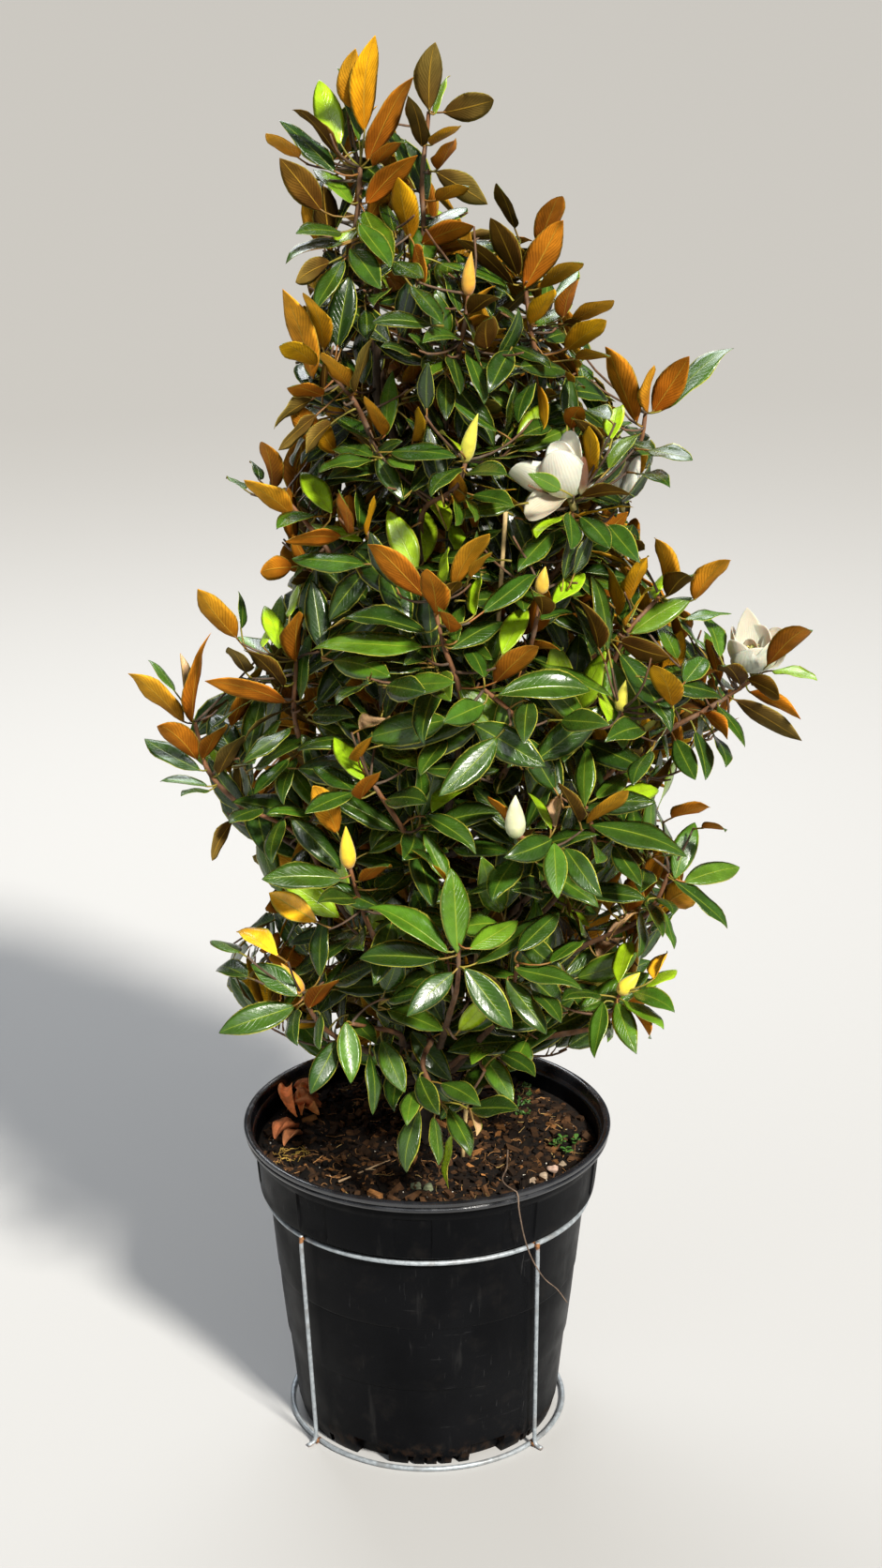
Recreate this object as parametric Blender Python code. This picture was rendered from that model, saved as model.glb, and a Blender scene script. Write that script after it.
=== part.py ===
# Potted southern magnolia: a bushy evergreen shrub in a round black nursery pot,
# held by a galvanised wire hoop stand.  Metres, +Z up.  The origin is the centre
# of the pot's flat base, on the ground.  -Y is the front of the plant.

import math
import random
import re

import bmesh
import bpy
import numpy as np
from mathutils import Matrix, Vector
from mathutils.bvhtree import BVHTree
from mathutils.geometry import intersect_ray_tri

for old in list(bpy.data.objects):
    bpy.data.objects.remove(old, do_unlink=True)

# ------------------------------------------------------------------ dimensions
SEG = 40              # facets round the pot, the soil and the hoops
RIM_R = 0.2600        # outer radius of the rolled rim
RIM_Z = 0.4535        # crest of the rim above the ground
BASE_R = 0.1830       # radius of the toothed foot
COLLAR_Z = 0.3580     # lower edge of the deep collar under the rim
COLLAR_R = 0.2390     # collar radius at that edge
BAND_2_Z = 0.2370     # the two shallow steps round the body
BAND_1_Z = 0.1330
WALL = 0.0030         # moulded wall
SOIL_Z = 0.4135       # potting mix level at the wall
SOIL_MOUND = 0.0065   # how much higher it is round the stem
GAP = 0.0004          # clearance between pieces that touch

HOOP_WIRE = 0.0035    # wire radius of both hoops
TOP_HOOP_R = 0.2310
TOP_HOOP_Z = 0.3474
BOTTOM_HOOP_R = 0.1990
LEG_WIRE = 0.0030
# where the four legs meet the upper and the lower hoop (degrees from the front, to the right)
LEG_AZ = ((-46.6, -50.6), (39.7, 47.9), (133.4, 129.4), (219.7, 227.9))

TRUNK_R0 = 0.0125     # stem radius at the soil
LEAF_T = 0.0026       # thickness of the simple leaf solids
CLEAR = 0.0007        # least clearance kept round a leaf

# Where the plant is seen from: picture readings (column, row) are turned into
# places by a ray from this viewpoint to an upright plane at a stated depth.
VIEW_F = 2800.0
VIEW_C = (470.5, 836.0)
VIEW_POS = Vector((0.0196, -3.3697, 2.1233))
VIEW_PITCH = math.radians(19.148)

rng = random.Random(20611)

# ------------------------------------------------------------------ materials


def material(name, rgb, rough, metal=0.0):
    m = bpy.data.materials.new(name)
    m.use_nodes = True
    b = m.node_tree.nodes["Principled BSDF"]
    b.inputs["Base Color"].default_value = (*rgb, 1.0)
    b.inputs["Roughness"].default_value = rough
    b.inputs["Metallic"].default_value = metal
    m.diffuse_color = (*rgb, 1.0)
    return m


MAT = {
    "pot": material("black_pot", (0.022, 0.022, 0.023), 0.45),
    "wire": material("galvanised_wire", (0.42, 0.42, 0.41), 0.45, 0.9),
    "soil": material("potting_mix", (0.055, 0.035, 0.022), 0.95),
    "bark": material("bark", (0.12, 0.085, 0.055), 0.85),
    "cane": material("cane", (0.42, 0.30, 0.15), 0.6),
    "leaf": material("magnolia_leaf", (0.045, 0.10, 0.022), 0.3),
    "rust_leaf": material("magnolia_leaf_rusty", (0.30, 0.13, 0.035), 0.6),
    "petal": material("petal", (0.86, 0.80, 0.64), 0.5),
    "dead": material("dead_leaf", (0.42, 0.18, 0.08), 0.8),
    "stone": material("stone", (0.33, 0.25, 0.17), 0.8),
    "moss": material("moss", (0.10, 0.14, 0.03), 0.9),
    "dry": material("dry_stem", (0.12, 0.06, 0.03), 0.8),
}

# ------------------------------------------------------------------ helpers
FWD = Vector((0.0, math.cos(VIEW_PITCH), -math.sin(VIEW_PITCH)))
UPV = Vector((0.0, math.sin(VIEW_PITCH), math.cos(VIEW_PITCH)))


def px(col, row, y):
    """The place at depth y that is seen at this column and row."""
    d = FWD + UPV * ((VIEW_C[1] - row) / VIEW_F) + Vector(((col - VIEW_C[0]) / VIEW_F, 0, 0))
    return VIEW_POS + d * ((y - VIEW_POS.y) / d.y)


def px_scale(p):
    """Picture units per metre at a place."""
    return VIEW_F / (p - VIEW_POS).dot(FWD)


def px_round(col, row, radius):
    """The place on an upright cylinder round the pot's axis, on its near side."""
    lo, hi = -radius, 0.0
    for _ in range(40):
        mid = 0.5 * (lo + hi)
        p = px(col, row, mid)
        if math.hypot(p.x, p.y) > radius:
            lo = mid
        else:
            hi = mid
    return px(col, row, 0.5 * (lo + hi))


OBSTACLES = []   # (name, low, high, tree) of each piece already placed


def box_of(points):
    a = np.array([tuple(p) for p in points])
    return a.min(0), a.max(0)


def add_obstacle(name, verts, faces):
    lo, hi = box_of(verts)
    OBSTACLES.append((name, lo, hi, BVHTree.FromPolygons([tuple(v) for v in verts], faces)))


def hits(verts, faces, skip=(), others=None):
    lo, hi = box_of(verts)
    tree = None
    for name, l2, h2, other in (OBSTACLES if others is None else others):
        if name in skip or (lo > h2).any() or (hi < l2).any():
            continue
        if tree is None:
            tree = BVHTree.FromPolygons([tuple(v) for v in verts], faces)
        if tree.overlap(other):
            return True
    return False


def finish(name, bm, mat, smooth=60.0, obstacle=True):
    bmesh.ops.recalc_face_normals(bm, faces=bm.faces)
    bmesh.ops.triangulate(bm, faces=bm.faces)
    if bm.calc_volume(signed=True) < 0:
        bmesh.ops.reverse_faces(bm, faces=bm.faces)
    me = bpy.data.meshes.new(name)
    bm.to_mesh(me)
    bm.free()
    me.materials.append(MAT[mat])
    me.shade_smooth()
    me.set_sharp_from_angle(angle=math.radians(smooth))
    ob = bpy.data.objects.new(name, me)
    bpy.context.scene.collection.objects.link(ob)
    if obstacle:
        add_obstacle(name, [v.co.copy() for v in me.vertices], [tuple(p.vertices) for p in me.polygons])
    return ob


def smooth_path(points, count):
    """Points along a smooth curve through the given ones, evenly spaced or at given fractions."""
    pts = [Vector(p) for p in points]
    n = len(pts)
    gaps = [max((b - a).length, 1e-6) for a, b in zip(pts, pts[1:])]
    slopes = []
    for i in range(n):
        if i == 0:
            slopes.append((pts[1] - pts[0]) / gaps[0])
        elif i == n - 1:
            slopes.append((pts[-1] - pts[-2]) / gaps[-1])
        else:
            g0, g1 = gaps[i - 1], gaps[i]
            slopes.append((((pts[i] - pts[i - 1]) / g0) * g1 + ((pts[i + 1] - pts[i]) / g1) * g0) / (g0 + g1))
    fine = []
    for i in range(n - 1):
        g = gaps[i]
        for k in range(16):
            t = k / 16.0
            fine.append(pts[i] * (2 * t ** 3 - 3 * t * t + 1) + slopes[i] * (g * (t ** 3 - 2 * t * t + t))
                        + pts[i + 1] * (3 * t * t - 2 * t ** 3) + slopes[i + 1] * (g * (t ** 3 - t * t)))
    fine.append(pts[-1])
    arc = [0.0]
    for a, b in zip(fine, fine[1:]):
        arc.append(arc[-1] + (b - a).length)
    wanted = count if hasattr(count, "__len__") else [i / (count - 1) for i in range(count)]
    out, j = [], 0
    for w in wanted:
        s = w * arc[-1]
        while j < len(arc) - 2 and arc[j + 1] < s:
            j += 1
        f = (s - arc[j]) / max(arc[j + 1] - arc[j], 1e-9)
        out.append(fine[j].lerp(fine[j + 1], min(max(f, 0.0), 1.0)))
    return out


def rings_along(points, radii, sides, hint=Vector((0.31, -1.0, 0.17))):
    """Rings of corners square to a path, without twist."""
    rings = []
    n = len(points)
    side = None
    for i in range(n):
        t = (points[min(i + 1, n - 1)] - points[max(i - 1, 0)]).normalized()
        if side is None:
            side = t.cross(hint).normalized()
        side = (side - t * side.dot(t)).normalized()
        other = t.cross(side)
        rings.append([points[i] + (side * math.cos(2 * math.pi * k / sides)
                                   + other * math.sin(2 * math.pi * k / sides)) * radii[i]
                      for k in range(sides)])
    return rings


def tube_bm(points, radii, sides, point_tip=False):
    """A tube as a closed solid, its end drawn to a point where asked."""
    bm = bmesh.new()
    rings = rings_along(points, radii, sides)
    vs = [[bm.verts.new(p) for p in ring] for ring in (rings[:-1] if point_tip else rings)]
    bands = []
    for i in range(len(vs) - 1):
        for k in range(sides):
            bands.append((i, k, bm.faces.new((vs[i][k], vs[i][(k + 1) % sides],
                                              vs[i + 1][(k + 1) % sides], vs[i + 1][k]))))
    bm.faces.new(vs[0][::-1])
    if point_tip:
        tip = bm.verts.new(points[-1])
        for k in range(sides):
            bm.faces.new((vs[-1][k], vs[-1][(k + 1) % sides], tip))
    else:
        bm.faces.new(vs[-1])
    return bm, vs, bands


def spin_profile(profile, seg=SEG):
    """Turn a profile of (r, z), from one axis point to the other, into a solid."""
    bm = bmesh.new()
    rows = []
    for r, z in profile:
        if r < 1e-9:
            rows.append([bm.verts.new((0, 0, z))])
        else:
            rows.append([bm.verts.new((r * math.sin(2 * math.pi * k / seg),
                                       -r * math.cos(2 * math.pi * k / seg), z)) for k in range(seg)])
    for a, b in zip(rows, rows[1:]):
        for k in range(seg):
            k2 = (k + 1) % seg
            if len(a) == 1:
                bm.faces.new((a[0], b[k], b[k2]))
            elif len(b) == 1:
                bm.faces.new((a[k], b[0], a[k2]))
            else:
                bm.faces.new((a[k], b[k], b[k2], a[k2]))
    return bm


# ------------------------------------------------------------------ nursery pot
# outer profile from the centre of the base outwards and up, over the rolled
# double rim and down the inside to the floor
POT_PROFILE = [
    (0.0, 0.0), (BASE_R, 0.0), (0.1905, 0.026), (0.2020, BAND_1_Z - 0.001),
    (0.2034, BAND_1_Z), (0.2138, BAND_2_Z - 0.001), (0.2152, BAND_2_Z), (0.2262, COLLAR_Z - 0.0015),
    (COLLAR_R - 0.001, COLLAR_Z), (0.2450, 0.4225), (0.2468, 0.4232), (0.2480, 0.4350),
    (0.2568, 0.4372), (0.2575, 0.4418), (0.2545, 0.4446), (RIM_R, 0.4470), (0.2597, 0.4510),
    (0.2560, RIM_Z), (0.2510, 0.4525), (0.2480, 0.4400), (0.2440, 0.4330), (0.2420, 0.4150),
    (0.2360, COLLAR_Z + 0.0030), (0.2232, COLLAR_Z - 0.0020), (0.1990, BAND_1_Z),
    (0.1900, 0.042), (0.1720, 0.034), (0.1680, 0.006), (0.0, 0.005),
]
pot_bm = spin_profile(POT_PROFILE)
pot = finish("nursery_pot", pot_bm, "pot", 30.0)

# six wide notches between the feet and two small slots in the front foot
cut = bmesh.new()


def cut_box(az, width, depth_in, height, top_narrow):
    a = math.radians(az)
    out = Vector((math.sin(a), -math.cos(a), 0))
    side = Vector((math.cos(a), math.sin(a), 0))
    corners = []
    for z, w in ((-0.01, width), (height, width * top_narrow)):
        for s, d in ((-1, BASE_R - depth_in), (1, BASE_R - depth_in), (1, BASE_R + 0.03), (-1, BASE_R + 0.03)):
            corners.append(cut.verts.new(out * d + side * (s * w / 2) + Vector((0, 0, z))))
    lo, hi = corners[:4], corners[4:]
    cut.faces.new(lo[::-1])
    cut.faces.new(hi)
    for k in range(4):
        cut.faces.new((lo[k], lo[(k + 1) % 4], hi[(k + 1) % 4], hi[k]))


for az in (-28.0, 28.0, 88.0, 152.0, 208.0, 272.0):
    cut_box(az, 0.054, 0.0070, 0.0300, 0.88)
cut_box(-6.4, 0.0100, 0.0060, 0.0130, 1.0)
cut_box(3.7, 0.0120, 0.0060, 0.0150, 1.0)
bmesh.ops.recalc_face_normals(cut, faces=cut.faces)
cut_me = bpy.data.meshes.new("notch_cutter")
cut.to_mesh(cut_me)
cut.free()
cutter = bpy.data.objects.new("notch_cutter", cut_me)
bpy.context.scene.collection.objects.link(cutter)
cutter.hide_render = True
cutter.display_type = "WIRE"
notch = pot.modifiers.new("notches", "BOOLEAN")
notch.operation = "DIFFERENCE"
notch.object = cutter
notch.solver = "EXACT"

# ------------------------------------------------------------------ potting mix
SOIL_PROFILE = [
    (0.0, SOIL_Z + SOIL_MOUND), (0.050, SOIL_Z + SOIL_MOUND), (0.150, SOIL_Z + 0.0040),
    (0.2410, SOIL_Z), (0.2353, COLLAR_Z + 0.0036), (0.2225, COLLAR_Z - 0.0018),
    (0.1983, BAND_1_Z), (0.1894, 0.0426), (0.1716, 0.0346), (0.1675, 0.0066), (0.0, 0.0056),
]
finish("potting_mix", spin_profile(SOIL_PROFILE), "soil", 40.0)

# ------------------------------------------------------------------ wire stand


def hoop(name, radius, z, wire):
    bm = bmesh.new()
    sides = 6
    rows = []
    for k in range(SEG):
        a = 2 * math.pi * k / SEG
        row = []
        for j in range(sides):
            b = 2 * math.pi * (j + 0.5) / sides
            r = radius + wire * math.cos(b)
            row.append(bm.verts.new((r * math.sin(a), -r * math.cos(a), z + wire * math.sin(b))))
        rows.append(row)
    for k in range(SEG):
        for j in range(sides):
            bm.faces.new((rows[k][j], rows[(k + 1) % SEG][j], rows[(k + 1) % SEG][(j + 1) % sides], rows[k][(j + 1) % sides]))
    return finish(name, bm, "wire", 80.0)


hoop("stand_top_hoop", TOP_HOOP_R, TOP_HOOP_Z, HOOP_WIRE)
hoop("stand_bottom_hoop", BOTTOM_HOOP_R, HOOP_WIRE, HOOP_WIRE)

LEG_STEP = HOOP_WIRE + LEG_WIRE + GAP
for i, (az, foot_az) in enumerate(LEG_AZ):
    a, b = math.radians(az), math.radians(foot_az)
    out = Vector((math.sin(a), -math.cos(a), 0))
    foot = Vector((math.sin(b), -math.cos(b), 0))
    path = [out * (TOP_HOOP_R + LEG_STEP) + Vector((0, 0, TOP_HOOP_Z + 0.006)),
            out * (TOP_HOOP_R + LEG_STEP) + Vector((0, 0, TOP_HOOP_Z - 0.012)),
            foot * (BOTTOM_HOOP_R + LEG_STEP) + Vector((0, 0, 0.030)),
            foot * (BOTTOM_HOOP_R + LEG_STEP + 0.0002) + Vector((0, 0, 0.009)),
            foot * (BOTTOM_HOOP_R + LEG_STEP + 0.0045) + Vector((0, 0, LEG_WIRE + 0.0002)),
            foot * (BOTTOM_HOOP_R + LEG_STEP + 0.0140) + Vector((0, 0, LEG_WIRE))]
    bm, _, _ = tube_bm([Vector(p) for p in path], [LEG_WIRE] * len(path), 6)
    for v in bm.verts:
        v.co.z = max(v.co.z, 0.0)
    finish("stand_leg_%d" % (i + 1), bm, "wire", 60.0)

# ------------------------------------------------------------------ main stem
# the stem rises from the middle of the pot and bends to the left-hand leader
TRUNK_PATH = [Vector((0.0, 0.0, SOIL_Z + SOIL_MOUND + GAP)), Vector((0.0, 0.0, 0.450)), Vector((0.004, 0.004, 0.60)),
              Vector((-0.004, 0.000, 0.85)), Vector((0.002, 0.006, 1.10)), Vector((-0.030, 0.004, 1.36)),
              px(392, 330, 0.0), px(378, 262, 0.0), px(383, 212, 0.0), px(384, 178, 0.0)]
trunk_stations = [0, 0.02, 0.08, 0.16, 0.24, 0.32, 0.40, 0.48, 0.56, 0.64, 0.72]
for s in range(9):
    trunk_stations += [0.80 + 0.0225 * s, 0.805 + 0.0225 * s]
trunk_pts = smooth_path(TRUNK_PATH, trunk_stations)
trunk_radii = [TRUNK_R0 * (1 - s) + 0.0035 * s for s in trunk_stations]


def trunk_at(z):
    """Centre and radius of the main stem at a height."""
    for i in range(len(trunk_pts) - 1):
        a, b = trunk_pts[i], trunk_pts[i + 1]
        if a.z <= z <= b.z:
            f = (z - a.z) / (b.z - a.z)
            return a.lerp(b, f), trunk_radii[i] * (1 - f) + trunk_radii[i + 1] * f
    return trunk_pts[-1], trunk_radii[-1]


# cane stake standing beside the stem, leaning forward between the branches
cane_top = px(539.5, 546, -0.150)
cane_foot = Vector((0.050, -0.060, SOIL_Z + 0.0080))
cane_bm, _, _ = tube_bm([cane_foot.lerp(cane_top, k / 3) for k in range(4)], [0.0030] * 4, 6)
finish("cane_stake", cane_bm, "cane", 60.0)

# ------------------------------------------------------------------ shoots
# Picture readings of the leaves on each shoot: face colour, tip, base, width.
# G g L: upper face seen; U O B K Y S T: under face (or a turned old leaf) seen.
LEAVES = {
    "A": "O379,51>375,115w24 Y400,37>389,140w29 U440,81>392,172w26 L340,85>363,153w33 g361,71>383,150w19 "
         "B314,113>364,172w12 G298,128>358,184w22 O284,141>318,168w17 B298,168>343,225w36 g334,179>375,217w17 "
         "g410,182>387,212w12 U446,166>391,217w27 U433,149>398,178w14",
    "B": "K464,44>458,118w31 K530,106>473,120w35 K436,100>450,156w21 O486,133>460,155w16 U484,149>467,181w18 "
         "K521,218>465,183w28 Y425,189>438,256w28 G498,221>456,242w14 U506,240>450,260w25",
    "C": "G316,248>364,248w16 G304,277>366,259w14 K314,301>352,280w22 G335,328>366,277w24 G418,284>383,238w22 "
         "G407,309>373,265w28 G452,297>421,279w22 U456,302>442,261w18 G398,325>412,311w12",
    "D": "B488,253>547,304w16 B524,230>553,295w26 U598,205>575,260w26 U600,232>559,308w34 O622,278>576,308w18 "
         "g616,287>593,321w16 U617,295>601,339w18 Y589,306>566,346w22 g611,323>572,348w14 O655,320>610,343w18 "
         "Y647,337>603,373w26 O650,379>614,383w12",
    "E": "G471,287>489,333w13 B534,316>500,335w18 G451,364>489,360w17 G492,420>482,377w16 G519,429>498,373w16 "
         "G522,417>545,373w27 G472,344>438,304w18 G553,451>570,404w18",
    "F": "U647,368>679,451w28 O697,390>691,440w12 U728,382>695,440w33 G782,369>710,436w22 G665,463>626,512w22",
    "FL1": "Y624,449>626,511w25 B615,432>640,480w26 L661,430>653,468w22 G627,437>650,448w16 G739,491>691,480w17 "
           "B679,528>620,530w18 G714,516>680,505w12 L571,570>598,551w12 G610,585>607,547w19 G651,586>619,551w24 "
           "G683,600>649,560w26 G552,608>590,566w24 G548,539>504,528w17",
    "G": "O301,308>334,404w28 Y324,311>345,373w23 Y305,366>339,390w16 O343,376>372,413w20 K394,361>379,418w17 "
         "U307,411>345,422w18 K291,457>333,426w14 K296,480>337,443w16 K326,484>354,451w16 G351,441>394,468w16 "
         "O389,422>408,465w17 g418,394>412,464w20",
    "H": "G340,503>398,491w15 G354,478>398,487w14 G487,487>417,482w20 g447,500>418,486w12 G459,527>492,499w18 "
         "G540,505>497,505w16",
    "I": "U362,522>372,568w14 G379,516>383,566w14 Y398,528>391,571w8 L413,543>444,610w32 L438,545>450,600w14 "
         "L456,528>477,566w18 L486,558>490,597w20 G311,596>390,602w22 U304,577>364,573w18",
    "J": "U281,471>291,522w20 O260,512>312,550w24 g242,508>261,522w8 L321,501>354,547w26 g295,564>337,549w14 "
         "L324,558>387,577w14 U277,610>312,605w26",
    "V": "U393,577>453,636w30 U455,607>465,656w28 B502,626>467,654w18 L478,583>476,619w12 O522,568>484,627w22 "
         "L513,611>507,656w14 G572,609>515,653w24 g494,644>488,684w18 L563,646>536,698w26 G541,661>482,692w24 "
         "U575,685>528,728w26 G330,687>450,690w28 G365,658>455,675w22",
    "W": "B572,632>578,655w20 L624,610>591,644w20 G616,655>576,661w10",
    "X": "G473,770>517,751w30 G630,736>532,741w32 G498,690>516,722w18 G559,794>564,747w26 G649,772>599,768w26",
    "Z": "B612,636>639,692w16 G632,613>649,694w18 B715,701>661,684w24 G646,790>687,776w26 Y690,701>715,751w22 "
         "G753,698>730,728w26",
    "AA": "Y647,598>658,656w13 Y690,590>672,640w20 G681,625>664,667w18 Y696,625>668,667w13 O700,571>713,633w22 "
          "O780,594>741,640w22 L707,613>699,638w14 g739,636>673,676w26 g781,654>730,661w10 g701,666>722,703w17",
    "FL2": "g749,654>768,700w16 U872,676>820,711w20 L872,724>824,715w12 B833,744>797,724w20 B772,708>790,730w22 "
           "U855,767>799,738w16 K856,790>784,746w22 G795,797>766,753w14 U778,788>751,761w15 G776,816>762,784w12 "
           "G753,832>742,780w17 G742,832>720,788w26",
    "K": "O211,627>252,680w28 G254,630>257,671w9 U319,652>316,705w22 L315,625>309,657w12 L283,644>300,694w22 "
         "g254,678>291,705w16 B260,692>302,732w15 U218,726>306,749w22 G331,675>321,747w16 G259,812>310,776w17 "
         "G271,847>308,809w15 G302,858>316,807w17",
    "L": "U225,674>205,770w14 g159,702>187,738w9 O137,716>196,770w22 U167,771>210,810w26 U239,774>216,810w18 "
         "G154,788>214,822w22 g170,831>222,839w9 K260,783>233,826w20",
    "M": "L356,786>387,832w24 G333,816>377,843w20 G325,868>377,845w20 T417,767>384,778w14 G455,855>411,853w24 "
         "G448,826>475,788w22 G509,910>454,870w22 G543,908>482,903w20",
    "N": "G245,876>281,862w15 K226,918>249,874w14 G289,920>302,872w18 G365,926>310,870w28",
    "O": "G279,938>365,937w30 U413,920>385,940w14 G430,925>402,948w20 G340,960>378,958w20 S287,952>338,983w36 "
         "S252,993>296,1019w22",
    "PL": "g227,1001>256,1016w15 G233,1031>264,1042w20 G262,1019>316,1060w25 G233,1101>314,1073w32 "
          "G315,1113>316,1077w17 U360,1045>330,1075w18 G346,977>342,1042w20 G340,1119>342,1080w10 "
          "G402,1113>373,1081w22",
    "P": "g482,925>488,1016w33 L393,965>478,1016w28 G382,1020>469,1023w30 G434,1084>484,1037w34 "
         "G547,1098>496,1033w33 g553,981>501,1012w26 G580,966>503,1027w28",
    "Q": "G622,1052>549,1033w22 G584,1102>540,1044w26 G599,1090>568,1056w17 g620,1002>587,1027w14",
    "R": "G540,914>589,895w32 g595,958>591,899w34 G641,956>603,905w28 T599,845>593,882w17 L564,844>588,884w10 "
         "B597,836>618,876w14",
    "S": "O670,840>626,878w16 G734,913>631,880w30 g626,797>624,860w22 g670,822>637,851w20 G685,945>655,901w22 "
         "g637,920>632,897w12 G675,837>695,801w20",
    "U": "g742,876>720,937w30 g789,925>730,941w25 G778,989>719,939w16 G719,973>705,958w14 G707,1000>690,960w14 "
         "G720,1012>709,973w10 G682,1021>682,971w12 U759,858>717,872w14",
    "T": "L672,1002>660,1048w20 g679,1124>658,1069w32 g633,1128>643,1069w20 G601,1063>641,1061w15 "
         "g719,1077>676,1058w22 g709,1094>665,1067w15 U695,1107>676,1079w12 L721,1032>690,1054w13",
    "LA": "G331,1166>359,1109w26 g375,1155>369,1090w26 G398,1189>394,1122w15 g432,1165>407,1109w26",
    "LB": "G482,1153>438,1099w34 g434,1198>442,1163w22 G468,1188>447,1147w26 G512,1178>470,1155w24 "
          "G432,1250>447,1184w24 G468,1243>463,1191w15 G503,1231>478,1182w22",
    "LC": "G547,1191>501,1184w20 g548,1175>516,1126w30 g503,1135>530,1115w16 G571,1147>535,1124w20",
}

# Each shoot: picture path from its leafy end inwards (column, row, depth), the
# height where it leaves the main stem, and its end bud (tip, base, width).
SHOOTS = {
    "B": ([(457, 124, .030), (450, 202, .022), (452, 245, .020), (438, 330, .012)], 1.42, None),
    "C": ([(386, 246, -.045), (400, 285, -.055), (402, 330, -.040)], 1.47, None),
    "D": ([(560, 300, -.060), (565, 345, -.062), (574, 400, -.055), (545, 470, -.030)], 1.31, None),
    "E": ([(500, 313, -.125), (496, 345, -.125), (490, 372, -.115), (480, 430, -.070)], 1.36,
          (503, 268, 500, 313, 15)),
    "F": ([(688, 445, -.020), (684, 470, -.022), (660, 505, -.020), (585, 600, .000)], 1.10, None),
    "FL1": ([(610, 540, -.168), (611, 562, -.165), (585, 620, -.120)], 1.16, None),
    "G": ([(352, 398, -.105), (376, 425, -.110), (400, 478, -.095), (425, 540, -.050)], 1.24, None),
    "H": ([(497, 491, -.190), (490, 515, -.185), (455, 540, -.150), (450, 590, -.090)], 1.15,
          (510, 441, 497, 491, 16)),
    "I": ([(392, 568, -.150), (412, 610, -.165), (445, 660, -.130)], 1.04, None),
    "J": ([(305, 532, -.060), (345, 580, -.080), (390, 650, -.060)], 1.00, None),
    "V": ([(463, 645, -.245), (474, 690, -.255), (487, 724, -.250), (490, 790, -.170)], 0.90, None),
    "W": ([(578, 631, -.235), (571, 668, -.235), (550, 730, -.160)], 1.00,
          (582, 604, 578, 631, 15)),
    "X": ([(520, 738, -.280), (548, 762, -.270), (535, 830, -.180)], 0.86, None),
    "Z": ([(662, 757, -.190), (668, 780, -.180), (625, 850, -.110)], 0.84,
          (668, 725, 662, 757, 14)),
    "AA": ([(700, 640, -.090), (672, 670, -.110), (640, 740, -.080)], 0.95, None),
    "FL2": ([(806, 722, -.080), (783, 738, -.085), (753, 757, -.090), (707, 782, -.095), (640, 850, -.060)], 0.80,
            None),
    "K": ([(316, 708, -.110), (314, 763, -.120), (355, 850, -.080)], 0.78, None),
    "L": ([(209, 775, -.020), (222, 822, -.030), (255, 858, -.040), (340, 920, -.030)], 0.72, None),
    "M": ([(398, 836, -.245), (418, 866, -.240), (450, 920, -.160)], 0.74, None),
    "N": ([(276, 868, -.150), (303, 880, -.150), (360, 960, -.090)], 0.66, None),
    "O": ([(373, 924, -.235), (384, 962, -.230), (410, 1020, -.150)], 0.62,
          (369, 881, 373, 924, 17)),
    "PL": ([(321, 1058, -.190), (338, 1088, -.180), (390, 1120, -.110)], 0.52,
           (300, 1027, 321, 1058, 16)),
    "P": ([(489, 1010, -.318), (489, 1034, -.305), (480, 1080, -.210)], 0.57, None),
    "Q": ([(552, 1030, -.290), (545, 1062, -.260), (510, 1110, -.160)], 0.54, None),
    "R": ([(551, 891, -.300), (592, 906, -.287), (562, 958, -.185)], 0.675,
          (550, 848, 551, 891, 22)),
    "S": ([(626, 862, -.240), (634, 893, -.235), (600, 950, -.140)], 0.70, None),
    "U": ([(712, 935, -.130), (700, 962, -.130), (620, 1010, -.080)], 0.63, None),
    "T": ([(662, 1058, -.200), (652, 1082, -.185), (570, 1110, -.110)], 0.50,
          (683, 1037, 662, 1058, 17)),
    "LA": ([(378, 1092, -.205), (420, 1100, -.150)], 0.53, None),
    "LB": ([(468, 1172, -.215), (452, 1140, -.220), (460, 1110, -.140)], 0.55, None),
    "LC": ([(516, 1140, -.210), (508, 1125, -.170)], 0.51, None),
}

# Shoots at the sides and the back: direction round the stem (degrees from the
# front, to the right), height where it leaves the stem, reach, rise, bud.
BACK_SHOOTS = {
    "back_1": (178, 1.36, 0.20, 0.20),
    "back_2": (125, 1.18, 0.24, 0.20),
    "back_3": (228, 1.12, 0.26, 0.20),
    "back_4": (173, 0.93, 0.30, 0.19),
    "back_5": (110, 0.80, 0.32, 0.17),
    "back_6": (238, 0.74, 0.33, 0.16),
    "back_7": (188, 0.60, 0.33, 0.10),
    "back_8": (140, 0.54, 0.28, 0.06),
}

LEAF_RE = re.compile(r"([A-Za-z])(\d+),(\d+)>(\d+),(\d+)w(\d+)")
UNDER = set("UOBKY")


def leaf_from_picture(code, tip, base, width, y):
    """Base, tip, half width and upward face direction of a leaf that is read from the picture."""
    b = px(base[0], base[1], y)
    k = px_scale(b)
    seen = math.hypot(tip[0] - base[0], tip[1] - base[1]) / k
    true = max(min(max(seen * 1.05, 0.100), 0.150), seen * 1.01)
    away = 0.80 * math.sqrt(max(true * true - seen * seen, 0.0))
    rising = tip[1] < base[1]
    sign = 1.0 if (rising and code not in UNDER) else -1.0
    t = px(tip[0], tip[1], y + sign * away)
    d = (t - b).normalized()
    view = VIEW_POS - (t + b) / 2
    n = (view - d * view.dot(d)).normalized()
    full = 0.40 * (t - b).length
    roll = math.acos(min(max(width / k / full, 0.30), 1.0))
    if code in UNDER:
        n = -n
    turns = [Matrix.Rotation(s * roll, 3, d) @ n for s in (-1, 1)]
    n = max(turns, key=lambda q: q.z)
    return b, t, full / 2, n


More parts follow.
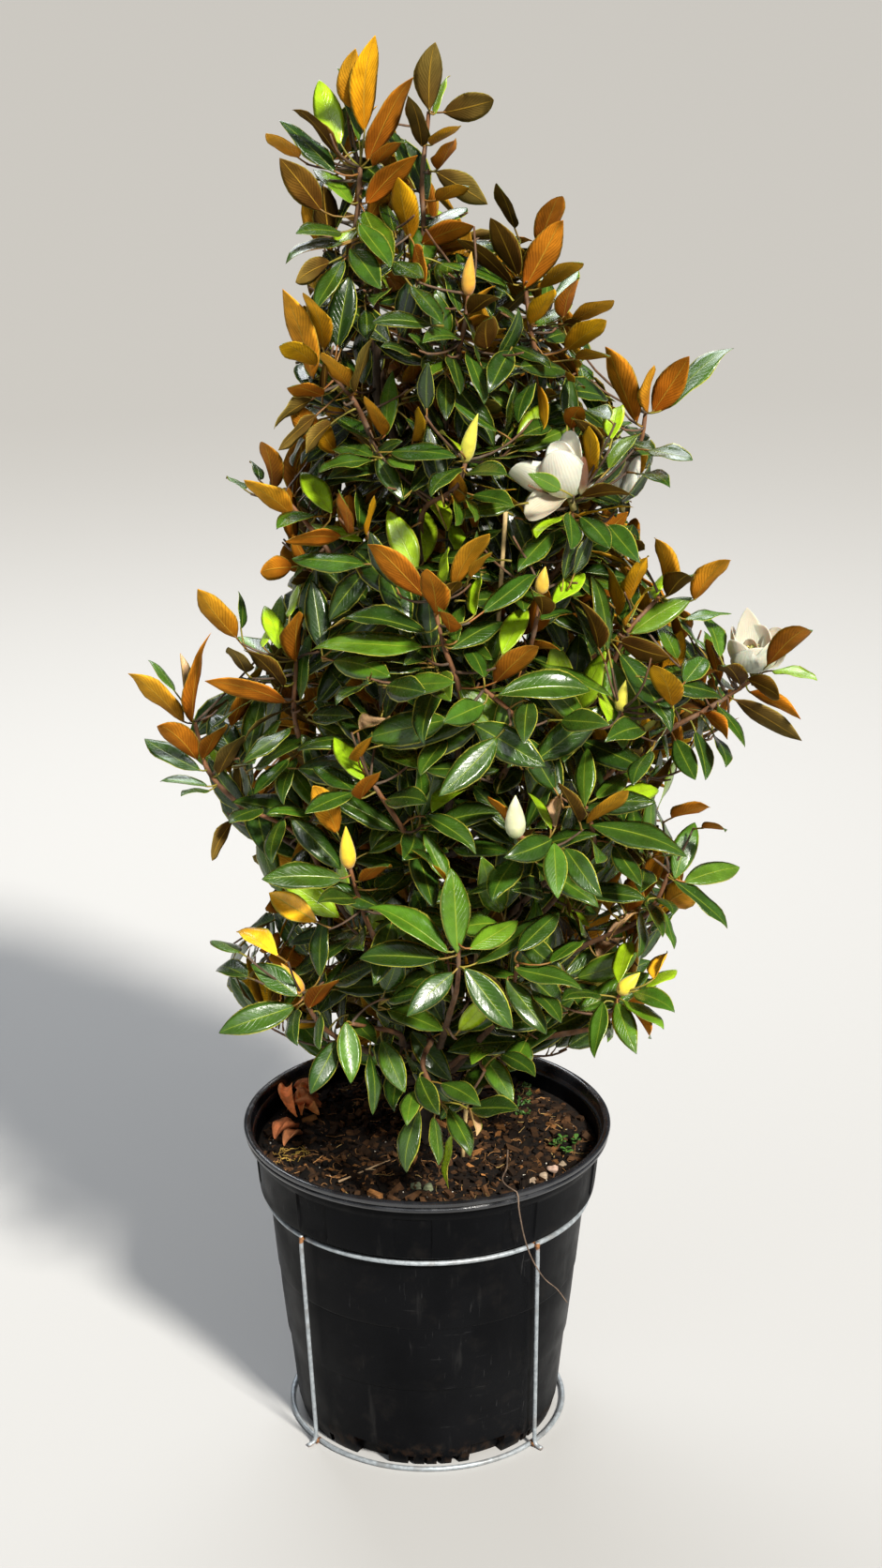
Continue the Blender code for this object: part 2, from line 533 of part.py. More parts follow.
class Branch:
    """A stem with leaves grown out of its faces, as one closed solid."""

    def __init__(self, name, points, radii, sides, mat, point_tip=True):
        self.name = name
        self.mat = mat
        self.bm, self.vs, bands = tube_bm(points, radii, sides, point_tip=point_tip)
        self.free = [f for i, _, f in bands if (points[i + 1] - points[i]).length < 0.012 and 0 < i < len(points) - 2]
        for f in self.bm.faces:
            f.normal_update()
        self.points = points
        self.stem = ([v.co.copy() for v in self.bm.verts],
                     None)
        self.bm.verts.index_update()
        self.stem = ([v.co.copy() for v in self.bm.verts],
                     [tuple(v.index for v in f.verts) for f in self.bm.faces])
        self.stem_tree = [("own", *box_of(self.stem[0]), BVHTree.FromPolygons([tuple(v) for v in self.stem[0]],
                                                                             self.stem[1]))]
        self.leaf_trees = []
        self.count = 0

    @staticmethod
    def blade(b, t, half, n, thick, grow):
        """Rings of a leaf: the stalk's end, the widest part, the tip."""
        d = (t - b).normalized()
        n = (n - d * n.dot(d)).normalized()
        s = d.cross(n)
        mid = b.lerp(t, 0.46) + n * (0.035 * (t - b).length)
        r = 0.0013 + grow
        ring0 = [b + s * r * 1.3, b - n * r, b - s * r * 1.3, b + n * r]
        h, q = half + grow, thick / 2 + grow
        ring1 = [mid + s * h, mid - n * q, mid - s * h, mid + n * q]
        return ring0, ring1, t + d * grow

    @staticmethod
    def solid(ring0, ring1, tip):
        verts = ring0 + ring1 + [tip]
        faces = [(3, 2, 1, 0)]
        for k in range(4):
            k2 = (k + 1) % 4
            faces.append((k, k2, 4 + k2))
            faces.append((k, 4 + k2, 4 + k))
            faces.append((4 + k, 4 + k2, 8))
        return verts, faces

    def try_leaf(self, b, t, half, n, short_stalk=0.004):
        """Grow one leaf if it keeps clear of everything else."""
        best, score = None, -9.0
        for f in self.free:
            c = f.calc_center_median()
            to = b - c
            dist = to.length
            if dist < short_stalk:
                continue
            facing = to.normalized().dot(f.normal)
            if facing < 0.30:
                continue
            val = facing * 0.02 - dist
            if val > score:
                best, score = f, val
        if best is None:
            return False
        c = best.calc_center_median()
        # the stalk as a thin bar, starting just off the stem
        start = c + (b - c).normalized() * 0.0012
        d = (b - start)
        if d.length < 0.002:
            return False
        ring0, ring1, tip = self.blade(b, t, half, n, LEAF_T, CLEAR)
        bv, bf = self.solid(ring0, ring1, tip)
        if hits(bv, bf, skip=(self.name,)) or hits(bv, bf, others=self.stem_tree) or hits(bv, bf, others=self.leaf_trees):
            return False
        u = d.normalized()
        side = u.cross(Vector((0.2, 0.3, 0.9))).normalized()
        oth = u.cross(side)
        r = 0.0021
        pr0 = [start + side * r, start + oth * r, start - side * r, start - oth * r]
        end = b - u * 0.001
        pr1 = [end + side * r, end + oth * r, end - side * r, end - oth * r]
        pv = pr0 + pr1
        pf = [(3, 2, 1, 0), (4, 5, 6, 7)] + [(k, (k + 1) % 4, 4 + (k + 1) % 4) for k in range(4)] + [
            (k, 4 + (k + 1) % 4, 4 + k) for k in range(4)]
        if hits(pv, pf, skip=(self.name,)) or hits(pv, pf, others=self.leaf_trees):
            return False
        if d.length > 0.012:
            inner = c + (b - c).normalized() * 0.008
            q0 = [inner + side * r, inner + oth * r, inner - side * r, inner - oth * r]
            if hits(q0 + pr1, pf, others=self.stem_tree):
                return False
        if min(p.z for p in bv) < 0.30:
            return False
        # build it
        ring0, ring1, tip = self.blade(b, t, half, n, LEAF_T, 0.0)
        old = [l.vert for l in best.loops]
        axis = (b - c).normalized()

        def order(ring):
            rc = sum(ring, Vector()) / 4
            sign = (ring[0] - rc).cross(ring[1] - rc).dot(axis if ring is ring0 else (t - b))
            return ring if sign > 0 else ring[::-1]

        def match(prev, ring):
            pc = sum(prev, Vector()) / 4
            rc = sum(ring, Vector()) / 4
            best_k = min(range(4), key=lambda k: sum(
                ((prev[i] - pc).normalized() - (ring[(i + k) % 4] - rc).normalized()).length for i in range(4)))
            return [ring[(i + best_k) % 4] for i in range(4)]

        prev = [v.co.copy() for v in old]
        r0 = match(prev, order(ring0))
        r1 = match(r0, order(ring1))
        points = prev + r0 + r1 + [tip]
        tris = []
        for k in range(4):
            k2 = (k + 1) % 4
            for low in (0, 4):
                a, b2, c2, d2 = low + k, low + k2, low + 4 + k2, low + 4 + k
                if (points[a] - points[c2]).length < (points[b2] - points[d2]).length:
                    tris += [(a, b2, c2), (a, c2, d2)]
                else:
                    tris += [(a, b2, d2), (b2, c2, d2)]
            tris.append((8 + k, 8 + k2, 12))
        if self.crosses(best, old, points, tris):
            return False
        self.free.remove(best)
        self.bm.faces.remove(best)
        verts = old + [self.bm.verts.new(p) for p in points[4:]]
        for tri in tris:
            self.bm.faces.new([verts[i] for i in tri])
        self.leaf_trees.append(("leaf", *box_of(bv), BVHTree.FromPolygons([tuple(v) for v in bv], bf)))
        self.leaf_trees.append(("stalk", *box_of(pv), BVHTree.FromPolygons([tuple(v) for v in pv], pf)))
        self.count += 1
        return True

    def crosses(self, best, old, points, tris):
        """True if the new faces would cut the body so far, or each other."""
        self.bm.verts.index_update()
        coords = [v.co.copy() for v in self.bm.verts]
        ids = [v.index for v in old] + [len(coords) + i for i in range(len(points) - 4)]
        coords += points[4:]
        fresh = [tuple(ids[i] for i in tri) for tri in tris]
        present = []
        for f in self.bm.faces:
            if f is best:
                continue
            v = [x.index for x in f.verts]
            present += [(v[0], v[i], v[i + 1]) for i in range(1, len(v) - 1)]
        flat = [tuple(p) for p in coords]
        new_tree = BVHTree.FromPolygons(flat, fresh)
        pairs = [(fresh[i], present[j]) for i, j in new_tree.overlap(BVHTree.FromPolygons(flat, present))]
        pairs += [(fresh[i], fresh[j]) for i, j in new_tree.overlap(new_tree) if i < j]
        for one, two in pairs:
            shared = set(one) & set(two)
            if not shared:
                return True
            if len(shared) == 1:
                for tri, other in ((one, two), (two, one)):
                    p, q = [coords[i] for i in tri if i not in shared]
                    ray = q - p
                    hit = intersect_ray_tri(*[coords[i] for i in other], ray, p, True)
                    if hit is not None and 0.0 <= (hit - p).dot(ray) <= ray.length_squared:
                        return True
            elif len(shared) == 2:
                a, b = [coords[i] for i in shared]
                wings = []
                for tri in (one, two):
                    w = [coords[i] for i in tri if i not in shared][0] - a
                    w -= (b - a) * (w.dot(b - a) / (b - a).length_squared)
                    wings.append(w.normalized())
                if wings[0].dot(wings[1]) > 0.997:
                    return True
        return False

    def leaf_with_retries(self, b, t, half, n, tries):
        for k in range(tries):
            if k == 0:
                b2, t2, n2, h2 = b, t, n, half
            else:
                push = 0.010 * min(k, 7)
                away = Vector((rng.uniform(-1, 1), rng.uniform(-1, 1), rng.uniform(-0.6, 0.6))) * push
                depth = (b - VIEW_POS).normalized() * (rng.uniform(-1, 1) * push * 1.6)
                t2 = t + away * 0.7 + depth
                b2 = b + (away * 0.15 + depth * 0.35)
                n2 = Matrix.Rotation(rng.uniform(-0.5, 0.5), 3, (t - b).normalized()) @ n
                h2 = half * (1.0 if k < 4 else 0.85)
            if self.try_leaf(b2, t2, h2, n2):
                return True
        return False

    def close(self):
        for tree in self.leaf_trees:
            OBSTACLES.append((self.name, tree[1], tree[2], tree[3]))
        OBSTACLES[:] = [o for o in OBSTACLES if not (o[0] == self.name and o[3] is self.stem_tree[0][3])]
        return finish(self.name, self.bm, self.mat, 50.0)


def stem_stations(length, leafy):
    """Positions along a shoot, in pairs close together where leaves can grow."""
    leafy = min(leafy, length * 0.8)
    near = [0.0, 0.011 / length, 0.36 * (length - leafy) / length, 0.68 * (length - leafy) / length]
    out = list(near)
    steps = max(3, int(leafy / 0.030))
    for i in range(steps):
        s = (length - leafy) + leafy * (i + 0.2) / steps
        out += [s / length, min((s + 0.006) / length, 0.985)]
    return out


branches = {}


def grow_stem(name, line, attach_z, bud=None, r_end=0.0028, leafy=0.12, mat="leaf", blunt=False):
    """Make one shoot's stem from the main stem outwards; it steps round what it would hit."""
    for attempt in range(60):
        z = attach_z + (0 if attempt == 0 else rng.uniform(-0.05, 0.05))
        centre, radius = trunk_at(z)
        first = line[-1]
        out = Vector((first.x - centre.x, first.y - centre.y, 0.0)).normalized()
        ang = 0 if attempt == 0 else rng.uniform(-0.9, 0.9)
        out = Matrix.Rotation(ang, 3, "Z") @ out
        along = (trunk_at(z + 0.01)[0] - trunk_at(z - 0.01)[0]).normalized()
        out = (out - along * out.dot(along)).normalized()
        root = centre + out * (radius + 0.0018)
        wob = Vector((0, 0, 0)) if attempt == 0 else Vector((rng.uniform(-1, 1), rng.uniform(-1, 1), rng.uniform(-1, 1))) * 0.02
        inner = [root, root + out * 0.014]
        rest = [p.copy() for p in line[::-1]]
        rest[0] = rest[0] + wob
        ctrl = inner + rest
        total = sum((b - a).length for a, b in zip(ctrl, ctrl[1:]))
        stations = stem_stations(total, leafy)
        pts = smooth_path(ctrl, stations)
        radii = [0.0062 * (1 - s) + r_end * s for s in stations]
        if bud:
            tipp = px(bud[0], bud[1], line[0].y)
            basep = line[0]
            w = bud[4] / px_scale(basep) / 2
            pts = pts + [basep.lerp(tipp, f) for f in (0.06, 0.30, 0.62, 1.0)]
            radii = radii + [r_end * 1.2, w * 0.95, w * 0.8, 0.0]
        else:
            step = (pts[-1] - pts[-2]).normalized()
            pts = pts + [pts[-1] + step * (0.002 if blunt else 0.016)]
            radii = radii + [r_end if blunt else 0.0]
        # flat start against the main stem
        br = Branch(name, pts, radii, 5, mat, point_tip=not blunt)
        fat = Branch(name, pts, [r + CLEAR for r in radii[:-1]] + [CLEAR if not blunt else r_end + CLEAR], 5, mat,
                     point_tip=not blunt)
        fv = fat.stem[0]
        start = fv[:5]
        ff = [f for f in fat.stem[1] if not all(i < 5 for i in f)]
        clear = not hits(fv, ff)
        fat.bm.free()
        if clear:
            OBSTACLES.append((name, *br.stem_tree[0][1:]))
            branches[name] = br
            return br
        br.bm.free()
    return None


# the main stem is the first branch; its own leaves are the left-hand leader's
trunk_pts.append(trunk_pts[-1] + Vector((0.0, 0.0, 0.018)))
trunk_radii.append(0.0)
trunk = Branch("main_stem", trunk_pts, trunk_radii, 7, "bark")
OBSTACLES.append(("main_stem", *trunk.stem_tree[0][1:]))

# ------------------------------------------------------------------ flowers


def flower(name, base, axis, length, width, petals, open_top):
    """A cup of petals as one simple solid with a lobed mouth."""
    axis = axis.normalized()
    side = axis.cross(Vector((0.1, 0.9, 0.3))).normalized()
    other = axis.cross(side)
    seg = petals * 2
    rows = []
    bm = bmesh.new()
    prof = [(0.0, 0.10, 0), (0.14, 0.62, 0), (0.42, 1.0, 0), (0.74, 0.96, 1), (1.0, 0.62 * open_top + 0.25, 2),
            (0.80, 0.36 * open_top + 0.1, 3)]
    for f, w, kind in prof:
        ring = []
        for k in range(seg):
            a = 2 * math.pi * k / seg
            lobe = 1.0 if k % 2 == 0 else (1.0, 0.97, 0.72, 0.9)[kind]
            z = f * length * (1.0 if k % 2 == 0 or kind != 2 else 0.80)
            r = width / 2 * w * lobe
            ring.append(bm.verts.new(base + axis * z + (side * math.cos(a) + other * math.sin(a)) * r))
        rows.append(ring)
    bottom = bm.verts.new(base)
    top = bm.verts.new(base + axis * length * 0.60)
    for k in range(seg):
        k2 = (k + 1) % seg
        bm.faces.new((rows[0][k2], rows[0][k], bottom))
        for a, b in zip(rows, rows[1:]):
            bm.faces.new((a[k], a[k2], b[k2], b[k]))
        bm.faces.new((rows[-1][k], rows[-1][k2], top))
    return finish(name, bm, "petal", 40.0)


f1_base = px(607, 533, -0.172)
flower("flower_1", f1_base, px(584, 486, -0.212) - f1_base, 0.088, 0.084, 6, 1.0)
f2_base = px(807, 717, -0.080)
flower("flower_2", f2_base, px(803, 664, -0.092) - f2_base, 0.080, 0.076, 6, 0.75)
f3_base = px(662, 532, -0.070)
flower("flower_3", f3_base, px(666, 480, -0.080) - f3_base, 0.080, 0.072, 6, 0.8)

# ------------------------------------------------------------------ grow stems
for name, (path, z, bud) in SHOOTS.items():
    line = [px(c, r, y) for c, r, y in path]
    blunt = name in ("FL1", "FL2")
    got = grow_stem("shoot_" + name, line, z, bud, blunt=blunt, leafy=0.13 if len(LEAVES[name]) > 150 else 0.09)
    if got is None:
        print("stem left out:", name)
for name, (az, z, reach, rise) in BACK_SHOOTS.items():
    a = math.radians(az)
    c, _ = trunk_at(z)
    out = Vector((math.sin(a), -math.cos(a), 0))
    line = [c + out * reach + Vector((0, 0, rise)), c + out * reach * 0.72 + Vector((0, 0, rise * 0.55)),
            c + out * reach * 0.35 + Vector((0, 0, rise * 0.24))]
    if grow_stem("shoot_" + name, line, z, None, leafy=0.13) is None:
        print("stem left out:", name)

# ------------------------------------------------------------------ grow leaves


def axis_depth(br, b_col, b_row):
    """Depth of the stem's nearest point, as the picture shows it."""
    best, y = 1e9, 0.0
    for p in br.points[len(br.points) // 3:]:
        k = px_scale(p)
        rel = p - VIEW_POS
        col = VIEW_C[0] + rel.x * k
        row = VIEW_C[1] - rel.dot(UPV) * k
        d = math.hypot(col - b_col, row - b_row)
        if d < best:
            best, y = d, p.y
    return y


def dress(br, text, tries):
    grown = 0
    for code, tc, tr, bc, brow, w in LEAF_RE.findall(text):
        tip, base, w = (int(tc), int(tr)), (int(bc), int(brow)), int(w)
        y = axis_depth(br, *base)
        b, t, half, n = leaf_from_picture(code, tip, base, w, y - 0.010)
        if br.leaf_with_retries(b, t, half, n, tries):
            grown += 1
    return grown


wanted = got = 0
order = ["main_stem"] + ["shoot_" + k for k in SHOOTS]
for name in order:
    key = name.replace("shoot_", "")
    text = LEAVES["A" if name == "main_stem" else key]
    br = trunk if name == "main_stem" else branches.get(name)
    if br is None:
        continue
    wanted += len(LEAF_RE.findall(text))
    got += dress(br, text, 24)
    br.close()

# leaves of the shoots at the back, in whorls round each stem
for name, (az, z, reach, rise) in BACK_SHOOTS.items():
    br = branches.get("shoot_" + name)
    if br is None:
        continue
    pts = br.points
    start = int(len(pts) * 0.35)
    made = 0
    for k in range(26):
        if made >= 11:
            break
        i = start + (k * 5) % (len(pts) - start - 1)
        p = pts[i]
        t = (pts[i + 1] - pts[i]).normalized()
        side = t.cross(Vector((0, 0, 1))).normalized()
        up = side.cross(t)
        a = k * 2.39996
        out = side * math.cos(a) + up * math.sin(a)
        lean = rng.uniform(0.35, 1.0)
        d = (out * lean + t * (1.25 - lean) + Vector((0, 0, 0.15))).normalized()
        b = p + out * 0.012 + t * 0.006
        length = rng.uniform(0.105, 0.135)
        n = (Vector((0, 0, 1)) - d * d.z).normalized()
        if br.leaf_with_retries(b, b + d * length, length * 0.2, n, 8):
            made += 1
    got += made
    wanted += 11
    br.close()
print("leaves asked", wanted, "grown", got)

# ------------------------------------------------------------------ on the soil


def soil_top(x, y):
    r = math.hypot(x, y)
    if r < 0.05:
        return SOIL_Z + SOIL_MOUND
    if r < 0.15:
        return SOIL_Z + SOIL_MOUND + (0.004 - SOIL_MOUND) * (r - 0.05) / 0.10
    return SOIL_Z + 0.004 * (1 - (r - 0.15) / 0.091)


def soil_px(col, row):
    """The place on the potting mix that is seen at this column and row."""
    y = -0.2
    for _ in range(30):
        p = px(col, row, y)
        y += (p.z - soil_top(p.x, p.y)) * 2.0
    p = px(col, row, y)
    return Vector((p.x, p.y, soil_top(p.x, p.y)))


def stone_row(name, spots, radii, mat):
    """Pebbles lying side by side on the mix, joined where they touch."""
    pts, rad = [], []
    for i, (p, r) in enumerate(zip(spots, radii)):
        q = p + Vector((0, 0, r + 0.0012))
        nxt = spots[i + 1] - p if i + 1 < len(spots) else p - spots[i - 1]
        u = Vector((nxt.x, nxt.y, 0)).normalized() * r
        pts += [q - u * 0.75, q, q + u * 0.75]
        rad += [r * 0.62, r, r * 0.62]
    bm, _, _ = tube_bm(pts, rad, 6)
    return finish(name, bm, mat, 50.0)


spots = [soil_px(567, 1262), soil_px(580, 1257), soil_px(594, 1249)]
stone_row("tan_stones", spots, [0.0055, 0.0060, 0.0070], "stone")
stone_row("mossy_stones", [soil_px(444, 1268), soil_px(457, 1270)], [0.0062, 0.0066], "stone")


def dead_leaf(name, tip, base, half, lift):
    """A dry curled leaf lying on the mix."""
    bm = bmesh.new()
    d = tip - base
    s = d.cross(Vector((0, 0, 1))).normalized()
    rows = []
    for f, w in ((0.0, 0.12), (0.3, 0.9), (0.6, 1.0), (0.85, 0.6), (1.0, 0.1)):
        c = base + d * f + Vector((0, 0, lift * (0.3 + math.sin(math.pi * f))))
        rows.append([c + s * half * w + Vector((0, 0, lift * 0.9 * w)), c + Vector((0, 0, 0.0012)),
                     c - s * half * w + Vector((0, 0, lift * 0.9 * w)), c - Vector((0, 0, 0.0010))])
    vs = [[bm.verts.new(p) for p in row] for row in rows]
    for a, b in zip(vs, vs[1:]):
        for k in range(4):
            bm.faces.new((a[k], a[(k + 1) % 4], b[(k + 1) % 4], b[k]))
    bm.faces.new(vs[0][::-1])
    bm.faces.new(vs[-1])
    return finish(name, bm, "dead", 60.0)


dead_leaf("dead_leaf_1", soil_px(346, 1186), soil_px(306, 1190), 0.012, 0.0060)
dead_leaf("dead_leaf_2", soil_px(318, 1206), soil_px(293, 1220), 0.010, 0.0050)

twig_px = [(361, 1263), (378, 1256), (396, 1248), (416, 1240)]
twig_pts = [soil_px(c, r) + Vector((0, 0, 0.0042)) for c, r in twig_px]
twig_bm, _, _ = tube_bm(smooth_path(twig_pts, 6), [0.0016, 0.0018, 0.0019, 0.0018, 0.0015, 0.0010], 5)
finish("dry_twig", twig_bm, "dry", 60.0)

# a small weed between the stones
w0 = soil_px(603, 1232) + Vector((0, 0, 0.0006))
weed = Branch("weed_sprout", [w0, w0 + Vector((0, 0, 0.004)), w0 + Vector((0.001, 0, 0.009)), w0 + Vector((0.001, 0, 0.013)),
                              w0 + Vector((0.001, 0, 0.017))], [0.0014, 0.0014, 0.0013, 0.0012, 0.0], 5, "moss")
for k in range(5):
    a = k * 2.4
    d = Vector((math.cos(a), math.sin(a), 0.55)).normalized()
    b = w0 + Vector((0, 0, 0.006 + 0.0012 * k)) + d * 0.0065
    weed.try_leaf(b, b + d * 0.012, 0.0035, Vector((0, 0, 1)), 0.002)
weed.close()

# dry stem lying out of the pot, over the rim and down the front
over = [soil_px(542, 1225) + Vector((0, 0, 0.004)), soil_px(541, 1250) + Vector((0, 0, 0.012)),
        px_round(548, 1271, 0.2540), px_round(550.5, 1280, 0.2585), px_round(553.5, 1289, 0.2645), px_round(561, 1325, 0.2620),
        px_round(570.5, 1348, 0.2570), px_round(584, 1366.5, 0.2560), px_round(592.6, 1373, 0.2580),
        px_round(605, 1389, 0.2600)]
for p in over:
    r = math.hypot(p.x, p.y)
    if 0.245 < r < 0.2625 and p.z > 0.440:
        p.z = max(p.z, RIM_Z + 0.0034)
dry_bm, _, _ = tube_bm(smooth_path(over, 22), [0.0015] * 22, 5)
finish("dry_stem", dry_bm, "dry", 60.0)
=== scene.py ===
# Potted southern magnolia: the finished look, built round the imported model.
# Leaves, flowers, buds and stems are grown in code; every material is procedural.

import math
import random
import re

import bpy
import numpy as np
from mathutils import Matrix, Vector


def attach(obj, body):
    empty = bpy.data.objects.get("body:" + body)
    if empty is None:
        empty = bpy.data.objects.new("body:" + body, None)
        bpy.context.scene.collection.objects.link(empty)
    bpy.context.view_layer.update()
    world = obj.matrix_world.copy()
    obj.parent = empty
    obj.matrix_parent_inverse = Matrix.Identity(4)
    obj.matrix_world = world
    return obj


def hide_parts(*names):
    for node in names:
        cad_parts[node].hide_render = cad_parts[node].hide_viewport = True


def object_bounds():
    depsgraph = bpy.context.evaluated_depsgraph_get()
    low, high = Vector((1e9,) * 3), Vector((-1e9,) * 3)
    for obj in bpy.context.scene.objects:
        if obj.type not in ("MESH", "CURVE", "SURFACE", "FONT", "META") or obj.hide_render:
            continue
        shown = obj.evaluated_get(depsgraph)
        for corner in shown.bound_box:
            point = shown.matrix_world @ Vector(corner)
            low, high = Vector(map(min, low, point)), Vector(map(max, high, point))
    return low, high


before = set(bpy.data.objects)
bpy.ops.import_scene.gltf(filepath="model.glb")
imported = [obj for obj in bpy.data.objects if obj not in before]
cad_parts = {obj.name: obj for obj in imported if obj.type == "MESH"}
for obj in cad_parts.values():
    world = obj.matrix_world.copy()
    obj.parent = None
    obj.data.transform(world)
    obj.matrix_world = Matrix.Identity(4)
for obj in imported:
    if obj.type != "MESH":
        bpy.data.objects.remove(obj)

CAD_BOX = [[float(x) for x in v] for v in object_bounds()]

rng = np.random.default_rng(4127)
rnd = random.Random(991)

# ------------------------------------------------------------------ viewpoint
VIEW_F = 2800.0
VIEW_C = (470.5, 836.0)
VIEW_POS = Vector((0.0196, -3.3697, 2.1233))
VIEW_PITCH = math.radians(19.148)
FWD = Vector((0.0, math.cos(VIEW_PITCH), -math.sin(VIEW_PITCH)))
UPV = Vector((0.0, math.sin(VIEW_PITCH), math.cos(VIEW_PITCH)))

scene = bpy.context.scene
cam_data = bpy.data.cameras.new("photo_view")
cam_data.sensor_width = 36.0
cam_data.lens = VIEW_F / 1672.0 * 36.0
cam_data.clip_end = 200.0
cam = bpy.data.objects.new("photo_view", cam_data)
cam.location = VIEW_POS
cam.rotation_euler = (math.pi / 2 - VIEW_PITCH, 0.0, 0.0)
scene.collection.objects.link(cam)
scene.camera = cam

# ------------------------------------------------------------------ pot sizes (as in the frame)
RIM_R, RIM_Z = 0.2600, 0.4535
BASE_R = 0.1830
COLLAR_Z, COLLAR_R = 0.3580, 0.2390
BAND_2_Z, BAND_1_Z = 0.2370, 0.1330
SOIL_Z, SOIL_MOUND = 0.4135, 0.0065
HOOP_WIRE, LEG_WIRE = 0.0035, 0.0030
TOP_HOOP_R, TOP_HOOP_Z, BOTTOM_HOOP_R = 0.2310, 0.3474, 0.1990
LEG_AZ = ((-46.6, -50.6), (39.7, 47.9), (133.4, 129.4), (219.7, 227.9))
TRUNK_R0 = 0.0125


def px(col, row, y):
    """The place at depth y that is seen at this column and row of the photograph."""
    d = FWD + UPV * ((VIEW_C[1] - row) / VIEW_F) + Vector(((col - VIEW_C[0]) / VIEW_F, 0, 0))
    return VIEW_POS + d * ((y - VIEW_POS.y) / d.y)


def px_scale(p):
    return VIEW_F / (p - VIEW_POS).dot(FWD)


def to_px(p):
    rel = p - VIEW_POS
    k = VIEW_F / rel.dot(FWD)
    return VIEW_C[0] + rel.x * k, VIEW_C[1] - rel.dot(UPV) * k


def px_round(col, row, radius):
    lo, hi = -radius, 0.0
    for _ in range(40):
        mid = 0.5 * (lo + hi)
        p = px(col, row, mid)
        if math.hypot(p.x, p.y) > radius:
            lo = mid
        else:
            hi = mid
    return px(col, row, 0.5 * (lo + hi))


# ------------------------------------------------------------------ material helpers
class Net:
    """A short way to write a material's nodes."""

    def __init__(self, name):
        self.mat = bpy.data.materials.new(name)
        self.mat.use_nodes = True
        self.t = self.mat.node_tree
        self.b = self.t.nodes["Principled BSDF"]

    def node(self, kind, **inputs):
        n = self.t.nodes.new(kind)
        for k, v in inputs.items():
            if k.startswith("p_"):
                setattr(n, k[2:], v)
            else:
                self.put(n, k.replace("_", " "), v)
        return n

    def put(self, n, key, v):
        s = n.inputs[int(key)] if key.isdigit() else n.inputs[key]
        if isinstance(v, bpy.types.NodeSocket):
            self.t.links.new(v, s)
        else:
            s.default_value = v

    def math(self, op, a, b=0.0, clamp=False):
        n = self.t.nodes.new("ShaderNodeMath")
        n.operation = op
        n.use_clamp = clamp
        self.put(n, "0", a)
        self.put(n, "1", b)
        return n.outputs[0]

    def ramp(self, v, lo, hi, a=0.0, b=1.0, smooth=True):
        n = self.t.nodes.new("ShaderNodeMapRange")
        n.interpolation_type = "SMOOTHSTEP" if smooth else "LINEAR"
        for k, x in (("Value", v), ("From Min", lo), ("From Max", hi), ("To Min", a), ("To Max", b)):
            self.put(n, k, x)
        return n.outputs[0]

    def mix(self, f, a, b, blend="MIX"):
        n = self.t.nodes.new("ShaderNodeMix")
        n.data_type = "RGBA"
        n.blend_type = blend
        n.clamp_result = False
        self.put(n, "0", f)
        for i, v in ((6, a), (7, b)):
            if isinstance(v, tuple) and len(v) == 3:
                v = (*v, 1.0)
            self.put(n, str(i), v)
        return n.outputs[2]

    def noise(self, vec, scale, detail=3.0, rough=0.55, dist=0.0):
        n = self.t.nodes.new("ShaderNodeTexNoise")
        self.put(n, "Vector", vec)
        self.put(n, "Scale", scale)
        self.put(n, "Detail", detail)
        self.put(n, "Roughness", rough)
        self.put(n, "Distortion", dist)
        return n.outputs["Fac"]

    def attr(self, name):
        n = self.t.nodes.new("ShaderNodeAttribute")
        n.attribute_name = name
        return n.outputs["Color"]

    def coords(self):
        return self.t.nodes.new("ShaderNodeTexCoord").outputs["Object"]

    def scaled(self, vec, s):
        n = self.t.nodes.new("ShaderNodeMapping")
        self.put(n, "Vector", vec)
        n.inputs["Scale"].default_value = s
        return n.outputs["Vector"]

    def uv(self):
        n = self.t.nodes.new("ShaderNodeUVMap")
        n.uv_map = "UVMap"
        s = self.t.nodes.new("ShaderNodeSeparateXYZ")
        self.put(s, "0", n.outputs[0])
        return s.outputs[0], s.outputs[1]

    def bump(self, height, strength, distance):
        n = self.t.nodes.new("ShaderNodeBump")
        n.inputs["Strength"].default_value = strength
        n.inputs["Distance"].default_value = distance
        self.put(n, "Height", height)
        self.put(self.b, "Normal", n.outputs[0])

    def done(self, **kw):
        for k, v in kw.items():
            key = k.replace("_", " ")
            if isinstance(v, tuple) and len(v) == 3 and key != "Subsurface Radius":
                v = (*v, 1.0)
            self.put(self.b, key, v)
        return self.mat


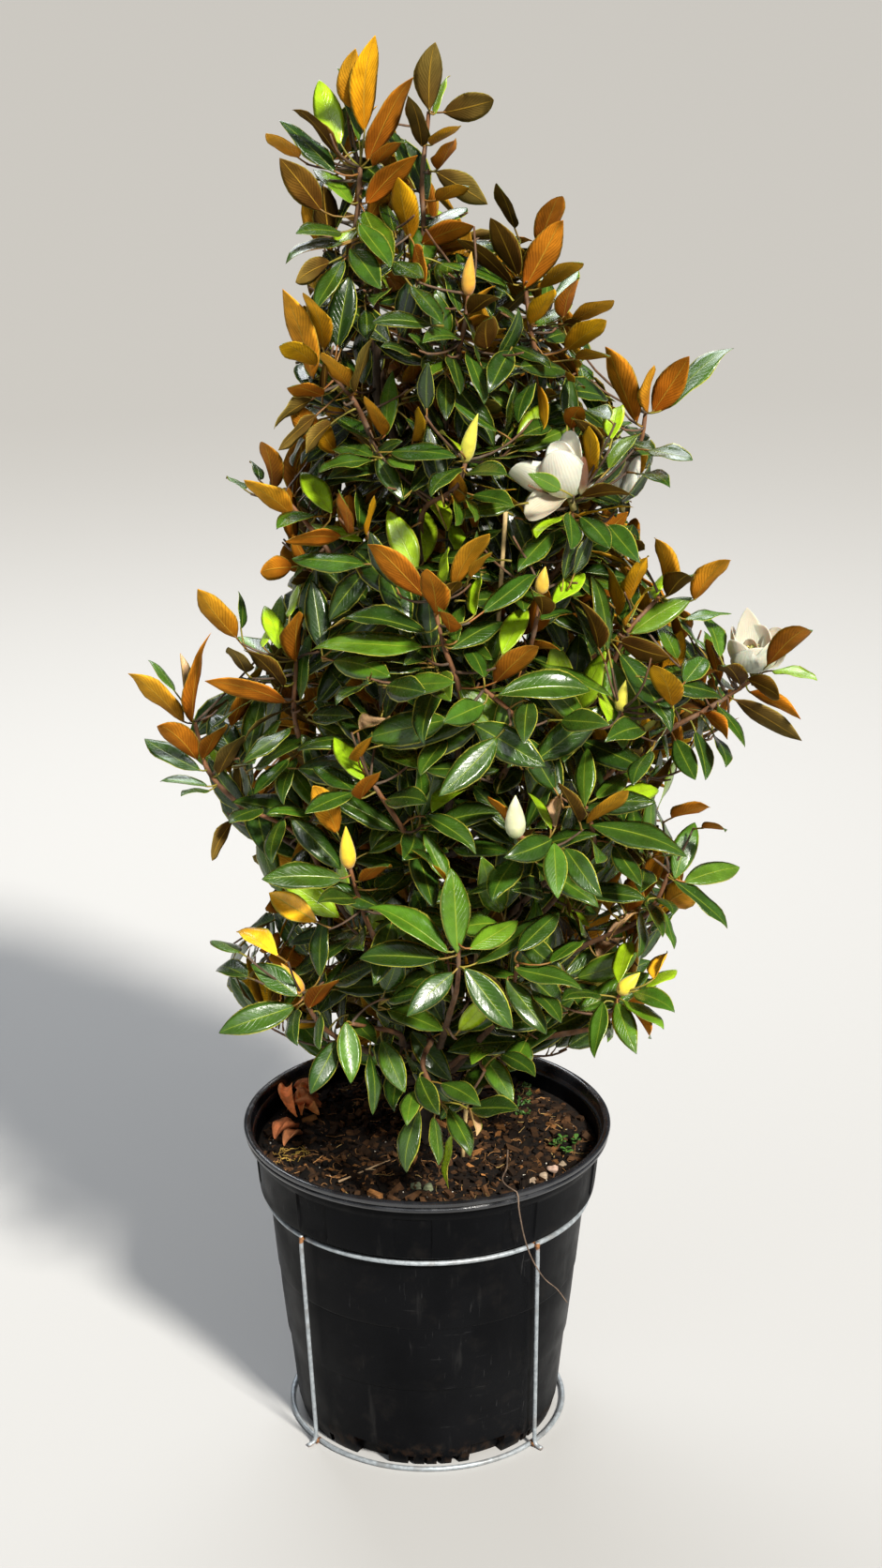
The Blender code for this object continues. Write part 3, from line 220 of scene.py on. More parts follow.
def leaf_top():
    n = Net("leaf_top")
    x, y = n.uv()
    m = n.math("ABSOLUTE", n.math("SUBTRACT", x, 0.5))
    pos = n.coords()
    blot = n.noise(pos, 38.0, 3.0)
    fine = n.noise(pos, 420.0, 2.0)
    mid = n.ramp(m, 0.006, 0.028, 1.0, 0.0)
    halo = n.ramp(m, 0.0, 0.14, 1.0, 0.0)
    edge = n.ramp(m, 0.448, 0.478)
    tipfade = n.ramp(y, 0.0, 0.95, 1.0, 0.55)
    wave = n.math("SINE", n.math("ADD", n.math("MULTIPLY", n.math("SUBTRACT", y, n.math("MULTIPLY", m, 0.55)), 75.0),
                                 n.math("MULTIPLY", blot, 5.0)))
    vein = n.ramp(wave, 0.72, 1.0)
    tone = n.attr("tone")
    shade = n.ramp(blot, 0.30, 0.70, 0.78, 1.28)
    col = n.mix(1.0, tone, shade, "MULTIPLY")
    col = n.mix(n.math("MULTIPLY", vein, 0.14), col, n.mix(1.0, col, (2.2, 1.9, 1.2), "MULTIPLY"))
    col = n.mix(n.math("MULTIPLY", halo, 0.16), col, (0.12, 0.20, 0.012))
    speck = n.ramp(n.noise(pos, 260.0, 1.0), 0.68, 0.78)
    col = n.mix(n.math("MULTIPLY", speck, 0.30), col, (0.20, 0.28, 0.09))
    col = n.mix(n.math("MULTIPLY", mid, n.math("MULTIPLY", tipfade, 0.70)), col, (0.30, 0.38, 0.03))
    col = n.mix(n.math("MULTIPLY", edge, 0.92), col, (0.50, 0.50, 0.06))
    rough = n.ramp(n.noise(pos, 90.0, 2.0), 0.3, 0.7, 0.20, 0.36)
    h = n.math("ADD", n.math("MULTIPLY", vein, -0.35), n.math("MULTIPLY", mid, -1.0))
    h = n.math("ADD", h, n.math("MULTIPLY", fine, 0.25))
    h = n.math("ADD", h, n.math("MULTIPLY", n.noise(pos, 75.0, 2.0), 0.9))
    n.bump(h, 0.35, 0.0016)
    return n.done(Base_Color=col, Roughness=rough, Specular_IOR_Level=0.50, Coat_Weight=0.10, Coat_Roughness=0.12)


def leaf_under():
    n = Net("leaf_under")
    x, y = n.uv()
    m = n.math("ABSOLUTE", n.math("SUBTRACT", x, 0.5))
    pos = n.coords()
    blot = n.noise(pos, 30.0, 3.0)
    fine = n.noise(pos, 600.0, 2.0)
    mid = n.ramp(m, 0.010, 0.036, 1.0, 0.0)
    edge = n.ramp(m, 0.450, 0.482)
    wave = n.math("SINE", n.math("ADD", n.math("MULTIPLY", n.math("SUBTRACT", y, n.math("MULTIPLY", m, 0.75)), 82.0),
                                 n.math("MULTIPLY", blot, 6.0)))
    vein = n.ramp(wave, 0.35, 1.0)
    tone = n.attr("utone")
    shade = n.ramp(blot, 0.30, 0.70, 0.72, 1.30)
    col = n.mix(1.0, tone, shade, "MULTIPLY")
    col = n.mix(1.0, col, n.mix(n.ramp(y, 0.05, 0.80), (0.74, 0.60, 0.50), (1.16, 1.20, 1.15)), "MULTIPLY")
    col = n.mix(n.math("MULTIPLY", vein, 0.50), col, n.mix(1.0, col, (0.50, 0.44, 0.38), "MULTIPLY"))
    col = n.mix(n.math("MULTIPLY", n.ramp(fine, 0.45, 0.75), 0.25), col, n.mix(1.0, col, (1.5, 1.45, 1.4), "MULTIPLY"))
    col = n.mix(n.math("MULTIPLY", mid, 0.60), col, (0.52, 0.30, 0.03))
    col = n.mix(n.math("MULTIPLY", edge, 0.50), col, (0.42, 0.36, 0.05))
    h = n.math("ADD", n.math("MULTIPLY", vein, 0.5), n.math("MULTIPLY", mid, 1.6))
    h = n.math("ADD", h, n.math("MULTIPLY", fine, 0.35))
    n.bump(h, 0.5, 0.0014)
    return n.done(Base_Color=col, Roughness=0.72, Specular_IOR_Level=0.09)


def bark():
    n = Net("stem_bark")
    pos = n.coords()
    tone = n.attr("tone")
    a = n.noise(n.scaled(pos, (1.0, 1.0, 0.35)), 160.0, 4.0)
    b = n.noise(pos, 24.0, 3.0)
    col = n.mix(1.0, tone, n.ramp(a, 0.3, 0.7, 0.65, 1.35), "MULTIPLY")
    col = n.mix(n.math("MULTIPLY", n.ramp(b, 0.5, 0.7), 0.35), col, (0.20, 0.17, 0.13))
    n.bump(a, 0.6, 0.0015)
    return n.done(Base_Color=col, Roughness=0.72)


def smooth_tone(name, rough, sheen=0.0, bump_scale=300.0, bump=0.2, spec=0.4, sss=0.0, vary=0.15):
    """A material whose colour comes from the mesh's tone, mottled."""
    n = Net(name)
    pos = n.coords()
    a = n.noise(pos, 60.0, 3.0)
    fine = n.noise(pos, bump_scale, 3.0)
    col = n.mix(1.0, n.attr("tone"), n.ramp(a, 0.3, 0.7, 1.0 - vary, 1.0 + vary), "MULTIPLY")
    n.bump(fine, bump, 0.0012)
    kw = dict(Base_Color=col, Roughness=rough, Specular_IOR_Level=spec)
    if sheen:
        kw["Sheen_Weight"] = sheen
    if sss:
        kw["Subsurface_Weight"] = sss
        kw["Subsurface_Scale"] = 0.006
    return n.done(**kw)


def petal_mat():
    n = Net("petal")
    x, y = n.uv()
    pos = n.coords()
    m = n.math("ABSOLUTE", n.math("SUBTRACT", x, 0.5))
    a = n.noise(pos, 55.0, 3.0)
    streak = n.math("SINE", n.math("ADD", n.math("MULTIPLY", x, 95.0), n.math("MULTIPLY", a, 7.0)))
    tone = n.attr("tone")
    col = n.mix(1.0, tone, n.ramp(a, 0.3, 0.7, 0.93, 1.06), "MULTIPLY")
    col = n.mix(n.math("MULTIPLY", n.ramp(y, 0.0, 0.35, 1.0, 0.0), 0.45), col, (0.62, 0.60, 0.30))
    col = n.mix(n.math("MULTIPLY", n.ramp(streak, 0.3, 1.0), 0.07), col, (0.70, 0.62, 0.42))
    h = n.math("ADD", n.math("MULTIPLY", streak, 0.25), n.noise(pos, 180.0, 2.0))
    n.bump(h, 0.25, 0.0012)
    return n.done(Base_Color=col, Roughness=0.48, Specular_IOR_Level=0.4, Subsurface_Weight=0.22, Subsurface_Scale=0.008)


def pot_mat(name="nursery_pot_plastic", rim=False):
    n = Net(name)
    pos = n.coords()
    sep = n.node("ShaderNodeSeparateXYZ")
    n.put(sep, "0", pos)
    z = sep.outputs[2]
    big = n.noise(pos, 7.0, 4.0)
    dust = n.noise(pos, 26.0, 5.0, 0.62)
    scr = n.noise(n.scaled(pos, (1.0, 1.0, 0.06)), 240.0, 3.0)
    scr2 = n.noise(n.scaled(pos, (0.08, 0.08, 1.0)), 210.0, 3.0)
    drip = n.noise(n.scaled(pos, (1.0, 1.0, 0.10)), 46.0, 4.0)
    col = n.mix(n.ramp(big, 0.35, 0.7), (0.0018, 0.0020, 0.0026), (0.0040, 0.0043, 0.0052))
    low = n.ramp(z, 0.0, 0.10, 1.0, 0.25)
    d = n.math("MULTIPLY", n.ramp(dust, 0.52, 0.74), low)
    col = n.mix(n.math("MULTIPLY", d, 0.20), col, (0.075, 0.064, 0.052))
    foot = n.math("MULTIPLY", n.ramp(z, 0.012, 0.045, 1.0, 0.0), n.ramp(n.noise(pos, 70.0, 4.0), 0.46, 0.66))
    col = n.mix(n.math("MULTIPLY", foot, 0.20), col, (0.10, 0.055, 0.030))
    col = n.mix(n.math("MULTIPLY", n.ramp(drip, 0.60, 0.74), 0.12), col, (0.075, 0.073, 0.070))
    s = n.math("MULTIPLY", n.ramp(scr, 0.66, 0.72), n.ramp(big, 0.45, 0.60))
    s2 = n.math("MULTIPLY", n.ramp(scr2, 0.67, 0.72), n.ramp(big, 0.50, 0.62))
    col = n.mix(n.math("MULTIPLY", n.math("ADD", s, s2, True), 0.11), col, (0.14, 0.14, 0.14))
    # painted highlight: a lighter blue-grey band on the rolled rim, broken up by noise, stands in for the rim's sheen
    rim_painted_sheen = n.math("MULTIPLY", n.ramp(z, 0.4300, 0.4420), n.ramp(dust, 0.30, 0.60, 0.35, 1.0))
    col = n.mix(n.math("MULTIPLY", rim_painted_sheen, 0.50), col, (0.024, 0.027, 0.034))
    rough = n.math("SUBTRACT", n.ramp(n.noise(pos, 14.0, 4.0), 0.3, 0.7, 0.34, 0.56), n.math("MULTIPLY", rim_painted_sheen, 0.16))
    h = n.math("ADD", n.math("MULTIPLY", n.noise(pos, 500.0, 2.0), 0.35), n.math("MULTIPLY", n.noise(pos, 11.0, 2.0), 1.6))
    h = n.math("SUBTRACT", h, n.math("MULTIPLY", s, 0.3))
    n.bump(h, 0.10 if rim else 0.32, 0.0018)
    if rim:
        rough = n.ramp(dust, 0.35, 0.68, 0.14, 0.34)
        return n.done(Base_Color=col, Roughness=rough, Specular_IOR_Level=1.0)
    return n.done(Base_Color=col, Roughness=rough, Specular_IOR_Level=0.06)


def wire_mat():
    n = Net("galvanised_wire")
    pos = n.coords()
    a = n.noise(pos, 130.0, 4.0, 0.6)
    b = n.noise(pos, 34.0, 3.0)
    sep = n.node("ShaderNodeSeparateColor")
    n.put(sep, "Color", n.attr("tone"))
    rust = n.ramp(n.math("ADD", sep.outputs[0], n.math("MULTIPLY", n.math("SUBTRACT", a, 0.5), 1.1)), 0.42, 0.62)
    col = n.mix(n.ramp(a, 0.35, 0.65), (0.28, 0.315, 0.34), (0.41, 0.45, 0.48))
    col = n.mix(n.math("MULTIPLY", n.ramp(b, 0.52, 0.66), 0.5), col, (0.22, 0.21, 0.20))
    col = n.mix(rust, col, n.mix(n.ramp(a, 0.4, 0.6), (0.11, 0.045, 0.018), (0.26, 0.115, 0.040)))
    rough = n.math("ADD", n.ramp(a, 0.3, 0.7, 0.40, 0.56), n.math("MULTIPLY", rust, 0.35), True)
    metal = n.math("SUBTRACT", 0.40, n.math("MULTIPLY", rust, 0.4), True)
    n.bump(a, 0.5, 0.0006)
    return n.done(Base_Color=col, Roughness=rough, Metallic=metal)


def soil_mat():
    n = Net("potting_mix")
    pos = n.coords()
    a = n.noise(pos, 95.0, 5.0, 0.65)
    b = n.noise(pos, 330.0, 4.0, 0.6)
    c = n.noise(pos, 18.0, 3.0)
    col = n.mix(n.ramp(a, 0.35, 0.68), (0.0028, 0.0020, 0.0015), (0.0125, 0.0070, 0.0038))
    col = n.mix(n.math("MULTIPLY", n.ramp(b, 0.60, 0.72), 0.40), col, (0.11, 0.050, 0.020))
    col = n.mix(n.math("MULTIPLY", n.ramp(c, 0.50, 0.70), 0.35), col, (0.012, 0.009, 0.007))
    n.bump(n.math("ADD", a, n.math("MULTIPLY", b, 0.6)), 0.9, 0.004)
    return n.done(Base_Color=col, Roughness=0.93, Specular_IOR_Level=0.25)


MAT = {
    "top": leaf_top(), "under": leaf_under(), "bark": bark(),
    "stalk": smooth_tone("leaf_stalk", 0.5, bump=0.15),
    "bud": smooth_tone("flower_bud", 0.45, sheen=0.25, bump_scale=160.0, bump=0.3, sss=0.1, vary=0.2),
    "petal": petal_mat(),
    "stamen": smooth_tone("stamens", 0.7, bump=0.5, vary=0.35),
    "pot": pot_mat(), "wire": wire_mat(), "soil": soil_mat(),
    "chip": smooth_tone("bark_chips", 0.9, bump_scale=420.0, bump=0.6, spec=0.2, vary=0.45),
    "dead": smooth_tone("dry_leaf", 0.75, bump_scale=240.0, bump=0.5, spec=0.25, vary=0.35),
    "stone": smooth_tone("pebbles", 0.85, bump_scale=260.0, bump=0.6, spec=0.3, vary=0.4),
    "weed": smooth_tone("weed", 0.55, bump=0.3, vary=0.35),
    "cane": smooth_tone("cane", 0.5, bump_scale=500.0, bump=0.25, vary=0.25),
}


# ------------------------------------------------------------------ mesh bags
class Bag:
    """Collects vertices, faces (four corners, the last -1 for a triangle), colours and UVs of one piece."""

    def __init__(self):
        self.v, self.f, self.m, self.uv, self.c, self.u = [], [], [], [], [], []
        self.n = 0

    def add(self, v, f, m, uv=None, c=(1, 1, 1), u=(1, 1, 1)):
        v = np.asarray(v, dtype=np.float64)
        f = np.asarray(f, dtype=np.int64)
        k = len(v)
        self.v.append(v)
        self.f.append(np.where(f >= 0, f + self.n, -1))
        self.m.append(np.broadcast_to(np.asarray(m, dtype=np.int64), (len(f),)))
        self.uv.append(np.zeros((k, 2)) + 0.3 if uv is None else np.asarray(uv))
        self.c.append(np.broadcast_to(np.asarray(c, dtype=np.float64), (k, 3)))
        self.u.append(np.broadcast_to(np.asarray(u, dtype=np.float64), (k, 3)))
        self.n += k

    def make(self, name, mats, smooth=True, sharp=None):
        v, f = np.concatenate(self.v), np.concatenate(self.f)
        m, uv = np.concatenate(self.m), np.concatenate(self.uv)
        c, u = np.concatenate(self.c), np.concatenate(self.u)
        me = bpy.data.meshes.new(name)
        me.vertices.add(len(v))
        me.vertices.foreach_set("co", v.astype(np.float32).ravel())
        keep = f >= 0
        loops = f[keep]
        total = keep.sum(1)
        start = np.concatenate([[0], np.cumsum(total)[:-1]])
        me.loops.add(len(loops))
        me.loops.foreach_set("vertex_index", loops.astype(np.int32))
        me.polygons.add(len(f))
        me.polygons.foreach_set("loop_start", start.astype(np.int32))
        me.polygons.foreach_set("material_index", m.astype(np.int32))
        me.update(calc_edges=True)
        me.validate()
        layer = me.uv_layers.new(name="UVMap")
        layer.data.foreach_set("uv", uv[loops].astype(np.float32).ravel())
        for label, data in (("tone", c), ("utone", u)):
            at = me.color_attributes.new(name=label, type="FLOAT_COLOR", domain="POINT")
            at.data.foreach_set("color", np.hstack([data, np.ones((len(data), 1))]).astype(np.float32).ravel())
        for k in mats:
            me.materials.append(MAT[k])
        me.polygons.foreach_set("use_smooth", np.full(len(f), smooth))
        if sharp is not None:
            me.set_sharp_from_angle(angle=math.radians(sharp))
        ob = bpy.data.objects.new(name, me)
        scene.collection.objects.link(ob)
        return ob


def place(ob, *nodes, slot=None):
    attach(ob, "root")
    if nodes:
        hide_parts(*nodes)
    return ob


def frames_along(p):
    """Tangents and two side directions along a path, without twist."""
    t = np.gradient(p, axis=0)
    t /= np.linalg.norm(t, axis=1)[:, None] + 1e-12
    side = np.cross(t[0], (0.31, -1.0, 0.17))
    side /= np.linalg.norm(side)
    out = []
    for i in range(len(p)):
        side = side - t[i] * side.dot(t[i])
        side /= np.linalg.norm(side)
        out.append(side.copy())
    s = np.array(out)
    return t, s, np.cross(t, s)


def tube(p, r, sides, lobe=None):
    """Vertices and faces of a closed tube along points p with radii r."""
    p = np.asarray([tuple(q) for q in p], dtype=np.float64)
    r = np.broadcast_to(np.asarray(r, dtype=np.float64), (len(p),))
    t, s, o = frames_along(p)
    a = np.arange(sides) * 2 * np.pi / sides
    k = np.ones(sides) if lobe is None else lobe
    ring = s[:, None, :] * (np.cos(a) * k)[None, :, None] + o[:, None, :] * (np.sin(a) * k)[None, :, None]
    v = (p[:, None, :] + ring * r[:, None, None]).reshape(-1, 3)
    f = []
    n = len(p)
    for i in range(n - 1):
        for j in range(sides):
            j2 = (j + 1) % sides
            f.append((i * sides + j, i * sides + j2, (i + 1) * sides + j2, (i + 1) * sides + j))
    v = np.vstack([v, p[0], p[-1]])
    for j in range(sides):
        j2 = (j + 1) % sides
        f.append((n * sides, j2, j, -1))
        f.append((n * sides + 1, (n - 1) * sides + j, (n - 1) * sides + j2, -1))
    uv = np.zeros((len(v), 2)) + 0.3
    uv[:n * sides, 1] = np.repeat(np.linspace(0, 1, n), sides)
    uv[:n * sides, 0] = np.tile(np.arange(sides) / sides, n)
    return v, np.array(f), uv


def smooth_path(points, count):
    pts = [Vector(p) for p in points]
    n = len(pts)
    gaps = [max((b - a).length, 1e-6) for a, b in zip(pts, pts[1:])]
    slopes = []
    for i in range(n):
        if i == 0:
            slopes.append((pts[1] - pts[0]) / gaps[0])
        elif i == n - 1:
            slopes.append((pts[-1] - pts[-2]) / gaps[-1])
        else:
            g0, g1 = gaps[i - 1], gaps[i]
            slopes.append((((pts[i] - pts[i - 1]) / g0) * g1 + ((pts[i + 1] - pts[i]) / g1) * g0) / (g0 + g1))
    fine = []
    for i in range(n - 1):
        g = gaps[i]
        for k in range(16):
            t = k / 16.0
            fine.append(pts[i] * (2 * t ** 3 - 3 * t * t + 1) + slopes[i] * (g * (t ** 3 - 2 * t * t + t))
                        + pts[i + 1] * (3 * t * t - 2 * t ** 3) + slopes[i + 1] * (g * (t ** 3 - t * t)))
    fine.append(pts[-1])
    arc = [0.0]
    for a, b in zip(fine, fine[1:]):
        arc.append(arc[-1] + (b - a).length)
    wanted = count if hasattr(count, "__len__") else [i / (count - 1) for i in range(count)]
    out, j = [], 0
    for w in wanted:
        s = w * arc[-1]
        while j < len(arc) - 2 and arc[j + 1] < s:
            j += 1
        f = (s - arc[j]) / max(arc[j + 1] - arc[j], 1e-9)
        out.append(fine[j].lerp(fine[j + 1], min(max(f, 0.0), 1.0)))
    return out


# ------------------------------------------------------------------ leaves
def leaf_grid(us, nv):
    """A two-layer leaf: rows along the blade, columns across, one tip."""
    vs = np.linspace(-1, 1, nv)
    per = 2 * nv - 2
    U, V, S = [], [], []
    for u in us:
        for j, v in enumerate(vs):
            U.append(u)
            V.append(v)
            S.append(0.0 if j in (0, nv - 1) else 1.0)
        for j in range(1, nv - 1):
            U.append(u)
            V.append(vs[j])
            S.append(-1.0)
    tip = len(U)
    U.append(1.0)
    V.append(0.0)
    S.append(0.0)
    top = lambda k, j: k * per + j
    bot = lambda k, j: k * per + (j if j in (0, nv - 1) else nv + j - 1)
    f, m = [], []
    n = len(us)
    for k in range(n - 1):
        for j in range(nv - 1):
            f.append((top(k, j), top(k + 1, j), top(k + 1, j + 1), top(k, j + 1)))
            m.append(0)
            f.append((bot(k, j), bot(k, j + 1), bot(k + 1, j + 1), bot(k + 1, j)))
            m.append(1)
    for j in range(nv - 1):
        f.append((top(n - 1, j), tip, top(n - 1, j + 1), -1))
        m.append(0)
        f.append((bot(n - 1, j), bot(n - 1, j + 1), tip, -1))
        m.append(1)
        quad = [top(0, j), top(0, j + 1), bot(0, j + 1), bot(0, j)]
        seen = []
        for q in quad:
            if q not in seen:
                seen.append(q)
        if len(seen) >= 3:
            f.append(tuple(seen + [-1] * (4 - len(seen))))
            m.append(1)
    return np.array(U), np.array(V), np.array(S), np.array(f), np.array(m)


FINE = leaf_grid([0, 0.035, 0.10, 0.19, 0.30, 0.42, 0.54, 0.66, 0.77, 0.86, 0.93, 0.975], 7)
PLAIN = leaf_grid([0, 0.06, 0.18, 0.34, 0.52, 0.70, 0.85, 0.95], 5)


def leaf_points(grid, base, tip, n, half, arch=0.05, fold=0.2, wave=0.06, phase=0.0, twist=0.0, bend=0.0,
                thick=0.0009, curl=0.02, p=0.82, q=0.66, root=0.0014):
    U, V, S = grid[0], grid[1], grid[2]
    d = np.asarray(tip, float) - np.asarray(base, float)
    L = np.linalg.norm(d)
    d /= L
    n = np.asarray(n, float)
    n = n - d * n.dot(d)
    n /= np.linalg.norm(n) + 1e-12
    s = np.cross(n, d)
    peak = (p / (p + q)) ** p * (q / (p + q)) ** q
    prof = (U ** p) * ((1 - U) ** q) / peak
    w = np.maximum(half * prof, np.where(U < 0.1, root, 0.0))
    y = V * w + L * bend * 4 * U * (1 - U)
    z = L * arch * 4 * U * (1 - U) * (1 + 0.5 * (U - 0.5)) - fold * w * V * V
    z += wave * w * V * V * np.sin(2 * np.pi * (1.6 * U + phase) + np.where(V > 0, 1.4, 0.0))
    z -= curl * L * np.clip((U - 0.8) / 0.2, 0, 1) ** 2
    z += S * thick / 2 * np.sqrt(np.clip(1 - V * V, 0, 1))
    a = twist * (U - 0.35)
    y2 = y * np.cos(a) - z * np.sin(a)
    z2 = y * np.sin(a) + z * np.cos(a)
    return (np.asarray(base, float)[None] + d[None] * (U * L)[:, None] + s[None] * y2[:, None] + n[None] * z2[:, None])


def leaf_uv(grid):
    return np.stack([0.5 + 0.5 * grid[1], grid[0]], axis=1)


FINE_UV, PLAIN_UV = leaf_uv(FINE), leaf_uv(PLAIN)

DARK = np.array((0.016, 0.043, 0.0055))
GREEN = np.array((0.056, 0.136, 0.0095))
# new leaves' lime, raised as painted light: the glow of sunlight through the blade
LIME_AND_GLOW = np.array((0.34, 0.56, 0.012))
UNDER_TONES = {
    "U": np.array((0.400, 0.138, 0.0080)), "O": np.array((0.560, 0.255, 0.0140)), "B": np.array((0.105, 0.052, 0.0060)),
    # S: yellow-orange old leaves, their colour raised as painted light against the crown's shadow on them
    "K": np.array((0.140, 0.094, 0.0200)), "Y": np.array((0.560, 0.280, 0.0060)), "S": np.array((0.820, 0.430, 0.0120)),
    "T": np.array((0.560, 0.340, 0.1500)),
}


def vary(c, amount=0.15):
    k = 1 + rnd.uniform(-amount, amount)
    return np.clip(np.array(c) * k * (1 + np.array([rnd.uniform(-1, 1) for _ in range(3)]) * amount * 0.35), 0, 1)


def top_tone(youth):
    """0 an old dark leaf, 1 a new lime one whose colour is brightened as painted light, the glow of sun through the
    blade.
    """
    if youth < 0.35:
        c = DARK + (GREEN - DARK) * (youth / 0.35)
    else:
        c = GREEN + (LIME_AND_GLOW - GREEN) * ((youth - 0.35) / 0.65)
    return vary(c, 0.18)


STALK = np.array((0.24, 0.095, 0.020))
STALK_GREEN = np.array((0.22, 0.21, 0.025))


def stalk_tone():
    f = rnd.random()
    return vary(STALK * f + STALK_GREEN * (1 - f), 0.2)


M_TOP, M_UNDER, M_BARK, M_STALK, M_BUD = range(5)
SHOOT_MATS = ["top", "under", "bark", "stalk", "bud"]


def add_stalk(bag, root, base, d, r=0.00125):
    """A leaf's stalk, curving from the stem into the blade."""
    root, base, d = Vector(root), Vector(base), Vector(d)
    gap = (base - root).length
    if gap > 0.05:
        # a thin side twig carries the leaf
        end = base - d * 0.022
        mid = (root + end) / 2 + Vector((0, 0, -0.12 * gap))
        twig = [root * (1 - t) ** 2 + mid * 2 * t * (1 - t) + end * t * t for t in (0, 0.2, 0.4, 0.6, 0.8, 1.0)]
        v, f, uv = tube(twig, [0.0021, 0.0019, 0.0017, 0.0016, 0.0015, 0.0014], 6)
        c = np.array((0.085, 0.046, 0.022)) * rnd.uniform(0.7, 1.3)
        bag.add(v, f, M_BARK, uv, c)
        root = Vector(twig[-1]) - (Vector(twig[-1]) - Vector(twig[-2])).normalized() * 0.003
        gap = (base - root).length
    mid = base - d * min(gap * 0.55, 0.035)
    mid = mid.lerp((root + base) / 2, 0.35)
    pts = []
    for t in (0.0, 0.3, 0.6, 0.85, 1.0):
        pts.append(root * (1 - t) ** 2 + mid * 2 * t * (1 - t) + (base + d * 0.004 * t) * t * t)
    v, f, uv = tube(pts, [r * 1.35, r * 1.05, r, r, r * 0.8], 5)
    bag.add(v, f, M_STALK, uv, stalk_tone())


def add_leaf(bag, grid, base, tip, n, half, tone, utone, senesce=False, **kw):
    v = leaf_points(grid, base, tip, n, half, **kw)
    bag.add(v, grid[3], grid[4], FINE_UV if grid is FINE else PLAIN_UV, tone, utone)
    return v


def add_bud(bag, base, tip, radius, tone, base_tone, sides=10, spiral=0.0, fat=0.32):
    """A spindle-shaped bud drawn out to a point."""
    base, tip = Vector(base), Vector(tip)
    ts = [0.0, 0.06, 0.16, 0.30, 0.45, 0.60, 0.74, 0.86, 0.95, 1.0]
    prof = [0.30, 0.62, 0.90, 1.0, 0.93, 0.76, 0.54, 0.32, 0.14, 0.03]
    L = (tip - base).length
    ax = (tip - base).normalized()
    side = ax.cross(Vector((0.2, 0.3, 0.9))).normalized()
    pts = [base + (tip - base) * t + side * (L * 0.03 * math.sin(math.pi * t)) for t in ts]
    lobe = 1 + 0.07 * np.cos(np.arange(sides) * 2 * np.pi * 2 / sides)
    v, f, uv = tube(pts, [radius * k for k in prof], sides, lobe)
    n = len(ts)
    c = np.zeros((len(v), 3))
    blend = np.clip(np.repeat(np.array(ts), sides) * 3.2, 0, 1)[:, None]
    c[:n * sides] = np.array(base_tone) * (1 - blend) + np.array(tone) * blend
    c[n * sides] = base_tone
    c[n * sides + 1] = tone
    bag.add(v, f, M_BUD, uv, c)


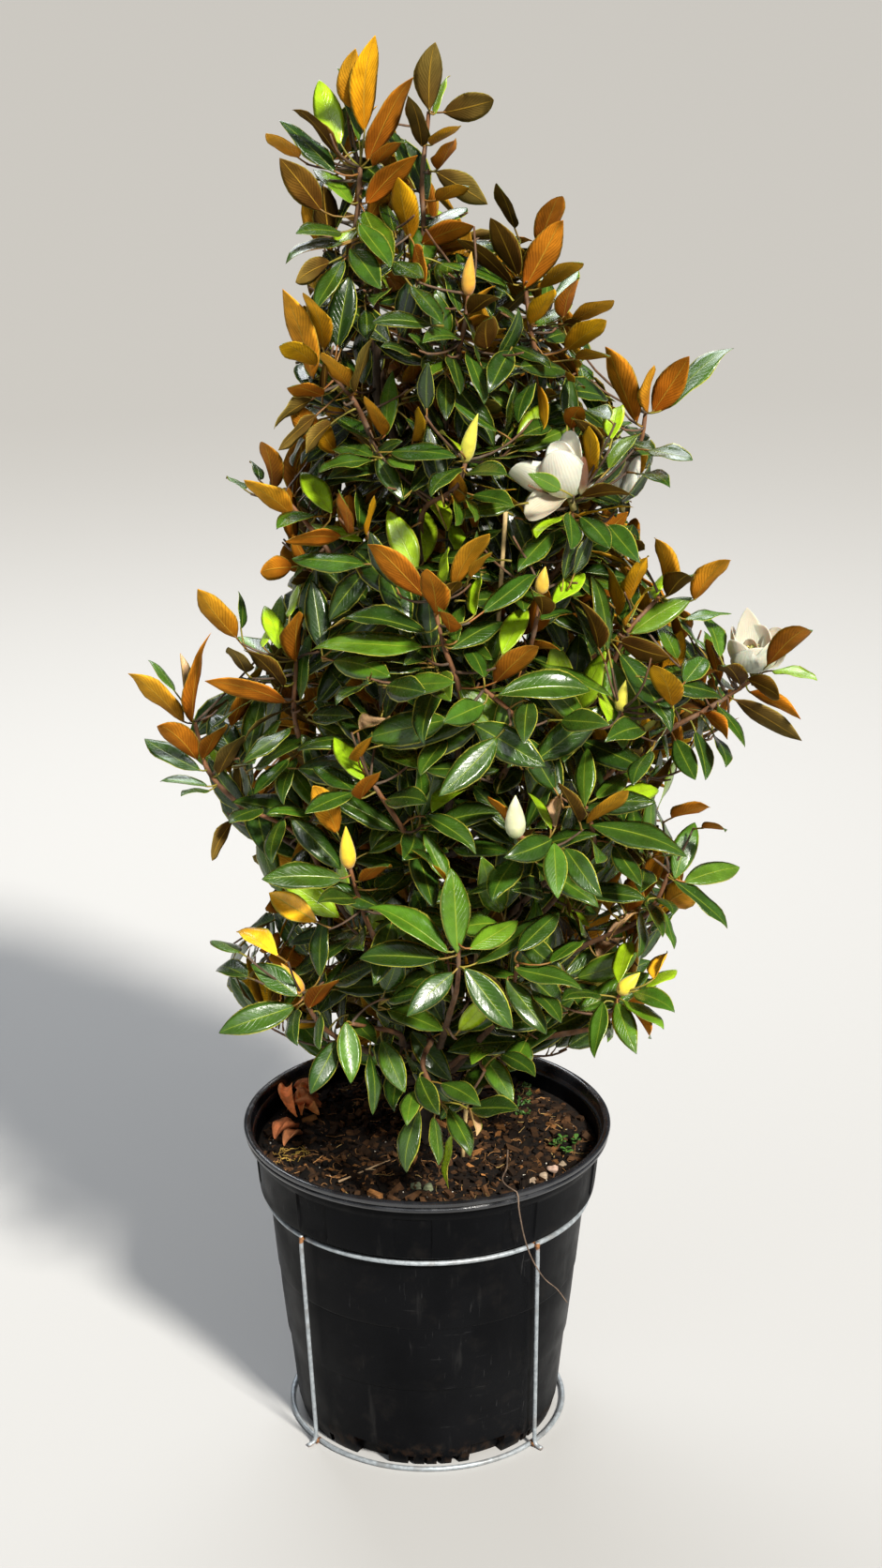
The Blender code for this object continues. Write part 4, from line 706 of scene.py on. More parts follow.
# ------------------------------------------------------------------ readings from the photograph
# Picture readings of the leaves on each shoot: face colour, tip, base, width.
# G g L: upper face seen; U O B K Y S T: under face (or a turned old leaf) seen.
LEAVES = {
    "A": "O379,51>375,115w24 Y400,37>389,140w29 U440,81>392,172w26 L340,85>363,153w33 g361,71>383,150w19 "
         "B314,113>364,172w12 G298,128>358,184w22 O284,141>318,168w17 B298,168>343,225w36 g334,179>375,217w17 "
         "g410,182>387,212w12 U446,166>391,217w27 U433,149>398,178w14",
    "B": "K464,44>458,118w31 K530,106>473,120w35 K436,100>450,156w21 O486,133>460,155w16 U484,149>467,181w18 "
         "K521,218>465,183w28 Y425,189>438,256w28 G498,221>456,242w14 U506,240>450,260w25",
    "C": "G316,248>364,248w16 G304,277>366,259w14 K314,301>352,280w22 G335,328>366,277w24 G418,284>383,238w22 "
         "G407,309>373,265w28 G452,297>421,279w22 U456,302>442,261w18 G398,325>412,311w12",
    "D": "B488,253>547,304w16 B524,230>553,295w26 U598,205>575,260w26 U600,232>559,308w34 O622,278>576,308w18 "
         "g616,287>593,321w16 U617,295>601,339w18 Y589,306>566,346w22 g611,323>572,348w14 O655,320>610,343w18 "
         "Y647,337>603,373w26 O650,379>614,383w12",
    "E": "G471,287>489,333w13 B534,316>500,335w18 G451,364>489,360w17 G492,420>482,377w16 G519,429>498,373w16 "
         "G522,417>545,373w27 G472,344>438,304w18 G553,451>570,404w18",
    "F": "U647,368>679,451w28 O697,390>691,440w12 U728,382>695,440w33 g782,369>710,436w24",
    "FL1": "Y624,449>626,511w25 B615,432>640,480w26 L661,430>653,468w22 G627,437>650,448w16 G739,491>691,480w17 "
           "B679,528>620,530w18 G714,516>680,505w12 L571,570>598,551w12 G610,585>607,547w19 G651,586>619,551w24 "
           "G683,600>649,560w26 G552,608>590,566w24 G548,539>504,528w17",
    "G": "O301,308>334,404w28 Y324,311>345,373w23 Y305,366>339,390w16 O343,376>372,413w20 K394,361>379,418w17 "
         "U307,411>345,422w18 K291,457>333,426w14 K296,480>337,443w16 K326,484>354,451w16 G351,441>394,468w16 "
         "O389,422>408,465w17 g418,394>412,464w20",
    "H": "G340,503>398,491w15 G354,478>398,487w14 G487,487>417,482w20 g447,500>418,486w12 G459,527>492,499w18 "
         "G540,505>497,505w16",
    "I": "U362,522>372,568w14 G379,516>383,566w14 Y398,528>391,571w8 L413,543>444,610w32 L438,545>450,600w14 "
         "L456,528>477,566w18 L486,558>490,597w20 G311,596>390,602w22 U304,577>364,573w18",
    "J": "U281,471>291,522w20 O260,512>312,550w24 g242,508>261,522w8 L321,501>354,547w26 g295,564>337,549w14 "
         "L324,558>387,577w14 U277,610>312,605w26",
    "V": "U393,577>453,636w30 U455,607>465,656w28 B502,626>467,654w18 L478,583>476,619w12 O522,568>484,627w22 "
         "L513,611>507,656w14 G572,609>515,653w24 g494,644>488,684w18 L563,646>536,698w26 G541,661>482,692w24 "
         "U575,685>528,728w26 g330,687>450,690w28 G365,658>455,675w22",
    "W": "B572,632>578,655w20 L624,610>591,644w20 G616,655>576,661w10",
    "X": "G473,770>517,751w30 G630,736>532,741w32 G498,690>516,722w18 G559,794>564,747w26 G649,772>599,768w26",
    "Z": "B612,636>639,692w16 G632,613>649,694w18 B715,701>661,684w24 G646,790>687,776w26 Y690,701>715,751w22 "
         "G753,698>730,728w26",
    "AA": "Y647,598>658,656w13 Y690,590>672,640w20 G681,625>664,667w18 Y696,625>668,667w13 O700,571>713,633w22 "
          "O780,594>741,640w22 L707,613>699,638w14 g739,636>673,676w26 g781,654>730,661w10 g701,666>722,703w17",
    "FL2": "g749,654>768,700w16 U872,676>820,711w20 L872,724>824,715w12 B833,744>797,724w20 B772,708>790,730w22 "
           "U855,767>799,738w16 K856,790>784,746w22 G795,797>766,753w14 U778,788>751,761w15 G776,816>762,784w12 "
           "G753,832>742,780w17 G742,832>720,788w26",
    "K": "O211,627>252,680w28 G254,630>257,671w9 U319,652>316,705w22 L315,625>309,657w12 L283,644>300,694w22 "
         "g254,678>291,705w16 B260,692>302,732w15 U218,726>306,749w22 G331,675>321,747w16 G259,812>310,776w17 "
         "G271,847>308,809w15 G302,858>316,807w17",
    "L": "U225,674>205,770w14 g159,702>187,738w9 O137,716>196,770w22 U167,771>210,810w26 U239,774>216,810w18 "
         "G154,788>214,822w22 g170,831>222,839w9 K260,783>233,826w20",
    "M": "L356,786>387,832w24 G333,816>377,843w20 G325,868>377,845w20 T417,767>384,778w14 G455,855>411,853w24 "
         "G448,826>475,788w22 G509,910>454,870w22 G543,908>482,903w20",
    "N": "G245,876>281,862w15 K226,918>249,874w14 G289,920>302,872w18 G365,926>310,870w28",
    "O": "G279,938>365,937w30 U413,920>385,940w14 G430,925>402,948w20 G340,960>378,958w20 S287,952>338,983w36 "
         "S252,993>296,1019w22",
    "PL": "g227,1001>256,1016w15 G233,1031>264,1042w20 G262,1019>316,1060w25 G233,1101>314,1073w32 "
          "G315,1113>316,1077w17 U360,1045>330,1075w18 G346,977>342,1042w20 G340,1119>342,1080w10 "
          "G402,1113>373,1081w22",
    "P": "g482,925>488,1016w33 g393,965>478,1016w28 G382,1020>469,1023w30 G434,1084>484,1037w34 "
         "G547,1098>496,1033w33 g553,981>501,1012w26 G580,966>503,1027w28",
    "Q": "G622,1052>549,1033w22 G584,1102>540,1044w26 G599,1090>568,1056w17 g620,1002>587,1027w14",
    "R": "G540,914>589,895w32 g595,958>591,899w34 G641,956>603,905w28 T599,845>593,882w17 L564,844>588,884w10 "
         "B597,836>618,876w14",
    "S": "O670,840>626,878w16 G734,913>631,880w30 g626,797>624,860w22 g670,822>637,851w20 G685,945>655,901w22 "
         "g637,920>632,897w12 G675,837>695,801w20",
    "U": "g742,876>720,937w30 g789,925>730,941w25 G778,989>719,939w16 G719,973>705,958w14 G707,1000>690,960w14 "
         "G720,1012>709,973w10 G682,1021>682,971w12 U759,858>717,872w14",
    "T": "L672,1002>660,1048w20 g679,1124>658,1069w32 g633,1128>643,1069w20 G601,1063>641,1061w15 "
         "g719,1077>676,1058w22 g709,1094>665,1067w15 U695,1107>676,1079w12 L721,1032>690,1054w13",
    "LA": "G331,1166>359,1109w26 g375,1155>369,1090w26 G398,1189>394,1122w15 g432,1165>407,1109w26",
    "LB": "G482,1153>438,1099w34 g434,1198>442,1163w22 G468,1188>447,1147w26 G512,1178>470,1155w24 "
          "G432,1250>447,1184w24 G468,1243>463,1191w15 G503,1231>478,1182w22",
    "LC": "G547,1191>501,1184w20 g548,1175>516,1126w30 g503,1135>530,1115w16 G571,1147>535,1124w20",
}

# Each shoot: picture path from its leafy end inwards (column, row, depth), the
# height where it leaves the main stem, and its end bud (tip, base, width).
SHOOTS = {
    "B": ([(457, 124, .030), (450, 202, .022), (452, 245, .020), (438, 330, .012)], 1.42, None),
    "C": ([(386, 246, -.045), (400, 285, -.055), (402, 330, -.040)], 1.47, None),
    "D": ([(560, 300, -.060), (565, 345, -.062), (574, 400, -.055), (545, 470, -.030)], 1.31, None),
    "E": ([(500, 313, -.125), (496, 345, -.125), (490, 372, -.115), (480, 430, -.070)], 1.36,
          (503, 268, 500, 313, 15)),
    "F": ([(688, 445, -.020), (684, 470, -.022), (660, 505, -.020), (585, 600, .000)], 1.10, None),
    "FL1": ([(610, 540, -.168), (611, 562, -.165), (585, 620, -.120)], 1.16, None),
    "G": ([(352, 398, -.105), (376, 425, -.110), (400, 478, -.095), (425, 540, -.050)], 1.24, None),
    "H": ([(497, 491, -.190), (490, 515, -.185), (455, 540, -.150), (450, 590, -.090)], 1.15,
          (510, 441, 497, 491, 16)),
    "I": ([(392, 568, -.150), (412, 610, -.165), (445, 660, -.130)], 1.04, None),
    "J": ([(305, 532, -.060), (345, 580, -.080), (390, 650, -.060)], 1.00, None),
    "V": ([(463, 645, -.245), (474, 690, -.255), (487, 724, -.250), (490, 790, -.170)], 0.90, None),
    "W": ([(578, 631, -.235), (571, 668, -.235), (550, 730, -.160)], 1.00,
          (582, 604, 578, 631, 15)),
    "X": ([(520, 738, -.280), (548, 762, -.270), (535, 830, -.180)], 0.86, None),
    "Z": ([(662, 757, -.190), (668, 780, -.180), (625, 850, -.110)], 0.84,
          (668, 725, 662, 757, 14)),
    "AA": ([(700, 640, -.090), (672, 670, -.110), (640, 740, -.080)], 0.95, None),
    "FL2": ([(806, 722, -.080), (783, 738, -.085), (753, 757, -.090), (707, 782, -.095), (640, 850, -.060)], 0.80,
            None),
    "K": ([(316, 708, -.110), (314, 763, -.120), (355, 850, -.080)], 0.78, None),
    "L": ([(209, 775, -.020), (222, 822, -.030), (255, 858, -.040), (340, 920, -.030)], 0.72, None),
    "M": ([(398, 836, -.245), (418, 866, -.240), (450, 920, -.160)], 0.74, None),
    "N": ([(276, 868, -.150), (303, 880, -.150), (360, 960, -.090)], 0.66, None),
    "O": ([(373, 924, -.235), (384, 962, -.230), (410, 1020, -.150)], 0.62,
          (369, 881, 373, 924, 17)),
    "PL": ([(321, 1058, -.190), (338, 1088, -.180), (390, 1120, -.110)], 0.52,
           (300, 1027, 321, 1058, 16)),
    "P": ([(489, 1010, -.318), (489, 1034, -.305), (480, 1080, -.210)], 0.57, None),
    "Q": ([(552, 1030, -.290), (545, 1062, -.260), (510, 1110, -.160)], 0.54, None),
    "R": ([(551, 891, -.300), (592, 906, -.287), (562, 958, -.185)], 0.675,
          (550, 848, 551, 891, 22)),
    "S": ([(626, 862, -.240), (634, 893, -.235), (600, 950, -.140)], 0.70, None),
    "U": ([(712, 935, -.130), (700, 962, -.130), (620, 1010, -.080)], 0.63, None),
    "T": ([(662, 1058, -.200), (652, 1082, -.185), (570, 1110, -.110)], 0.50,
          (683, 1037, 662, 1058, 17)),
    "LA": ([(378, 1092, -.205), (420, 1100, -.150)], 0.53, None),
    "LB": ([(468, 1172, -.215), (452, 1140, -.220), (460, 1110, -.140)], 0.55, None),
    "LC": ([(516, 1140, -.210), (508, 1125, -.170)], 0.51, None),
}

# Shoots at the sides and the back: direction round the stem (degrees from the
# front, to the right), height where it leaves the stem, reach, rise.
BACK_SHOOTS = {
    "back_1": (178, 1.36, 0.20, 0.20),
    "back_2": (125, 1.18, 0.24, 0.20),
    "back_3": (228, 1.12, 0.26, 0.20),
    "back_4": (173, 0.93, 0.30, 0.19),
    "back_5": (110, 0.80, 0.32, 0.17),
    "back_6": (238, 0.74, 0.33, 0.16),
    "back_7": (188, 0.60, 0.33, 0.10),
    "back_8": (140, 0.54, 0.28, 0.06),
}

# Smaller leaves, read the same way, that the plain model leaves out.
EXTRA = {
    "B": "L478,79>464,122w8 O500,196>466,214w18 B530,195>549,243w16",
    "C": "L385,240>362,262w16",
    "D": "B628,351>600,345w10",
    "E": "B522,335>520,372w26 Y582,459>574,410w11",
    "FL1": "T642,472>624,514w8 g563,505>598,522w21 G665,463>628,512w22 g686,462>650,500w18",
    "G": "G362,369>372,409w14",
    "H": "L473,457>492,480w8 g488,560>484,528w12 g508,556>498,530w10",
    "J": "G268,491>276,512w10",
    "V": "U470,648>480,674w18 O524,587>503,615w10",
    "Z": "L650,768>644,738w14",
    "AA": "B738,612>712,636w24",
    "K": "K245,690>262,717w18 L292,664>280,690w10",
    "L": "T192,696>197,745w8 G193,847>224,843w7",
    "M": "U404,822>385,852w18 O396,784>382,812w14 G556,818>530,846w24",
    "P": "G597,972>553,1014w24",
    "U": "U775,885>749,883w7 T680,971>648,1004w7 T667,1000>638,1021w16",
    "T": "S711,1016>698,1044w14",
    "LB": "L477,1268>483,1209w9 T510,1210>499,1182w6",
}

# The outline in the picture of the dense part of the crown, clockwise from the top;
# single leaves and whole shoots stick out of it.
OUTLINE = [(372, 100), (400, 95), (425, 130), (440, 170), (464, 190), (480, 215), (505, 235), (530, 250), (548, 235),
           (575, 262), (592, 300), (612, 335), (625, 365), (640, 405), (668, 440), (690, 460), (704, 480), (696, 510),
           (680, 545), (684, 585), (702, 612), (735, 650), (768, 690), (792, 735), (792, 768), (762, 792), (738, 815),
           (716, 840), (702, 862), (714, 890), (738, 925), (738, 962), (712, 985), (700, 1012), (702, 1052), (680, 1092),
           (640, 1118), (585, 1132), (560, 1152), (540, 1168), (500, 1192), (472, 1215), (440, 1215), (400, 1170),
           (370, 1142), (330, 1112), (288, 1094), (252, 1076), (244, 1042), (242, 1010), (262, 990), (284, 982), (290, 940), (270, 905), (244, 882),
           (234, 842), (214, 815), (198, 790), (203, 760), (234, 745), (260, 735), (278, 700), (284, 650), (308, 620),
           (308, 590), (284, 560), (279, 530), (299, 500), (314, 470), (310, 430), (318, 400), (318, 370), (310, 345),
           (328, 310), (333, 270), (328, 230), (316, 200), (324, 170), (344, 150), (358, 120)]


def inside_outline(col, row):
    hit = False
    j = len(OUTLINE) - 1
    for i in range(len(OUTLINE)):
        xi, yi = OUTLINE[i]
        xj, yj = OUTLINE[j]
        if (yi > row) != (yj > row) and col < (xj - xi) * (row - yi) / (yj - yi) + xi:
            hit = not hit
        j = i
    return hit


LEAF_RE = re.compile(r"([A-Za-z])(\d+),(\d+)>(\d+),(\d+)w(\d+)")
UNDER = set("UOBKY")


def leaf_from_picture(code, tip, base, width, y, lean=1.0):
    """Base, tip, half width and upward face direction of a leaf that is read from the picture."""
    b = px(base[0], base[1], y)
    k = px_scale(b)
    seen = math.hypot(tip[0] - base[0], tip[1] - base[1]) / k
    true = max(min(max(seen * 1.05, 0.100), 0.150), seen * 1.01)
    if width <= 11:
        true = max(min(true, 0.075), seen * 1.01)
    away = 0.80 * lean * math.sqrt(max(true * true - seen * seen, 0.0))
    rising = tip[1] < base[1]
    sign = 1.0 if (rising and code not in UNDER) else -1.0
    t = px(tip[0], tip[1], y + sign * away)
    d = (t - b).normalized()
    view = VIEW_POS - (t + b) / 2
    n = (view - d * view.dot(d)).normalized()
    full = 0.40 * (t - b).length
    roll = math.acos(min(max(width / k / full, 0.30), 1.0))
    if code in UNDER:
        n = -n
    turns = [Matrix.Rotation(s * roll, 3, d) @ n for s in (-1, 1)]
    n = max(turns, key=lambda q: q.z)
    return b, t, full / 2, n


# ------------------------------------------------------------------ stems
TRUNK_PATH = [Vector((0.0, 0.0, SOIL_Z + SOIL_MOUND + 0.0004)), Vector((0.0, 0.0, 0.450)), Vector((0.004, 0.004, 0.60)),
              Vector((-0.004, 0.000, 0.85)), Vector((0.002, 0.006, 1.10)), Vector((-0.030, 0.004, 1.36)),
              px(392, 330, 0.0), px(378, 262, 0.0), px(383, 212, 0.0), px(384, 178, 0.0)]
trunk_fine = smooth_path(TRUNK_PATH, 160)
TRUNK = np.array([tuple(p) for p in trunk_fine])
TRUNK_S = np.linspace(0, 1, 160)


def trunk_at(z):
    i = int(np.argmin(np.abs(TRUNK[:, 2] - z)))
    s = TRUNK_S[i]
    return Vector(TRUNK[i]), TRUNK_R0 * (1 - s) + 0.0035 * s


def cad_points(node):
    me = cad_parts[node].data
    v = np.empty(len(me.vertices) * 3, dtype=np.float32)
    me.vertices.foreach_get("co", v)
    return v.reshape(-1, 3).astype(np.float64)


def root_of(node):
    """Where this shoot's stem leaves the main stem, from the model itself."""
    v = cad_points(node)
    d2 = ((v[:, None, :] - TRUNK[None, :, :]) ** 2).sum(2)
    d = np.sqrt(d2.min(1))
    near = v[d < d.min() + 0.004]
    near = np.unique(np.round(near, 5), axis=0)
    return Vector(near.mean(0))


bags, stems = {}, {}
trunk_bag = Bag()
bags["main_stem"] = trunk_bag


def stem_tone(s, thick):
    """Grey-brown wood where it is thick, orange-brown where it is young."""
    old = np.array((0.070, 0.052, 0.036))
    mid = np.array((0.070, 0.044, 0.024))
    new = np.array((0.17, 0.066, 0.020))
    s = np.clip(s, 0, 1)[:, None]
    c = np.where(s < 0.5, old + (mid - old) * s * 2, mid + (new - mid) * (s - 0.5) * 2)
    return c


def add_stem(bag, pts, r, sides=8, s=None, wob=0.08):
    pts = np.array([tuple(p) for p in pts])
    r = np.asarray(r) * (1 + wob * np.sin(np.arange(len(pts)) * 1.7) + rng.uniform(-wob, wob, len(pts)))
    v, f, uv = tube(pts, r, sides)
    s = np.linspace(0, 1, len(pts)) if s is None else s
    c = np.vstack([np.repeat(stem_tone(s, 0), sides, axis=0), stem_tone(s[:1], 0), stem_tone(s[-1:], 0)])
    bag.add(v, f, M_BARK, uv, c)


trunk_r = TRUNK_R0 * (1 - TRUNK_S) + 0.0035 * TRUNK_S
flare = 1 + 0.55 * np.exp(-(TRUNK[:, 2] - TRUNK[0, 2]) / 0.012)
down = TRUNK.copy()
down[0, 2] -= 0.010
add_stem(trunk_bag, down, trunk_r * flare * 0.97, 12, TRUNK_S * 0.75, 0.05)
stems["main_stem"] = (TRUNK[90:], TRUNK_S[90:])

leads = {}
for key, (path, z, bud) in SHOOTS.items():
    name = "shoot_" + key
    root = root_of(name)
    centre, radius = trunk_at(root.z)
    out = Vector((root.x - centre.x, root.y - centre.y, 0.0)).normalized()
    line = [px(c, r, y) for c, r, y in path]
    pts = smooth_path([root - out * 0.006, root + out * 0.014] + line[::-1], 40)
    if not bud:
        pts.append(pts[-1] + (pts[-1] - pts[-2]).normalized() * 0.006)
    s = np.linspace(0, 1, len(pts))
    bag = bags[name] = Bag()
    add_stem(bag, pts, 0.0060 * (1 - s) + 0.0026 * s, 8, 0.25 + 0.75 * s)
    stems[name] = (np.array([tuple(p) for p in pts]), s)
    leads[name] = (Vector(pts[-1]), (Vector(pts[-1]) - Vector(pts[-4])).normalized())

for key, (az, z, reach, rise) in BACK_SHOOTS.items():
    name = "shoot_" + key
    root = root_of(name)
    c, _ = trunk_at(z)
    a = math.radians(az)
    out = Vector((math.sin(a), -math.cos(a), 0))
    c0, _ = trunk_at(root.z)
    rout = Vector((root.x - c0.x, root.y - c0.y, 0.0)).normalized()
    line = [c + out * reach + Vector((0, 0, rise)), c + out * reach * 0.72 + Vector((0, 0, rise * 0.55)),
            c + out * reach * 0.35 + Vector((0, 0, rise * 0.24))]
    pts = smooth_path([root - rout * 0.006, root + rout * 0.014] + line[::-1], 40)
    s = np.linspace(0, 1, len(pts))
    bag = bags[name] = Bag()
    add_stem(bag, pts, 0.0060 * (1 - s) + 0.0026 * s, 8, 0.25 + 0.75 * s)
    stems[name] = (np.array([tuple(p) for p in pts]), s)
    leads[name] = (Vector(pts[-1]), (Vector(pts[-1]) - Vector(pts[-4])).normalized())

# ------------------------------------------------------------------ keeping leaves apart
from mathutils.bvhtree import BVHTree

CU = [0.04, 0.26, 0.50, 0.76]
COARSE_U = np.array([u for u in CU for _ in range(3)] + [1.0])
COARSE_V = np.array([-1, 0, 1] * 4 + [0.0])
COARSE = (COARSE_U, COARSE_V, np.zeros(13))
COARSE_F = []
for k in range(3):
    for j in range(2):
        a = k * 3 + j
        COARSE_F += [(a, a + 3, a + 4), (a, a + 4, a + 1)]
COARSE_F += [(9, 12, 10), (10, 12, 11)]

CELL = 0.07
grid_cells = {}
leaf_count = {"hero": 0, "fill": 0}


def cells_of(lo, hi):
    a = np.floor(lo / CELL).astype(int)
    b = np.floor(hi / CELL).astype(int)
    for i in range(a[0], b[0] + 1):
        for j in range(a[1], b[1] + 1):
            for k in range(a[2], b[2] + 1):
                yield (i, j, k)


def register(v, faces=COARSE_F):
    tree = BVHTree.FromPolygons(v.tolist(), faces)
    lo, hi = v.min(0), v.max(0)
    item = (tree, lo, hi)
    for c in cells_of(lo, hi):
        grid_cells.setdefault(c, []).append(item)


def blocked(v, faces=COARSE_F):
    lo, hi = v.min(0), v.max(0)
    tree = BVHTree.FromPolygons(v.tolist(), faces)
    seen = set()
    for c in cells_of(lo, hi):
        for item in grid_cells.get(c, ()):
            if id(item) in seen:
                continue
            seen.add(id(item))
            if (item[1] > hi).any() or (item[2] < lo).any():
                continue
            if tree.overlap(item[0]):
                return True
    return False


# nearest leaf at each small square of the picture
SQ = 4
NEAR = np.full((420, 240), 1e9)
cam_pos = np.array(VIEW_POS)
fwd, upv = np.array(FWD), np.array(UPV)


def project(v):
    rel = v - cam_pos
    d = rel @ fwd
    k = VIEW_F / d
    return VIEW_C[0] + rel[:, 0] * k, VIEW_C[1] - (rel @ upv) * k, d


def stamp(v):
    """Mark the squares that a leaf's fine grid covers."""
    n = 7
    rows = (len(v) - 1) // 12
    top = v[:-1].reshape(12, rows, 3)[:, :n]
    pts = [top.reshape(-1, 3)]
    for f in (0.25, 0.5, 0.75):
        pts.append((top[:-1] * (1 - f) + top[1:] * f).reshape(-1, 3))
    mids = (top[:, :-1] + top[:, 1:]) / 2
    pts.append(mids.reshape(-1, 3))
    for f in (0.25, 0.5, 0.75):
        pts.append((mids[:-1] * (1 - f) + mids[1:] * f).reshape(-1, 3))
    c, r, d = project(np.concatenate(pts))
    ci, ri = (c / SQ).astype(int), (r / SQ).astype(int)
    ok = (ci >= 0) & (ci < 240) & (ri >= 0) & (ri < 420)
    np.minimum.at(NEAR, (ri[ok], ci[ok]), d[ok])


SEEN = np.zeros((420, 240), bool)


def mark(v, rows, n):
    """Note every square of the picture that this leaf covers."""
    top = v[:-1].reshape(rows, 2 * n - 2, 3)[:, :n]
    out = []
    for fu in (0.0, 0.25, 0.5, 0.75):
        a = top[:-1] * (1 - fu) + top[1:] * fu
        for fv in (0.0, 0.34, 0.67):
            out.append((a[:, :-1] * (1 - fv) + a[:, 1:] * fv).reshape(-1, 3))
    c, r, _ = project(np.concatenate(out))
    ci, ri = np.clip((c / SQ).astype(int), 0, 239), np.clip((r / SQ).astype(int), 0, 419)
    SEEN[ri, ci] = True


def samples(v):
    """More points over a coarse leaf."""
    out = [v]
    for a, b, c in COARSE_F:
        out.append(((v[a] + v[b] + v[c]) / 3)[None])
    return np.vstack(out)


LO = np.array(CAD_BOX[0]) - (np.array(CAD_BOX[1]) - np.array(CAD_BOX[0])) * 0.02 - 0.004
HI = np.array(CAD_BOX[1]) + (np.array(CAD_BOX[1]) - np.array(CAD_BOX[0])) * 0.02 + 0.004


def within(v):
    return (v > LO).all() and (v < HI).all()


def leaf_look(code, z=1.0):
    """Upper colour and lower colour of a leaf by its letter."""
    youth = {"G": 0.10, "g": 0.36, "L": 0.92, "T": 0.3, "S": 0.8}.get(code, 0.14)
    top = top_tone(min(max(youth + rnd.uniform(-0.08, 0.08), 0.0), 1.0))
    if code in UNDER_TONES:
        under = vary(UNDER_TONES[code], 0.14)
    elif code == "L":
        under = vary((0.30, 0.27, 0.05), 0.2)
    else:
        under = vary(UNDER_TONES[rnd.choice("UUBKY")], 0.2)
    if code == "T":
        top = vary((0.50, 0.32, 0.17), 0.12)
    # yellow-orange old leaves, their colour raised as painted light against the crown's shadow on them
    if code == "S":
        top = vary((0.95, 0.50, 0.020), 0.10)
        under = vary((0.95, 0.48, 0.025), 0.10)
    return top, under


def inner_shade(p):
    """Painted shade: leaves near the main stem are made darker, as in the shade inside the crown, and leaves high in
    the crown are made darker as well.
    """
    c, _ = trunk_at(p.z)
    _, row = to_px(p)
    left, right = row_extent(row)
    half = max((right - left) / 2 / 790.0, 0.05)
    f = math.hypot(p.x - c.x, p.y - c.y) / half
    return (0.36 + 0.64 * min(max((f - 0.25) / 0.65, 0.0), 1.0)) * (1.0 - 0.30 * min(max((p.z - 1.10) / 0.25, 0.0), 1.0))


def shape_of(length, hero=True):
    a = dict(arch=rnd.uniform(0.0, 0.07), fold=rnd.uniform(-0.34, 0.16), wave=rnd.uniform(0.04, 0.16),
             phase=rnd.random(), twist=rnd.uniform(-0.35, 0.35), bend=rnd.uniform(-0.035, 0.035),
             curl=rnd.uniform(-0.01, 0.07), p=rnd.uniform(0.78, 0.95), q=rnd.uniform(0.86, 1.06))
    return a


# ------------------------------------------------------------------ flowers and buds
def petal_points(grid, base, axis, radial, length, width, th0, th1, cup, thick=0.0011, tipcurl=0.0, off=0.0, roll=0.0,
                 ruffle=0.05, phase=0.0, p=0.44, q=0.44):
    """A cupped petal: it leaves the axis at angle th0 and ends at angle th1 from it."""
    U, V, S = grid[0], grid[1], grid[2]
    axis, radial = np.array(axis), np.array(radial)
    tang = np.cross(axis, radial)
    steps = 60
    us = np.linspace(0, 1, steps)
    th = th0 + (th1 - th0) * us ** 0.8 + tipcurl * np.clip((us - 0.72) / 0.28, 0, 1) ** 1.5
    xr = np.concatenate([[0], np.cumsum(np.sin(th[:-1]))]) / (steps - 1) * length
    za = np.concatenate([[0], np.cumsum(np.cos(th[:-1]))]) / (steps - 1) * length
    x, z, t = np.interp(U, us, xr), np.interp(U, us, za), np.interp(U, us, th)
    peak = (p / (p + q)) ** p * (q / (p + q)) ** q
    w = width / 2 * (np.clip(U, 0.012, 1) ** p) * ((1 - U) ** q) / peak
    w = np.maximum(w, np.where(U < 0.15, width * 0.10, 0))
    y = V * w
    rho = width * cup
    ang = y / rho
    side = rho * np.sin(ang)
    inward = rho * (1 - np.cos(ang)) + ruffle * w * V * V * np.sin(6.3 * (1.3 * U + phase) + np.where(V > 0, 2.0, 0.0))
    nr = np.cos(t)[:, None] * radial[None] - np.sin(t)[:, None] * axis[None]
    ease = (np.clip(U / 0.35, 0, 1) * roll)[:, None]
    across = tang[None] * np.cos(ease) + nr * np.sin(ease)
    nr = nr * np.cos(ease) - tang[None] * np.sin(ease)
    pos = np.array(base)[None] + radial[None] * (x + off)[:, None] + axis[None] * z[:, None] + across * side[:, None]
    return pos - nr * (inward - S * thick / 2 * np.sqrt(np.clip(1 - V * V, 0, 1)))[:, None]


PETAL = leaf_grid([0, 0.05, 0.13, 0.23, 0.34, 0.46, 0.58, 0.70, 0.80, 0.88, 0.94, 0.98], 9)
PETAL_UV = leaf_uv(PETAL)
flower_blocks = []


